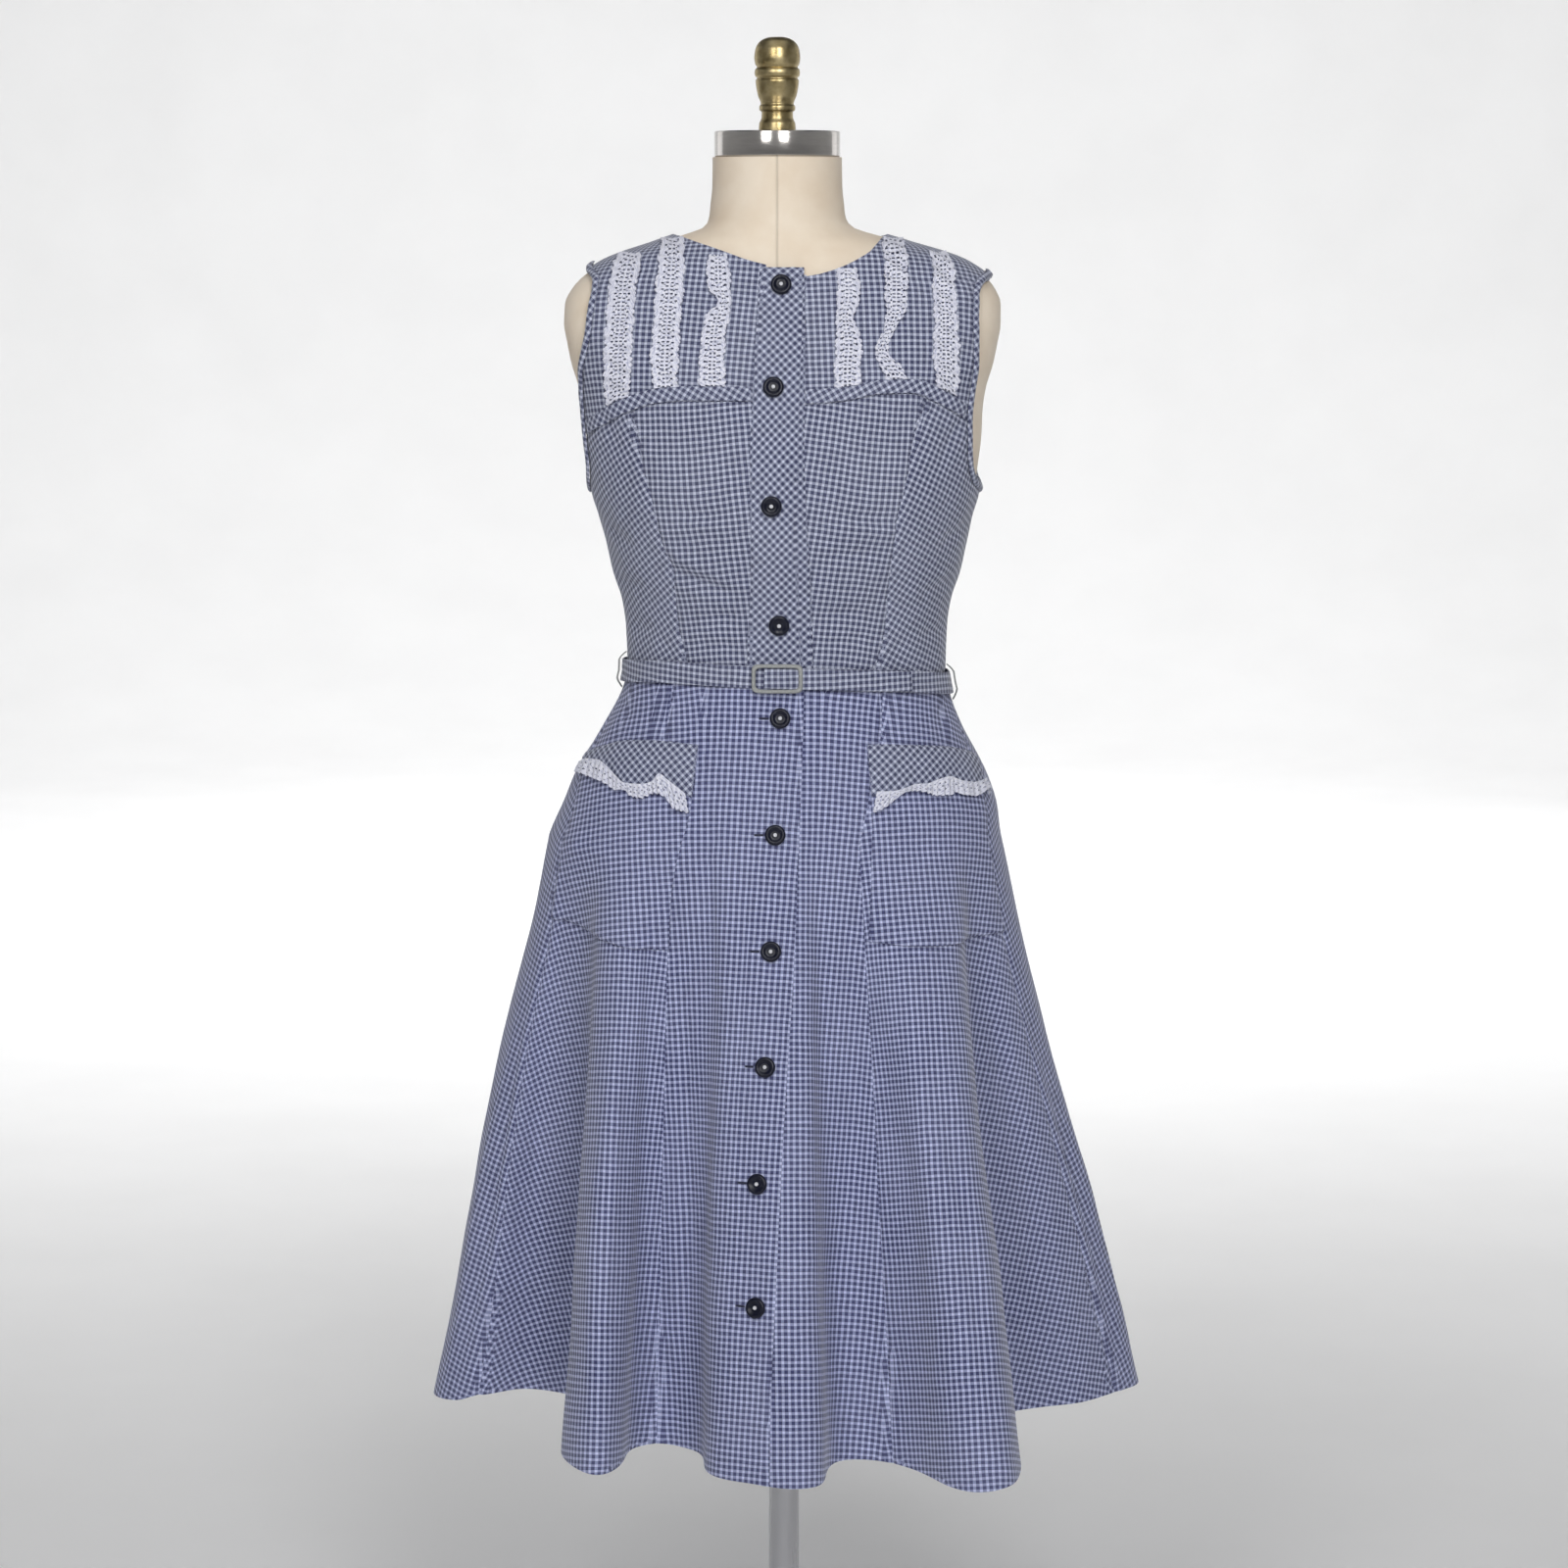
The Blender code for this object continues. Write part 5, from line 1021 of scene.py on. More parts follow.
def make_side_front(word, side):
    """Side front of the bodice: waist to yoke seam and armhole, princess seam to side seam."""
    corner_angle, corner_level = seam_corner(side)
    turn = seam_turn(side)
    path = edged(0.150, 0.0042)
    along_seam = turn + (corner_angle - turn) * np.minimum(path * 3, 1.0)
    knots = np.array([1 / 3, 0.5, 2 / 3, 5 / 6, 1.0])
    drops = np.array([corner_level, corner_level - 0.018, 1.236, 1.2235, ARMPIT])
    hole = np.interp(path, knots, drops)
    on_seam = path <= 1 / 3
    tops = np.where(on_seam, seam_height(along_seam, side), hole)
    top_angles = np.where(on_seam, along_seam, side * armhole_angle(hole, side))
    base = princess_angle(tops, side)
    rise = edged(0.245, 0.0042)[:, None]
    share = path + ((top_angles - base) / (side * 90.0 - base) - path) * rise
    levels = WAIST + (tops - WAIST) * rise
    inner = princess_angle(levels, side)
    angles = inner + (side * 90.0 - inner) * share
    cloth(f"bodice_side_{word}", lambda lift: bodice_point(angles, levels, lift), CHECKED,
          "checked_cotton", grain=20.0, dips="azlr")


def make_back(word, side):
    """Back of the bodice: level rows from waist to shoulder, centre back to side, armhole or shoulder."""
    levels = finer(BACK_LEVELS, 0.0052)
    share = edged(0.150, 0.0046)
    rows = []
    for level in levels:
        inner = 180.0 - float(neck_angle(level, 0)) if level > NECKLINE_BACK else 180.0
        outer = 90.0
        if ARMPIT < level < SHOULDER_END[side]:
            outer = 180.0 - float(armhole_angle(level, side, back=True))
        rows.append(side * (inner + (outer - inner) * share))
    angles = np.array(rows)
    cloth(f"bodice_back_{word}", lambda lift: bodice_point(angles, levels[:, None], lift), CHECKED,
          "checked_cotton", dips="alr")


def make_band(node, under):
    """Bias band down the bodice front: the over band lies a layer out, the under band beside the panels."""
    top = NECKLINE[0, 0] if under else NECKLINE_FRONT
    levels = WAIST + (top - WAIST) * edged(0.360, 0.0042)[:, None]
    first = column(BAND, 1, levels) + (BAND_TUCK + 0.003 if under else 0.0)
    last = column(BAND, 3 if under else 2, levels)
    across = first + (last - first) * edged(0.044, 0.004)
    angles = bodice_angle(across, levels)
    layer = 0.0 if under else LAYER
    cloth(node, lambda lift: bodice_point(angles, levels, layer + lift), BIAS, "checked_cotton_bias",
          grain=GRAIN_BIAS, dips="lrz", dip=0.0009,
          reach=0.0015)


def make_yoke_band(word, side):
    """Bias strip along the yoke seam, on the yoke, from the front band nearly to the armhole binding."""
    start_x = column(BAND, 1, 1.30) - 0.0012 if side < 0 else column(BAND, 3, 1.30) + 0.0006
    start = float(bodice_angle(start_x, 1.30))
    angles = start + (seam_corner(side)[0] - side * 5.0 - start) * edged(0.120, 0.0036)
    heights = seam_height(angles, side) + 0.0006 + YOKE_BAND_WIDTH * even(13)[:, None]
    cloth(f"yoke_band_{word}", lambda lift: bodice_point(angles, heights, BAND_LIFT + lift), BIAS,
          "checked_cotton_bias", grain=GRAIN_BIAS, dips="azlr", dip=0.0008,
          reach=0.0014)


def make_binding(word, side):
    """Bias binding round the armhole: a closed strip that rolls over the cloth's edge and back along it."""
    top = SHOULDER_END[side]
    heights = finer(np.concatenate([[top, top - 0.0015, top - 0.004], BINDING_LEVELS]), 0.0036)
    front = side * armhole_angle(heights, side)
    back = side * (180.0 - armhole_angle(heights, side, back=True))
    angles = np.concatenate([front, [side * 90.0], back[:0:-1]])
    levels = np.concatenate([heights, [ARMPIT], heights[:0:-1]])
    edge = bodice_point(angles, levels, BINDING_LIFT)
    normal = bodice_point(angles, levels, BINDING_LIFT + 0.001) - edge
    normal /= np.linalg.norm(normal, axis=-1, keepdims=True)
    inward = np.cross(normal, np.roll(edge, -1, axis=0) - np.roll(edge, 1, axis=0))
    inward /= np.linalg.norm(inward, axis=-1, keepdims=True)
    if ((edge - edge.mean(axis=0)) * inward).sum() < 0:
        inward = -inward
    inward = sum(np.roll(inward, step, axis=0) for step in range(-4, 5))
    inward /= np.linalg.norm(inward, axis=-1, keepdims=True)
    across = np.array([0.0, 0.0002, 0.0006, 0.0012, 0.0020, 0.0030, 0.0042, 0.0054, 0.0063, BINDING_WIDTH])
    roll = 0.0005 * np.sin(math.pi * across / BINDING_WIDTH) - 0.0024 * np.exp(-((across / 0.0009) ** 2))
    roll = roll - 0.0010 * np.exp(-(((BINDING_WIDTH - across) / 0.0010) ** 2))

    def surface(lift):
        return edge + inward * across[:, None, None] + normal * (roll[:, None] + lift)[..., None]

    cloth(f"armhole_binding_{word}", surface, BIAS, "checked_cotton_bias", grain=GRAIN_BIAS,
          wall=BINDING * 0.7, closed=True)


# The skirt and its pockets


def make_skirt_panel(node, first_angle, last_angle, step):
    """Skirt panel between two seams, on level rows."""
    first, last = hem_place(first_angle), hem_place(last_angle)
    places = first + (last - first) * edged(last - first, step)
    levels = SKIRT_LEVELS[0] + (HEM - SKIRT_LEVELS[0]) * edged(0.676, 0.0078)[:, None]
    cloth(node, lambda lift: skirt_point(places, levels, lift), CHECKED_SKIRT_PAINTED_BLUE_LIGHT, "checked_cotton",
          grain=SKIRT_GRAIN.get(node, 0.0), dips="lra")


def front_edge_place(levels, shift=0.0):
    """Place along the hem of the skirt's front edge at each height, shifted across."""
    return skirt_place(column(FRONT_EDGE, 1, levels) + shift, levels, hem_place(-24.0), hem_place(16.0))


def make_skirt_front(word, side):
    """Front skirt panel: the right one laps over the left one and rises a layer where they meet."""
    levels = SKIRT_LEVELS[0] + (HEM - SKIRT_LEVELS[0]) * edged(0.676, 0.0078)
    edge, start = front_edge_place(levels), front_edge_place(levels, -OVERLAP)
    lap = even(5)[:-1] * 0.84
    lap = np.concatenate([lap, 0.84 + 0.16 * np.array([0.0, 0.35, 0.6, 0.8, 0.93, 1.0])])
    shared = start[:, None] + (edge - start)[:, None] * lap
    share = edged(0.115, 0.0055)
    if side < 0:
        seam = hem_place(SEAM_FRONT_RIGHT)
        free = seam + (start - seam)[:, None] * share
        places = np.concatenate([free[:, :-1], shared], axis=1)
        layer = LAYER * np.concatenate([ramp(share[:-1], 0.45, 0.90), np.ones(shared.shape[1])])
    else:
        seam = hem_place(SEAM_FRONT_LEFT)
        free = edge[:, None] + (seam - edge)[:, None] * share
        places = np.concatenate([shared[:, :-1], free], axis=1)
        layer = np.zeros(places.shape[1])
    node = f"skirt_front_{word}"
    cloth(node, lambda lift: skirt_point(places, levels[:, None], layer + lift), CHECKED_SKIRT_PAINTED_BLUE_LIGHT,
          "checked_cotton", grain=SKIRT_GRAIN.get(node, 0.0),
          dips="lra")


def pocket_place(side, heights, share):
    """Places of a pocket's points, from the side seam at share 0 to the inner edge at share 1."""
    levels = np.linspace(0.805, 1.000, 50)
    low, high = (hem_place(-40.0), hem_place(-5.0)) if side < 0 else (hem_place(5.0), hem_place(35.0))
    edge = skirt_place(side * column(POCKET_EDGE, 1 if side < 0 else 2, levels), levels, low, high)
    seam = hem_place(SEAM_SIDE_RIGHT if side < 0 else SEAM_SIDE_LEFT)
    return seam + (np.interp(heights, levels, edge) - seam) * share


def pocket_edge(side, index, share):
    """Height at which each of the pocket's upright lines crosses one of its edges."""
    table = POCKET_RIGHT if side < 0 else POCKET_LEFT
    heights = np.full(share.shape, 0.95)
    for _ in range(7):
        across = np.abs(skirt_base(pocket_place(side, heights, share), heights)[..., 0])
        heights = column(table, index, across)
    return heights


def make_pocket(word, side):
    """Patch pocket lying over the princess seam, its side edge in the side seam, its top under the cuff."""
    share = edged(0.150, 0.0045)
    top, bottom = pocket_edge(side, 1, share), pocket_edge(side, 3, share)
    heights = top + (bottom - top) * edged(0.170, 0.0052)[:, None]
    places = pocket_place(side, heights, share)
    bulge = 0.0016 * np.sin(math.pi * share) ** 0.7 * ramp(even(len(heights)), 0.0, 0.35)[:, None]
    cloth(f"pocket_{word}", lambda lift: skirt_point(places, heights, POCKET_LIFT + bulge + lift),
          CHECKED_SKIRT_PAINTED_BLUE_LIGHT, "checked_cotton", grain=POCKET_GRAIN[side],
          dips="zlr", dip=0.0012, reach=0.0016)


def make_cuff(word, side):
    """Turned-down bias cuff of the pocket, deep at the inner edge and shallow at the side."""
    share = edged(0.150, 0.0040)
    top, bottom = pocket_edge(side, 1, share), pocket_edge(side, 2, share)
    down = edged(0.036, 0.003)[:, None]
    heights = top + 0.0006 + (np.minimum(bottom, top - 0.003) - top) * down
    places = pocket_place(side, heights, share)
    bulge = 0.0014 * np.sin(math.pi * down)
    layer = POCKET_LIFT + LAYER + bulge
    cloth(f"pocket_cuff_{word}", lambda lift: skirt_point(places, heights, layer + lift), BIAS,
          "checked_cotton_bias", grain=GRAIN_BIAS, dips="azlr",
          dip=0.0011, reach=0.0016)


def gathered_holes(rows, columns, cell, pitch):
    """Kept cells of gathered lace: a scalloped lower edge, and small eyelets in rows that step sideways."""
    over, down = np.meshgrid((np.arange(columns - 1) + 0.5) * cell, (np.arange(rows - 1) + 0.5) * cell)
    tall = (rows - 1) * cell
    scallop = 0.0016 * (1 - np.abs(np.sin(math.pi * over / pitch)))
    row = np.floor(down / (pitch * 0.62))
    across = (over / pitch + 0.5 * (row % 2)) % 1.0 - 0.5
    up = (down / (pitch * 0.62)) % 1.0 - 0.5
    eyelet = (across * pitch) ** 2 + (up * pitch * 0.62) ** 2 < 0.00075 ** 2
    eyelet &= (down > 0.0022) & (down < tall - 0.0028)
    return (down < tall - scallop) & ~eyelet


def make_ruffle(word, side):
    """Gathered lace under the cuff: an uneven band whose lower edge waves off the cloth as raised cosines."""
    table = RUFFLE_RIGHT if side < 0 else RUFFLE_LEFT
    across = np.linspace(table[0, 0] + 0.0005, table[-1, 0], 190)
    upper, lower = column(table, 1, across), column(table, 2, across)
    low, high = (SEAM_SIDE_RIGHT, -5.0) if side < 0 else (5.0, SEAM_SIDE_LEFT)
    places = skirt_place(side * across, (upper + lower) / 2, hem_place(low), hem_place(high))
    down = even(27)[:, None]
    heights = upper + (lower - upper) * down
    turn = math.tau * even(len(across))
    ripple = 0.0011 * (1 - np.cos(23 * turn + 0.8 * np.sin(3 * turn)))
    wave = RUFFLE_LIFT * 0.5 * (1 - np.cos(6 * turn)) + ripple
    layer = POCKET_LIFT + 2 * LAYER - RUFFLE_SINK + 0.0004 + wave * (0.25 + 0.75 * down)
    keep = gathered_holes(27, 190, 0.0006, 0.0046)
    cloth(f"pocket_lace_{word}", lambda lift: skirt_point(places, heights, layer + lift), LACE_WHITE,
          "cotton_lace", wall=0.0004, keep=keep)


def strip_holes(rows, columns, long, wide, seed):
    """Kept cells of a lace strip: a solid spine with a ladder of slits on either side, then a net of eyelets
    set in diamonds, and wavy edges cut in by an absolute sine."""
    up, over = np.meshgrid((np.arange(rows - 1) + 0.5) / (rows - 1) * long, even(columns)[1:], indexing="ij")
    off = np.abs(over - 0.5 - 0.5 / (columns - 1)) * wide
    pitch = 0.0034
    beat = (up / pitch) % 1.0
    slit = (off > 0.0009) & (off < 0.0031) & (beat < 0.40)
    diamond_over = (off - 0.0060) / 0.0021
    diamond_up = ((up + seed * 0.0011) / 0.0051) % 1.0 - 0.5
    eyelet = diamond_over ** 2 + (diamond_up * 5.1 / 1.35) ** 2 < 0.42
    speck_up = ((up + 0.0025) / 0.0051) % 1.0 - 0.5
    speck = ((off - 0.0042) / 0.0009) ** 2 + (speck_up * 5.1 / 0.8) ** 2 < 0.6
    ragged = 0.0007 * np.sin(up * 310.0 + 2.0 * seed + 3.0 * over) + 0.0005 * np.sin(up * 730.0 + seed)
    edge = wide / 2 - 0.0004 - 0.0016 * (1 - np.abs(np.sin(math.pi * up / 0.0051 + seed))) - ragged
    return (off < edge) & ~slit & ~eyelet & ~speck


def make_lace_strip(node, table, number):
    """Lace strip down the yoke, its edges from its table, its foot at the yoke band, its face frilled."""
    table = table[::-1]
    side = 1 if table[0, 1] > 0 else -1
    rows, columns = 190, 33
    levels = np.linspace(table[0, 0], table[-1, 0], rows)
    share = even(columns)
    first, last = column(table, 1, levels), column(table, 2, levels)
    across = first[:, None] + (last - first)[:, None] * share
    foot = seam_height(bodice_angle(across[0], levels[0]), side) + YOKE_BAND_WIDTH + 0.0004
    nearness = ((levels[-1] - levels) / (levels[-1] - levels[0]))[:, None] ** 6
    heights = levels[:, None] + (foot - levels[0]) * nearness
    turn = math.pi * even(rows)[:, None]
    frill = 1.5 * FRILL * (0.5 - 0.5 * np.cos(15 * turn + math.tau * share + 0.7 * np.sin(4 * turn + number)))
    flare = np.abs(share - 0.5) * 2
    frill = frill + 0.0011 * (0.6 + np.sin(37 * turn + 4.0 * share + number)) * flare ** 2
    angles = bodice_angle(across, heights)
    long, wide = float(levels[-1] - levels[0]) * 1.02, float((last - first).mean()) * 1.05
    keep = strip_holes(rows, columns, long, wide, number)
    cloth(node, lambda lift: bodice_point(angles, heights, LAYER + 0.0002 + frill + lift), LACE_WHITE,
          "cotton_lace", wall=0.0004,
          keep=keep)


# The belt


def dress_point(angle, height, lift):
    """Point off the dress at the waist: the bodice above the seam and the skirt's hips below it."""
    upper = bodice_point(angle, np.maximum(height, WAIST), lift)
    lower = section_point(HIPS, angle, np.minimum(height, WAIST), lift)
    return np.where((np.asarray(height) >= WAIST)[..., None], upper, lower)


def belt_heights(angles, share):
    """Heights across a strip on the belt's line: share runs from -1, its lower edge, to 1, its upper edge."""
    middle = monotone(BELT_LINE[:, 0], BELT_LINE[:, 1], angles)
    return middle + 0.5 * BELT_WIDTH * np.asarray(share)[:, None]


def make_belt():
    """Self-fabric belt: a closed strip round the waist, slightly crowned, with a groove by each edge."""
    angles = np.linspace(-180.0, 180.0, 221)[:-1]
    share = 2 * edged(0.0205, 0.0042) - 1
    heights = belt_heights(angles, share)
    wave = 0.0004 * np.sin(np.radians(angles) * 11) + 0.0003 * np.sin(np.radians(angles) * 29 + 1.0)
    layer = BELT_CLEAR + BELT + wave - 0.0005 * np.abs(share[:, None]) ** 8
    layer = layer - 0.0003 * np.exp(-(((np.abs(share[:, None]) - 0.80) / 0.06) ** 2))
    cloth("belt", lambda lift: dress_point(angles, heights, layer + lift), CHECKED, "checked_cotton",
          grain=BELT_GRAIN, wall=0.0012,
          closed=True)


def make_belt_end():
    """Free end of the belt lying on the belt beyond the buckle; it stands off a little towards its tip."""
    angles = np.linspace(*BELT_END, 60)
    share = 2 * edged(0.0205, 0.0042) - 1
    heights = belt_heights(angles, 0.94 * share)
    tip = 0.0016 * ramp(angles, 30.0, 47.0)
    layer = BELT_CLEAR + 2 * BELT + 0.0005 + tip - 0.0005 * np.abs(share[:, None]) ** 8
    layer = layer - 0.0003 * np.exp(-(((np.abs(share[:, None]) - 0.80) / 0.06) ** 2))
    cloth("belt_end", lambda lift: dress_point(angles, heights, layer + lift), CHECKED, "checked_cotton",
          grain=BELT_GRAIN, wall=0.0012, dips="r", dip=0.0006, reach=0.0012)


def make_buckle():
    """Cloth-covered buckle: a half-round bar carried along a superellipse that bends with the belt."""
    turns, ring = 120, 14
    turn = (np.arange(turns) + 0.5) * math.tau / turns
    wide = np.sign(np.cos(turn)) * np.abs(np.cos(turn)) ** (2 / 7)
    tall = np.sign(np.sin(turn)) * np.abs(np.sin(turn)) ** (2 / 7)
    middle = float(np.interp(bodice_angle(BUCKLE_X, WAIST), BELT_LINE[:, 0], BELT_LINE[:, 1]))
    back = BELT_CLEAR + 2 * BELT + 0.0014
    around = math.tau * np.arange(ring) / ring
    inset = 0.5 - 0.5 * np.cos(around)
    lift = np.where(np.sin(around) > 0, 0.0030 * np.sin(around), 0.0008 * np.sin(around)) + 0.0008
    rows = []
    for step in range(ring):
        x = BUCKLE_X + (BUCKLE_WIDTH / 2 - inset[step] * BUCKLE_BAR) * wide
        row = bodice_point(bodice_angle(x, np.full(turns, WAIST)), np.full(turns, middle), back + lift[step])
        row[:, 2] = middle + (BUCKLE_HEIGHT / 2 - inset[step] * BUCKLE_BAR) * tall
        rows.append(row)
    tube("belt_buckle_cover", np.array(rows), COVERED, ["belt_buckle"], "checked_cotton")


def make_loop(word, side):
    """Belt loop at the side seam: a narrow strip that arches over the belt."""
    middle = float(np.interp(side * 90.0, BELT_LINE[:, 0], BELT_LINE[:, 1]))
    rise = np.linspace(-1.0, 1.0, 45)
    arch = np.clip(1.2 * (1.0 - np.abs(rise) ** 3), 0.0, 1.0)
    layer = (LOOP_FOOT + (LOOP_CROWN - LOOP_FOOT) * arch)[:, None]
    heights = (middle + rise * (BELT_WIDTH / 2 + LOOP_MARGIN))[:, None]
    share = even(12) - 0.5
    angles = side * (90.0 + share * LOOP_TURN)
    layer = layer - 0.0006 * np.abs(2 * share) ** 6
    cloth(f"belt_loop_{word}", lambda lift: dress_point(angles, heights, layer + lift), COVERED,
          "checked_cotton", grain=0.0, wall=0.0008)


def tube(name, rows, material, nodes, slot, crisp=50.0):
    """Closed ring of closed rows: each row of points is joined to the next and the last to the first."""
    count, turns = rows.shape[:2]
    index = np.arange(count * turns).reshape(count, turns)
    after, below = np.roll(index, -1, axis=1), np.roll(index, -1, axis=0)
    quads = np.stack([index, after, np.roll(after, -1, axis=0), below], axis=-1).reshape(-1, 4)
    points = rows.reshape(-1, 3)
    a, b, c, d = (points[quads[:, number]] for number in range(4))
    middle = points.mean(axis=0)
    if float((np.cross(c - a, d - b) * ((a + c) / 2 - middle)).sum()) < 0:
        quads = quads[:, ::-1]
    return place_mesh(name, mesh_of(name, points, quads, crisp=crisp), material, nodes, slot)


# Buttons, form and stand


def surface_frame(x, height, lift):
    """Point and outward direction on the dress's front at a place across and a height."""
    if height > WAIST:
        angle = bodice_angle(x, height)
        here, beyond = bodice_point(angle, height, lift), bodice_point(angle, height, lift + 0.01)
    else:
        place = skirt_place(x, height, hem_place(-24.0), hem_place(16.0))[0]
        here, beyond = skirt_point(place, height, lift), skirt_point(place, height, lift + 0.01)
    outward = beyond - here
    return here, outward / np.linalg.norm(outward)


def smooth_outline(profile, step):
    """The turned outline with more points, radius and height each a monotone cubic of the length along it."""
    profile = np.array(profile, dtype=float)
    run = np.concatenate([[0.0], np.cumsum(np.linalg.norm(np.diff(profile, axis=0), axis=1))])
    at = finer(run, step)
    return np.stack([monotone(run, profile[:, 0], at), monotone(run, profile[:, 1], at)], axis=-1)


def seal(mesh, crisp):
    """Merges the mesh's doubled points, turns its faces outwards and keeps its sharp edges crisp."""
    shape = bmesh.new()
    shape.from_mesh(mesh)
    bmesh.ops.remove_doubles(shape, verts=shape.verts, dist=1e-6)
    bmesh.ops.recalc_face_normals(shape, faces=shape.faces)
    if shape.calc_volume(signed=True) < 0:
        bmesh.ops.reverse_faces(shape, faces=shape.faces)
    shape.to_mesh(mesh)
    shape.free()
    mesh.set_sharp_from_angle(angle=math.radians(crisp))


def turned(name, outline, segments, material, nodes, slot, place=(0.0, 0.0, 0.0), facing=(0.0, 0.0, 1.0),
           crisp=40.0):
    """Solid of revolution: the outline's radius spun round its axis, its poles merged, stood along facing."""
    turn = math.tau * np.arange(segments) / segments
    outline = np.array(outline, dtype=float)
    ring = np.stack([np.cos(turn), np.sin(turn), np.zeros(segments)], axis=-1)
    grid = outline[:, 0][:, None, None] * ring + np.array([0.0, 0.0, 1.0]) * outline[:, 1][:, None, None]
    index = np.arange(len(outline) * segments).reshape(len(outline), segments)
    after = np.roll(index, -1, axis=1)
    quads = np.stack([index[:-1], after[:-1], after[1:], index[1:]], axis=-1).reshape(-1, 4)
    spin = np.array(Vector((0, 0, 1)).rotation_difference(Vector(facing)).to_matrix())
    points = grid.reshape(-1, 3) @ spin.T + np.array(place)
    mesh = mesh_of(name, points, quads, crisp=crisp)
    seal(mesh, crisp)
    return place_mesh(name, mesh, material, nodes, slot)


# Outlines of a button's body and of the small pale dome at its centre, radius and height
BUTTON_RIM = (
    (0.0000, 0.0000), (0.0078, 0.0000), (0.0088, 0.0008), (0.0091, 0.0018), (0.0089, 0.0028),
    (0.0081, 0.0036), (0.0070, 0.0039), (0.0060, 0.0036), (0.0048, 0.0029), (0.0034, 0.0026),
    (0.0018, 0.0026), (0.0000, 0.0026),
)
BUTTON_CENTRE = (
    (0.0000, 0.0022), (0.0013, 0.0024), (0.0018, 0.0031), (0.0016, 0.0038), (0.0009, 0.0042),
    (0.0000, 0.0043),
)


def make_buttons():
    """Ten glossy buttons with a raised rim, each with a small pale dome at its centre."""
    for number, (x, height) in enumerate(BUTTONS, start=1):
        place, facing = surface_frame(x, height, LAYER + BUTTON_LIFT)
        turned(f"button_{number:02d}_rim", smooth_outline(BUTTON_RIM, 0.0007), 40, NAVY,
               [f"button_{number:02d}"], "navy_button", place, facing)
        turned(f"button_{number:02d}_pale_centre", smooth_outline(BUTTON_CENTRE, 0.0006), 16, PALE_CENTRE, [],
               "cotton_lace", place, facing)


def make_form():
    """Limbless torso and neck: a loft of the body's sections, its two ends drawn in to flat discs."""
    levels = finer(BODY[:, 0], 0.006)
    angles = np.linspace(-180.0, 180.0, 141)[:-1]
    grid = section_point(BODY, angles[None, :], levels[:, None], 0.0)
    ends = []
    for row in (grid[0], grid[-1]):
        ends.append(row.mean(axis=0) + (row - row.mean(axis=0)) * np.array([0.0, 0.5, 0.97])[:, None, None])
    grid = np.concatenate([ends[0], grid, ends[1][::-1]])
    index = np.arange(grid.shape[0] * grid.shape[1]).reshape(grid.shape[:2])
    after = np.roll(index, -1, axis=1)
    quads = np.stack([index[:-1], after[:-1], after[1:], index[1:]], axis=-1).reshape(-1, 4)
    mesh = mesh_of("dress_form_cover", grid.reshape(-1, 3), quads)
    seal(mesh, 50.0)
    place_mesh("dress_form_cover", mesh, LINEN, ["dress_form"], "form_linen")


def make_stand():
    """Neck cap, finial, pole and base."""
    neck_x = float(column(BODY, 5, NECK_TOP))
    neck_y = 0.5 * float(column(BODY, 3, NECK_TOP) - column(BODY, 2, NECK_TOP))
    bend = np.linspace(0.0, math.pi / 2, 5)
    edge = 0.0014
    upper = np.stack([
        CAP_RADIUS - edge + edge * np.cos(bend), CAP_HEIGHT - edge + edge * np.sin(bend),
    ], axis=-1)
    lower = np.stack([CAP_RADIUS - edge + edge * np.sin(bend), edge - edge * np.cos(bend)], axis=-1)
    cap = np.concatenate([[(0.0, 0.0)], lower, upper, [(0.020, CAP_HEIGHT), (0.0, CAP_HEIGHT)]])
    foot = NECK_TOP + TOUCH
    turned("neck_cap_metal", cap, 96, STEEL, ["neck_cap"], "cap_steel", (neck_x, neck_y, foot))
    turned("finial_metal", smooth_outline(FINIAL_PROFILE, 0.0012), 72, BRASS, ["finial"], "finial_brass",
           (neck_x, neck_y, foot + CAP_HEIGHT + TOUCH), crisp=60.0)
    pole_foot, pole_top = HUB_HEIGHT + TOUCH, FORM_BOTTOM - TOUCH
    pole = (
        (0.0, pole_foot), (POLE_RADIUS - 0.001, pole_foot), (POLE_RADIUS, pole_foot + 0.001),
        (POLE_RADIUS, 0.400), (POLE_RADIUS, pole_top - 0.001), (POLE_RADIUS - 0.001, pole_top),
        (0.0, pole_top),
    )
    turned("stand_pole_metal", pole, 64, POLISHED, ["stand_pole"], "pole_steel")
    fillet = np.linspace(0.0, math.pi / 2, 7)
    flare = np.stack([
        HUB_RADIUS + HUB_FILLET * (1 - np.sin(fillet)), BASE_HEIGHT + HUB_FILLET * (1 - np.cos(fillet)),
    ], axis=-1)
    base = np.concatenate([
        [(0.0, 0.0), (BASE_RADIUS - 0.0015, 0.0), (BASE_RADIUS, 0.0015), (BASE_RADIUS, BASE_HEIGHT - 0.002)],
        [(BASE_RADIUS - 0.0008, BASE_HEIGHT - 0.0008), (BASE_RADIUS - 0.0025, BASE_HEIGHT)],
        flare, [(HUB_RADIUS, HUB_HEIGHT - 0.002), (HUB_RADIUS - 0.002, HUB_HEIGHT), (0.0, HUB_HEIGHT)],
    ])
    turned("stand_base_painted", base, 128, PAINT, ["stand_base"], "base_paint")


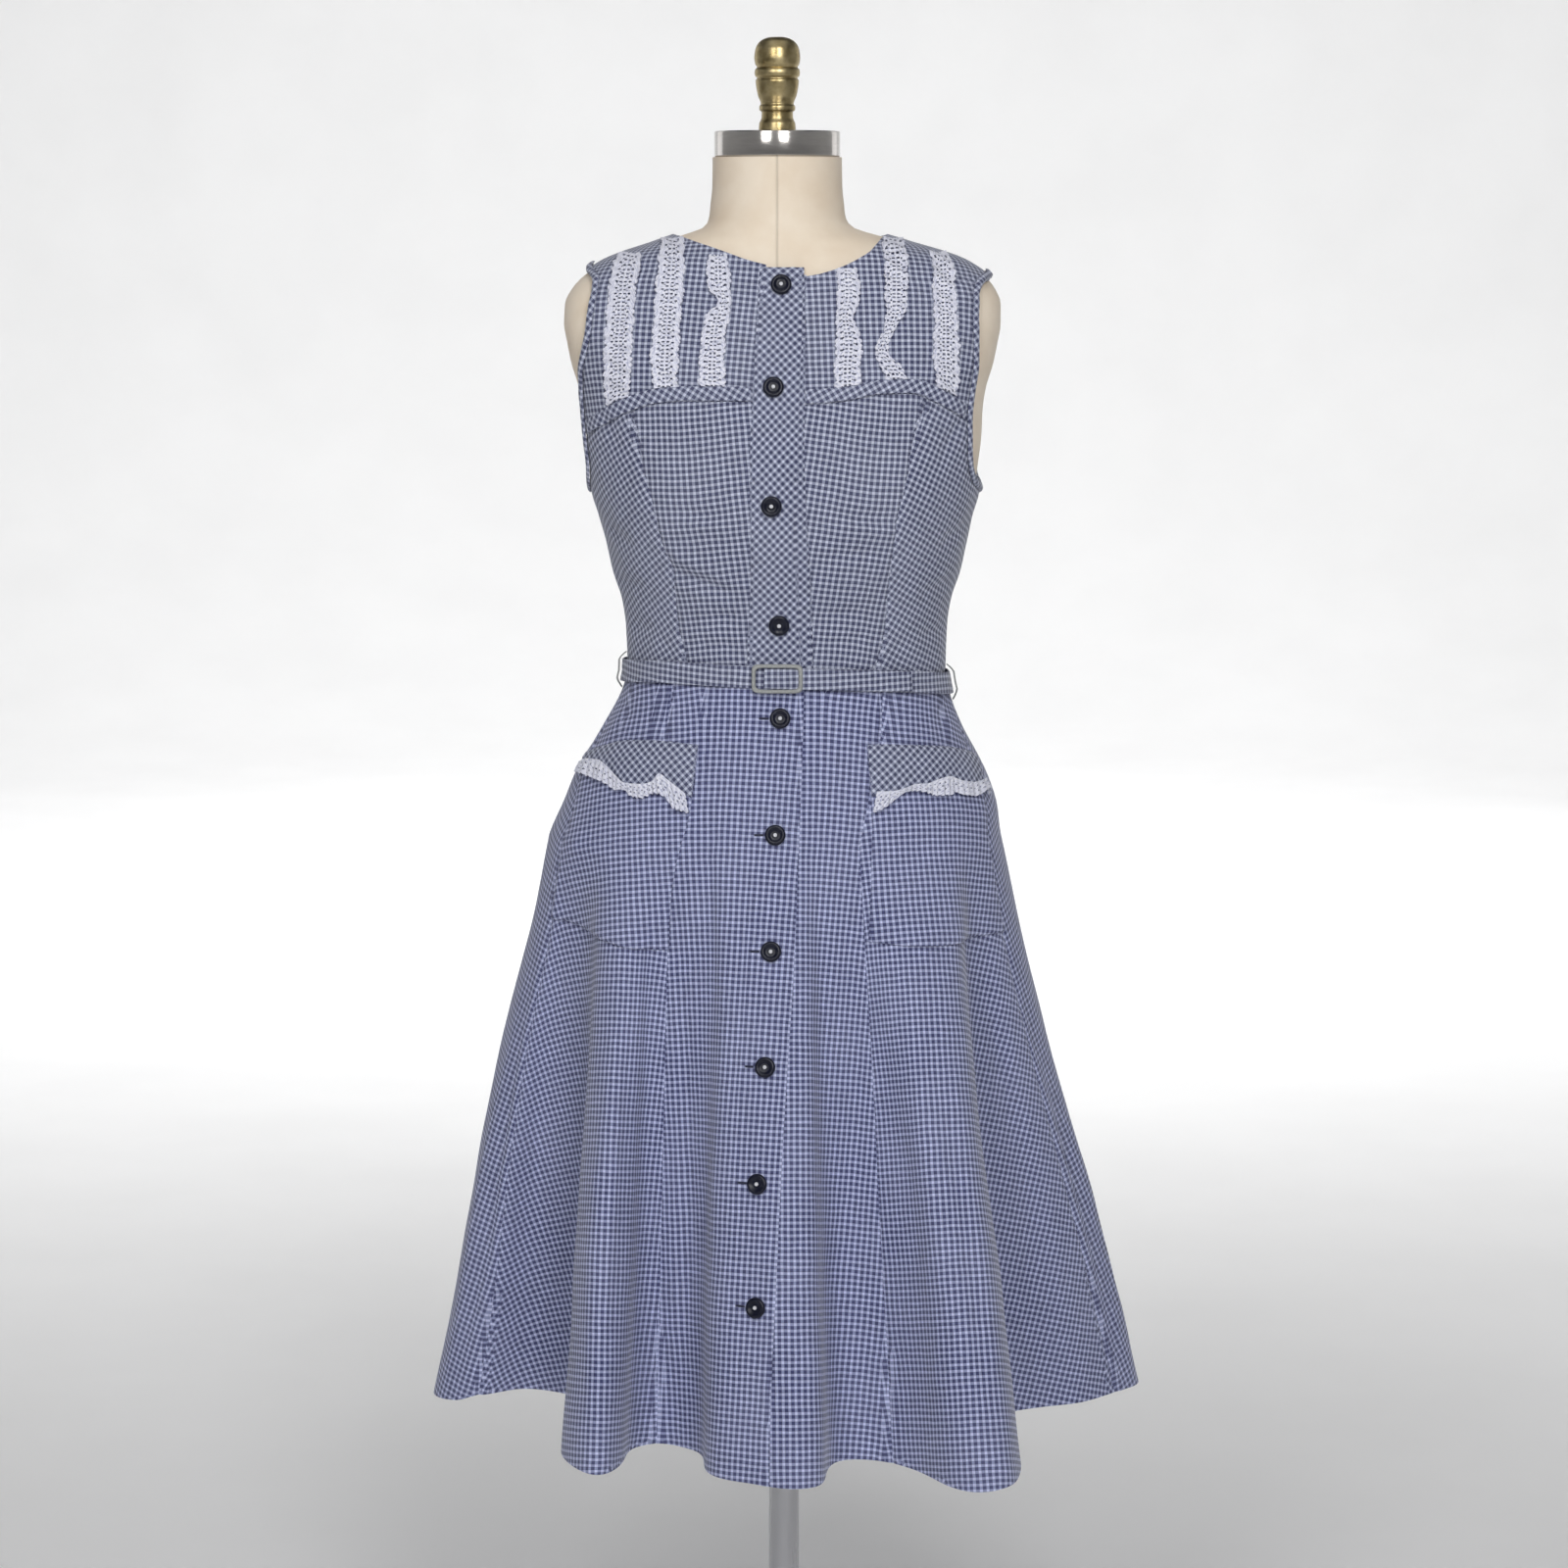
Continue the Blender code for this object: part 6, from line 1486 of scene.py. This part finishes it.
def capsules(name, places, aims, long, thick, material, slot):
    """Short threads in one mesh: each is an eight-sided spindle, thick * sqrt(1 - t ** 4) along its aim."""
    along = np.linspace(-1.0, 1.0, 7)
    round_turn = math.tau * np.arange(8) / 8
    places, aims = np.array(places), np.array(aims)
    aims /= np.linalg.norm(aims, axis=-1, keepdims=True)
    side = np.cross(aims, np.array([0.0, 0.0, 1.0]) + 0.001)
    side /= np.linalg.norm(side, axis=-1, keepdims=True)
    other = np.cross(aims, side)
    radius = thick / 2 * np.sqrt(np.maximum(1 - along ** 4, 0.002))
    ring = (
        np.cos(round_turn)[:, None] * side[:, None, None, :]
        + np.sin(round_turn)[:, None] * other[:, None, None, :]
    )
    grid = places[:, None, None, :] + aims[:, None, None, :] * (along * long / 2)[:, None, None]
    grid = grid + ring * radius[:, None, None]
    count = len(places)
    index = np.arange(count * 7 * 8).reshape(count, 7, 8)
    after = np.roll(index, -1, axis=2)
    quads = np.stack([index[:, :-1], index[:, 1:], after[:, 1:], after[:, :-1]], axis=-1).reshape(-1, 4)
    caps = np.concatenate([index[:, 0, ::-1], index[:, -1]])
    caps = np.concatenate([caps[:, [0, 1, 2, 3]], caps[:, [0, 3, 4, 7]], caps[:, [4, 5, 6, 7]]])
    points = grid.reshape(-1, 3)
    mesh = mesh_of(name, points, np.concatenate([quads, caps]))
    shape = bmesh.new()
    shape.from_mesh(mesh)
    bmesh.ops.recalc_face_normals(shape, faces=shape.faces)
    shape.to_mesh(mesh)
    shape.free()
    return place_mesh(name, mesh, material, [], slot)


def make_buttonholes():
    """Dark bar of buttonhole thread beside each skirt button, lying across the front edge's layer."""
    places, aims = [], []
    for x, height in BUTTONS[4:]:
        for row in (-1, 0, 1):
            near, _ = surface_frame(x - 0.0100, height + row * 0.0006, LAYER + 0.0002)
            far, _ = surface_frame(x - 0.0185, height + row * 0.0006, LAYER + 0.0002)
            places.append((near + far) / 2)
            aims.append(far - near)
    capsules("buttonhole_threads", places, aims, 0.0100, 0.0008, THREAD_DARK, "navy_button")


# Finishes


def node(tree, kind, inputs=(), **settings):
    """New shader node with its settings; each input is a value or another node's output."""
    made = tree.nodes.new(kind)
    for name, value in settings.items():
        setattr(made, name, value)
    for place, value in dict(inputs).items():
        if isinstance(value, bpy.types.NodeSocket):
            tree.links.new(value, made.inputs[place])
        else:
            made.inputs[place].default_value = value
    return made


def sums(tree, operation, *values):
    """Output of a math node."""
    return node(tree, "ShaderNodeMath", dict(enumerate(values)), operation=operation).outputs[0]


def blend_colours(tree, share, first, second, mode="MIX"):
    """Output of a colour mix: share of the second over the first."""
    mixed = node(tree, "ShaderNodeMix", data_type="RGBA", blend_type=mode)
    for place, value in ((0, share), (6, first), (7, second)):
        if isinstance(value, bpy.types.NodeSocket):
            tree.links.new(value, mixed.inputs[place])
        else:
            mixed.inputs[place].default_value = value
    return mixed.outputs[2]


def ramp_colours(tree, factor, stops):
    """Output of a colour ramp through the stops."""
    made = node(tree, "ShaderNodeValToRGB", {0: factor})
    ends = made.color_ramp.elements
    for place, colour in stops[1:-1]:
        ends.new(place)
    for element, (place, colour) in zip(ends, stops):
        element.position = place
        element.color = (*colour, 1.0)
    return made.outputs[0]


def noise(tree, vector, scale, detail=2.0, rough=0.5):
    """Output of a noise, 0 to 1."""
    return node(
        tree, "ShaderNodeTexNoise", {"Vector": vector, "Scale": scale, "Detail": detail, "Roughness": rough},
    ).outputs[0]


def surface(name, roughness, metallic=0.0, **fixed):
    """Material with its shader, whose fixed values sit on the shader's own sockets."""
    material = bpy.data.materials.new(name)
    material.use_nodes = True
    tree = material.node_tree
    shader = tree.nodes["Principled BSDF"]
    shader.inputs["Roughness"].default_value = roughness
    shader.inputs["Metallic"].default_value = metallic
    for place, value in fixed.items():
        shader.inputs[place.replace("_", " ")].default_value = value
    return material, tree, shader


def gingham(name, light, middle, dark, speckle):
    """Checked cotton on the flat cut: a line wave each way, steepened to stripes, picks white, blue or navy.

    stripe = clamp(1 + 2.2 sin(2 pi u / CHECK)), where u wanders by a slow noise as a woven line does. The
    sum of the two stripes picks the colour. Single threads vary along their length, and the weave and a slow
    crumple raise the bump.
    """
    material, tree, shader = surface(
        name, 0.86, Sheen_Weight=0.25, Sheen_Roughness=0.5, Specular_IOR_Level=0.25,
    )
    cut = node(tree, "ShaderNodeUVMap", uv_map="cut").outputs[0]
    wander = noise(tree, cut, 60.0, 1.0)
    parts = node(tree, "ShaderNodeSeparateXYZ", {0: cut})
    stripes, threads = [], []
    for number, stretch in ((0, (38.0, 900.0, 1.0)), (1, (900.0, 38.0, 1.0))):
        place = sums(tree, "MULTIPLY_ADD", wander, 0.0011, parts.outputs[number])
        wave = sums(tree, "SINE", sums(tree, "MULTIPLY", place, math.tau / CHECK))
        stripe = sums(tree, "MULTIPLY_ADD", wave, 2.2, 1.0)
        tree.nodes[-1].use_clamp = True
        stripes.append(stripe)
        drawn = node(tree, "ShaderNodeMapping", {0: cut, "Scale": stretch}).outputs[0]
        threads.append(noise(tree, drawn, 1.0, 2.0, 0.6))
    both = sums(tree, "MULTIPLY", sums(tree, "ADD", *stripes), 0.5)
    colour = ramp_colours(tree, both, ((0.0, light), (0.42, middle), (0.58, middle), (1.0, dark)))
    slub = sums(tree, "ADD", *threads)
    limits = {1: 0.7, 2: 1.3, 3: 1.0 - speckle, 4: 1.0 + speckle}
    slub = node(tree, "ShaderNodeMapRange", {0: slub, **limits}).outputs[0]
    grey = node(tree, "ShaderNodeCombineXYZ", {0: slub, 1: slub, 2: slub}).outputs[0]
    colour = blend_colours(tree, 1.0, colour, grey, "MULTIPLY")
    fade = noise(tree, cut, 9.0, 3.0)
    fade = node(tree, "ShaderNodeMapRange", {0: fade, 1: 0.3, 2: 0.7, 3: 0.0, 4: 0.10}).outputs[0]
    colour = blend_colours(tree, fade, colour, (*light, 1.0))
    tree.links.new(colour, shader.inputs["Base Color"])
    weave = [
        sums(tree, "SINE", sums(tree, "MULTIPLY", parts.outputs[number], math.pi / THREAD))
        for number in (0, 1)
    ]
    raised = sums(tree, "MULTIPLY", *weave)
    raised = sums(tree, "MULTIPLY_ADD", raised, 0.5, slub)
    fine = node(tree, "ShaderNodeBump", {"Strength": 0.22, "Distance": 0.0003, "Height": raised}).outputs[0]
    crumple = noise(tree, cut, 42.0, 3.0, 0.55)
    soft = node(tree, "ShaderNodeBump", {
        "Strength": 0.45, "Distance": 0.0022, "Height": crumple, "Normal": fine,
    })
    tree.links.new(soft.outputs[0], shader.inputs["Normal"])
    return material


def lace_finish():
    """White cotton lace: fine crossing threads raise the bump, and a noise runs its colour from white to a
    dark blue-grey, partly the lace's own uneven white and partly painted bluish shade.
    """
    material, tree, shader = surface("lace_white", 0.9, Sheen_Weight=0.3, Specular_IOR_Level=0.2)
    cut = node(tree, "ShaderNodeUVMap", uv_map="cut").outputs[0]
    # Dark blue-grey to white at random: painted bluish shade mixed into the lace's own uneven white.
    spread = noise(tree, cut, 420.0, 2.0)
    stops = ((0.30, (0.42, 0.44, 0.60)), (0.5, (0.76, 0.77, 0.88)), (0.8, (0.92, 0.92, 0.97)))
    colour = ramp_colours(tree, spread, stops)
    tree.links.new(colour, shader.inputs["Base Color"])
    threads = node(tree, "ShaderNodeTexVoronoi", {"Vector": cut, "Scale": 900.0}).outputs[0]
    bump = node(tree, "ShaderNodeBump", {"Strength": 0.6, "Distance": 0.0004, "Height": threads})
    tree.links.new(bump.outputs[0], shader.inputs["Normal"])
    return material


def linen_finish():
    """Cream cloth of the form on Object coordinates: a fine weave, a centre seam groove whose colour is
    darkened as painted shade, faint mottling.
    """
    material, tree, shader = surface("form_linen", 0.88, Sheen_Weight=0.2, Specular_IOR_Level=0.25)
    place = node(tree, "ShaderNodeTexCoord").outputs["Object"]
    parts = node(tree, "ShaderNodeSeparateXYZ", {0: place})
    mottle = noise(tree, place, 26.0, 4.0)
    colour = ramp_colours(tree, mottle, ((0.3, (0.80, 0.67, 0.52)), (0.7, (0.88, 0.77, 0.63))))
    away = sums(tree, "ABSOLUTE", sums(tree, "ADD", parts.outputs[0], 0.006))
    groove = node(
        tree, "ShaderNodeMapRange", {0: away, 1: 0.0, 2: 0.0016, 3: 0.0, 4: 1.0},
        interpolation_type="SMOOTHSTEP",
    ).outputs[0]
    # The seam groove's colour darkens to 0.8 at its middle: painted shade in the recess.
    shade = node(tree, "ShaderNodeMapRange", {0: groove, 1: 0.0, 2: 1.0, 3: 0.80, 4: 1.0}).outputs[0]
    grey = node(tree, "ShaderNodeCombineXYZ", {0: shade, 1: shade, 2: shade}).outputs[0]
    tree.links.new(blend_colours(tree, 1.0, colour, grey, "MULTIPLY"), shader.inputs["Base Color"])
    weave = noise(tree, place, 1500.0, 1.0)
    fine = node(tree, "ShaderNodeBump", {"Strength": 0.25, "Distance": 0.0003, "Height": weave}).outputs[0]
    seam = node(tree, "ShaderNodeBump", {
        "Strength": 0.7, "Distance": 0.0010, "Height": groove, "Normal": fine,
    })
    tree.links.new(seam.outputs[0], shader.inputs["Normal"])
    return material


def metal_finish(name, colours, roughness, scale, stretch=(1.0, 1.0, 1.0), depth=0.15):
    """Metal on Object coordinates: noise between two colours and two roughnesses, and faint scratches."""
    material, tree, shader = surface(name, roughness[0], 1.0)
    place = node(tree, "ShaderNodeTexCoord").outputs["Object"]
    drawn = node(tree, "ShaderNodeMapping", {0: place, "Scale": stretch}).outputs[0]
    wear = noise(tree, drawn, scale, 5.0, 0.6)
    colour = ramp_colours(tree, wear, ((0.3, colours[0]), (0.7, colours[1])))
    tree.links.new(colour, shader.inputs["Base Color"])
    limits = {1: 0.3, 2: 0.7, 3: roughness[0], 4: roughness[1]}
    rough = node(tree, "ShaderNodeMapRange", {0: wear, **limits}).outputs[0]
    tree.links.new(rough, shader.inputs["Roughness"])
    bump = node(tree, "ShaderNodeBump", {"Strength": depth, "Distance": 0.0003, "Height": wear})
    tree.links.new(bump.outputs[0], shader.inputs["Normal"])
    return material


def smooth_finish(name, colours, roughness, scale, distance=0.0002, **fixed):
    """Moulded, painted or thread finish on Object coordinates: noise between two colours and a faint bump."""
    material, tree, shader = surface(name, roughness, **fixed)
    place = node(tree, "ShaderNodeTexCoord").outputs["Object"]
    mottle = noise(tree, place, scale, 3.0)
    colour = ramp_colours(tree, mottle, ((0.3, colours[0]), (0.7, colours[1])))
    tree.links.new(colour, shader.inputs["Base Color"])
    bump = node(tree, "ShaderNodeBump", {"Strength": 0.3, "Distance": distance, "Height": mottle})
    tree.links.new(bump.outputs[0], shader.inputs["Normal"])
    return material


WHITE, BLUE, DARK_NAVY = (0.56, 0.59, 0.71), (0.258, 0.280, 0.390), (0.040, 0.045, 0.106)
CHECKED = gingham("checked_cotton_bodice", WHITE, BLUE, DARK_NAVY, 0.20)
# Bluer copy of the bodice's check for the skirt: the bluer cast of the light on the skirt is painted into its
# colours.
CHECKED_SKIRT_PAINTED_BLUE_LIGHT = gingham(
    "checked_cotton_skirt_painted_blue_light", (0.54, 0.57, 0.78), (0.245, 0.272, 0.445), (0.040, 0.044, 0.125), 0.20,
)
BIAS = gingham("checked_cotton_on_the_bias", WHITE, BLUE, DARK_NAVY, 0.20)
COVERED = smooth_finish(
    "covered_pale_cotton", ((0.30, 0.31, 0.31), (0.40, 0.41, 0.40)), 0.85, 500.0, distance=0.0005,
)
LACE_WHITE = lace_finish()
NAVY = smooth_finish(
    "navy_button_gloss", ((0.004, 0.005, 0.014), (0.008, 0.010, 0.024)), 0.30, 120.0,
    Specular_IOR_Level=0.30,
)
PALE_CENTRE = smooth_finish("pale_centre_finish", ((0.55, 0.56, 0.60), (0.75, 0.76, 0.80)), 0.6, 900.0)
THREAD_DARK = smooth_finish("buttonhole_thread", ((0.010, 0.012, 0.035), (0.030, 0.034, 0.075)), 0.6, 900.0)
LINEN = linen_finish()
STEEL = metal_finish(
    "cap_polished", ((0.66, 0.63, 0.60), (0.74, 0.71, 0.68)), (0.10, 0.16), 40.0, (1.0, 1.0, 9.0), 0.05,
)
BRASS = metal_finish("finial_aged_brass", ((0.30, 0.22, 0.09), (0.62, 0.52, 0.30)), (0.24, 0.44), 60.0)
POLISHED = metal_finish(
    "pole_satin", ((0.44, 0.44, 0.46), (0.56, 0.56, 0.58)), (0.22, 0.32), 50.0, (1.0, 1.0, 0.1),
)
PAINT = smooth_finish("base_painted", ((0.55, 0.53, 0.49), (0.62, 0.60, 0.56)), 0.42, 300.0)

# How far the threads of the side gores and the pockets lean off upright, in degrees; the rest hang straight
SKIRT_GRAIN = {"skirt_side_right": 9.0, "skirt_side_left": -9.0}
POCKET_GRAIN = {-1: 9.0, 1: 0.0}
BELT_GRAIN = 0.0


def area_light(name, place, aim, size, power, spread=math.pi):
    """Softbox at a place, facing a point; its light keeps within the spread."""
    lamp = bpy.data.lights.new(name, "AREA")
    lamp.shape = "RECTANGLE"
    lamp.size, lamp.size_y = size
    lamp.energy = power
    lamp.spread = spread
    thing = bpy.data.objects.new(name, lamp)
    turn = (Vector(aim) - Vector(place)).to_track_quat("-Z", "Y")
    thing.matrix_world = Matrix.Translation(place) @ turn.to_matrix().to_4x4()
    bpy.context.scene.collection.objects.link(thing)


def light_studio():
    """Pale floor that curves up to a pale wall all round, two tall softboxes in front and one overhead."""
    radius, bend = 9.0, 2.0
    curve = np.linspace(0.0, math.pi / 2, 13)
    outline = np.concatenate([
        [(0.0, 0.0), (radius - bend, 0.0)],
        np.stack([radius - bend + bend * np.sin(curve[1:]), bend - bend * np.cos(curve[1:])], axis=-1),
        [(radius, 7.0)],
    ])
    turn = math.tau * np.arange(96) / 96
    ring = np.stack([np.cos(turn), np.sin(turn), np.zeros(96)], axis=-1)
    grid = outline[1:, 0][:, None, None] * ring + np.array([0.0, 0.0, 1.0]) * outline[1:, 1][:, None, None]
    index = np.arange(grid.shape[0] * 96).reshape(grid.shape[0], 96)
    after = np.roll(index, -1, axis=1)
    quads = np.stack([index[:-1], index[1:], after[1:], after[:-1]], axis=-1).reshape(-1, 4).tolist()
    mesh = bpy.data.meshes.new("studio_floor")
    mesh.from_pydata(grid.reshape(-1, 3).tolist(), [], quads + [index[0].tolist()])
    mesh.shade_smooth()
    floor = bpy.data.objects.new("studio_floor", mesh)
    bpy.context.scene.collection.objects.link(floor)
    pale = ((0.92, 0.92, 0.92), (0.95, 0.95, 0.95))
    mesh.materials.append(smooth_finish("studio_pale", pale, 0.9, 3.0, distance=0.0))
    world = bpy.data.worlds.new("studio")
    bpy.context.scene.world = world
    world.use_nodes = True
    world.node_tree.nodes["Background"].inputs[0].default_value = (0.95, 0.96, 1.0, 1.0)
    world.node_tree.nodes["Background"].inputs[1].default_value = 0.05
    bpy.context.scene.view_settings.view_transform = "Standard"
    for number, (turned_by, wide, power) in enumerate(((-20.0, 1.2, 48.0), (12.0, 1.1, 80.0))):
        away = 3.9
        place = (away * math.sin(math.radians(turned_by)), -away * math.cos(math.radians(turned_by)), 3.0)
        area_light(f"softbox_{number + 1}", place, (0.0, 0.0, 1.2), (wide, 2.6), power)
    area_light("softbox_top", (0.0, -0.6, 4.2), (0.0, 0.0, 1.0), (3.0, 3.0), 14.0)
    for number, across in enumerate((-1.2, 1.2)):
        place, aim = (across, 3.6, 4.8), (across, 6.0, 0.0)
        area_light(f"backdrop_light_{number + 1}", place, aim, (3.0, 1.6), 92.0, 2.3)
    for number, turned_by in enumerate((130.0, -130.0)):
        place = (4.4 * math.sin(math.radians(turned_by)), -4.4 * math.cos(math.radians(turned_by)), 2.0)
        area_light(f"softbox_back_{number + 1}", place, (0.0, 0.0, 1.0), (1.6, 2.6), 7.0)


def set_camera():
    """Camera at the photograph's angle: 3.6 m in front, 1.45 m up, pitched 8 degrees down."""
    lens = bpy.data.cameras.new("camera")
    lens.lens, lens.sensor_width = 91.8, 36.0
    thing = bpy.data.objects.new("camera", lens)
    thing.location = (0.0, -3.6, 1.45)
    thing.rotation_euler = (math.radians(82.0), 0.0, 0.0)
    bpy.context.scene.collection.objects.link(thing)
    bpy.context.scene.camera = thing


set_camera()
make_form()
make_stand()
for side, word in ((-1, "right"), (1, "left")):
    make_yoke(word, side)
    make_yoke_band(word, side)
    make_centre_front(word, side)
    make_side_front(word, side)
    make_back(word, side)
    make_binding(word, side)
    make_skirt_front(word, side)
    make_pocket(word, side)
    make_cuff(word, side)
    make_ruffle(word, side)
    make_loop(word, side)
make_skirt_panel("skirt_side_right", SEAM_SIDE_RIGHT, SEAM_FRONT_RIGHT, 0.0062)
make_skirt_panel("skirt_side_left", SEAM_FRONT_LEFT, SEAM_SIDE_LEFT, 0.0062)
make_skirt_panel("skirt_back_right", -180.0, SEAM_SIDE_RIGHT, 0.0068)
make_skirt_panel("skirt_back_left", SEAM_SIDE_LEFT, 180.0, 0.0068)
make_band("front_band", under=False)
make_band("under_band", under=True)
for number, (strip, table) in enumerate(LACE_STRIPS.items()):
    make_lace_strip(strip, table, number)
make_belt()
make_belt_end()
make_buckle()
make_buttons()
make_buttonholes()
light_studio()
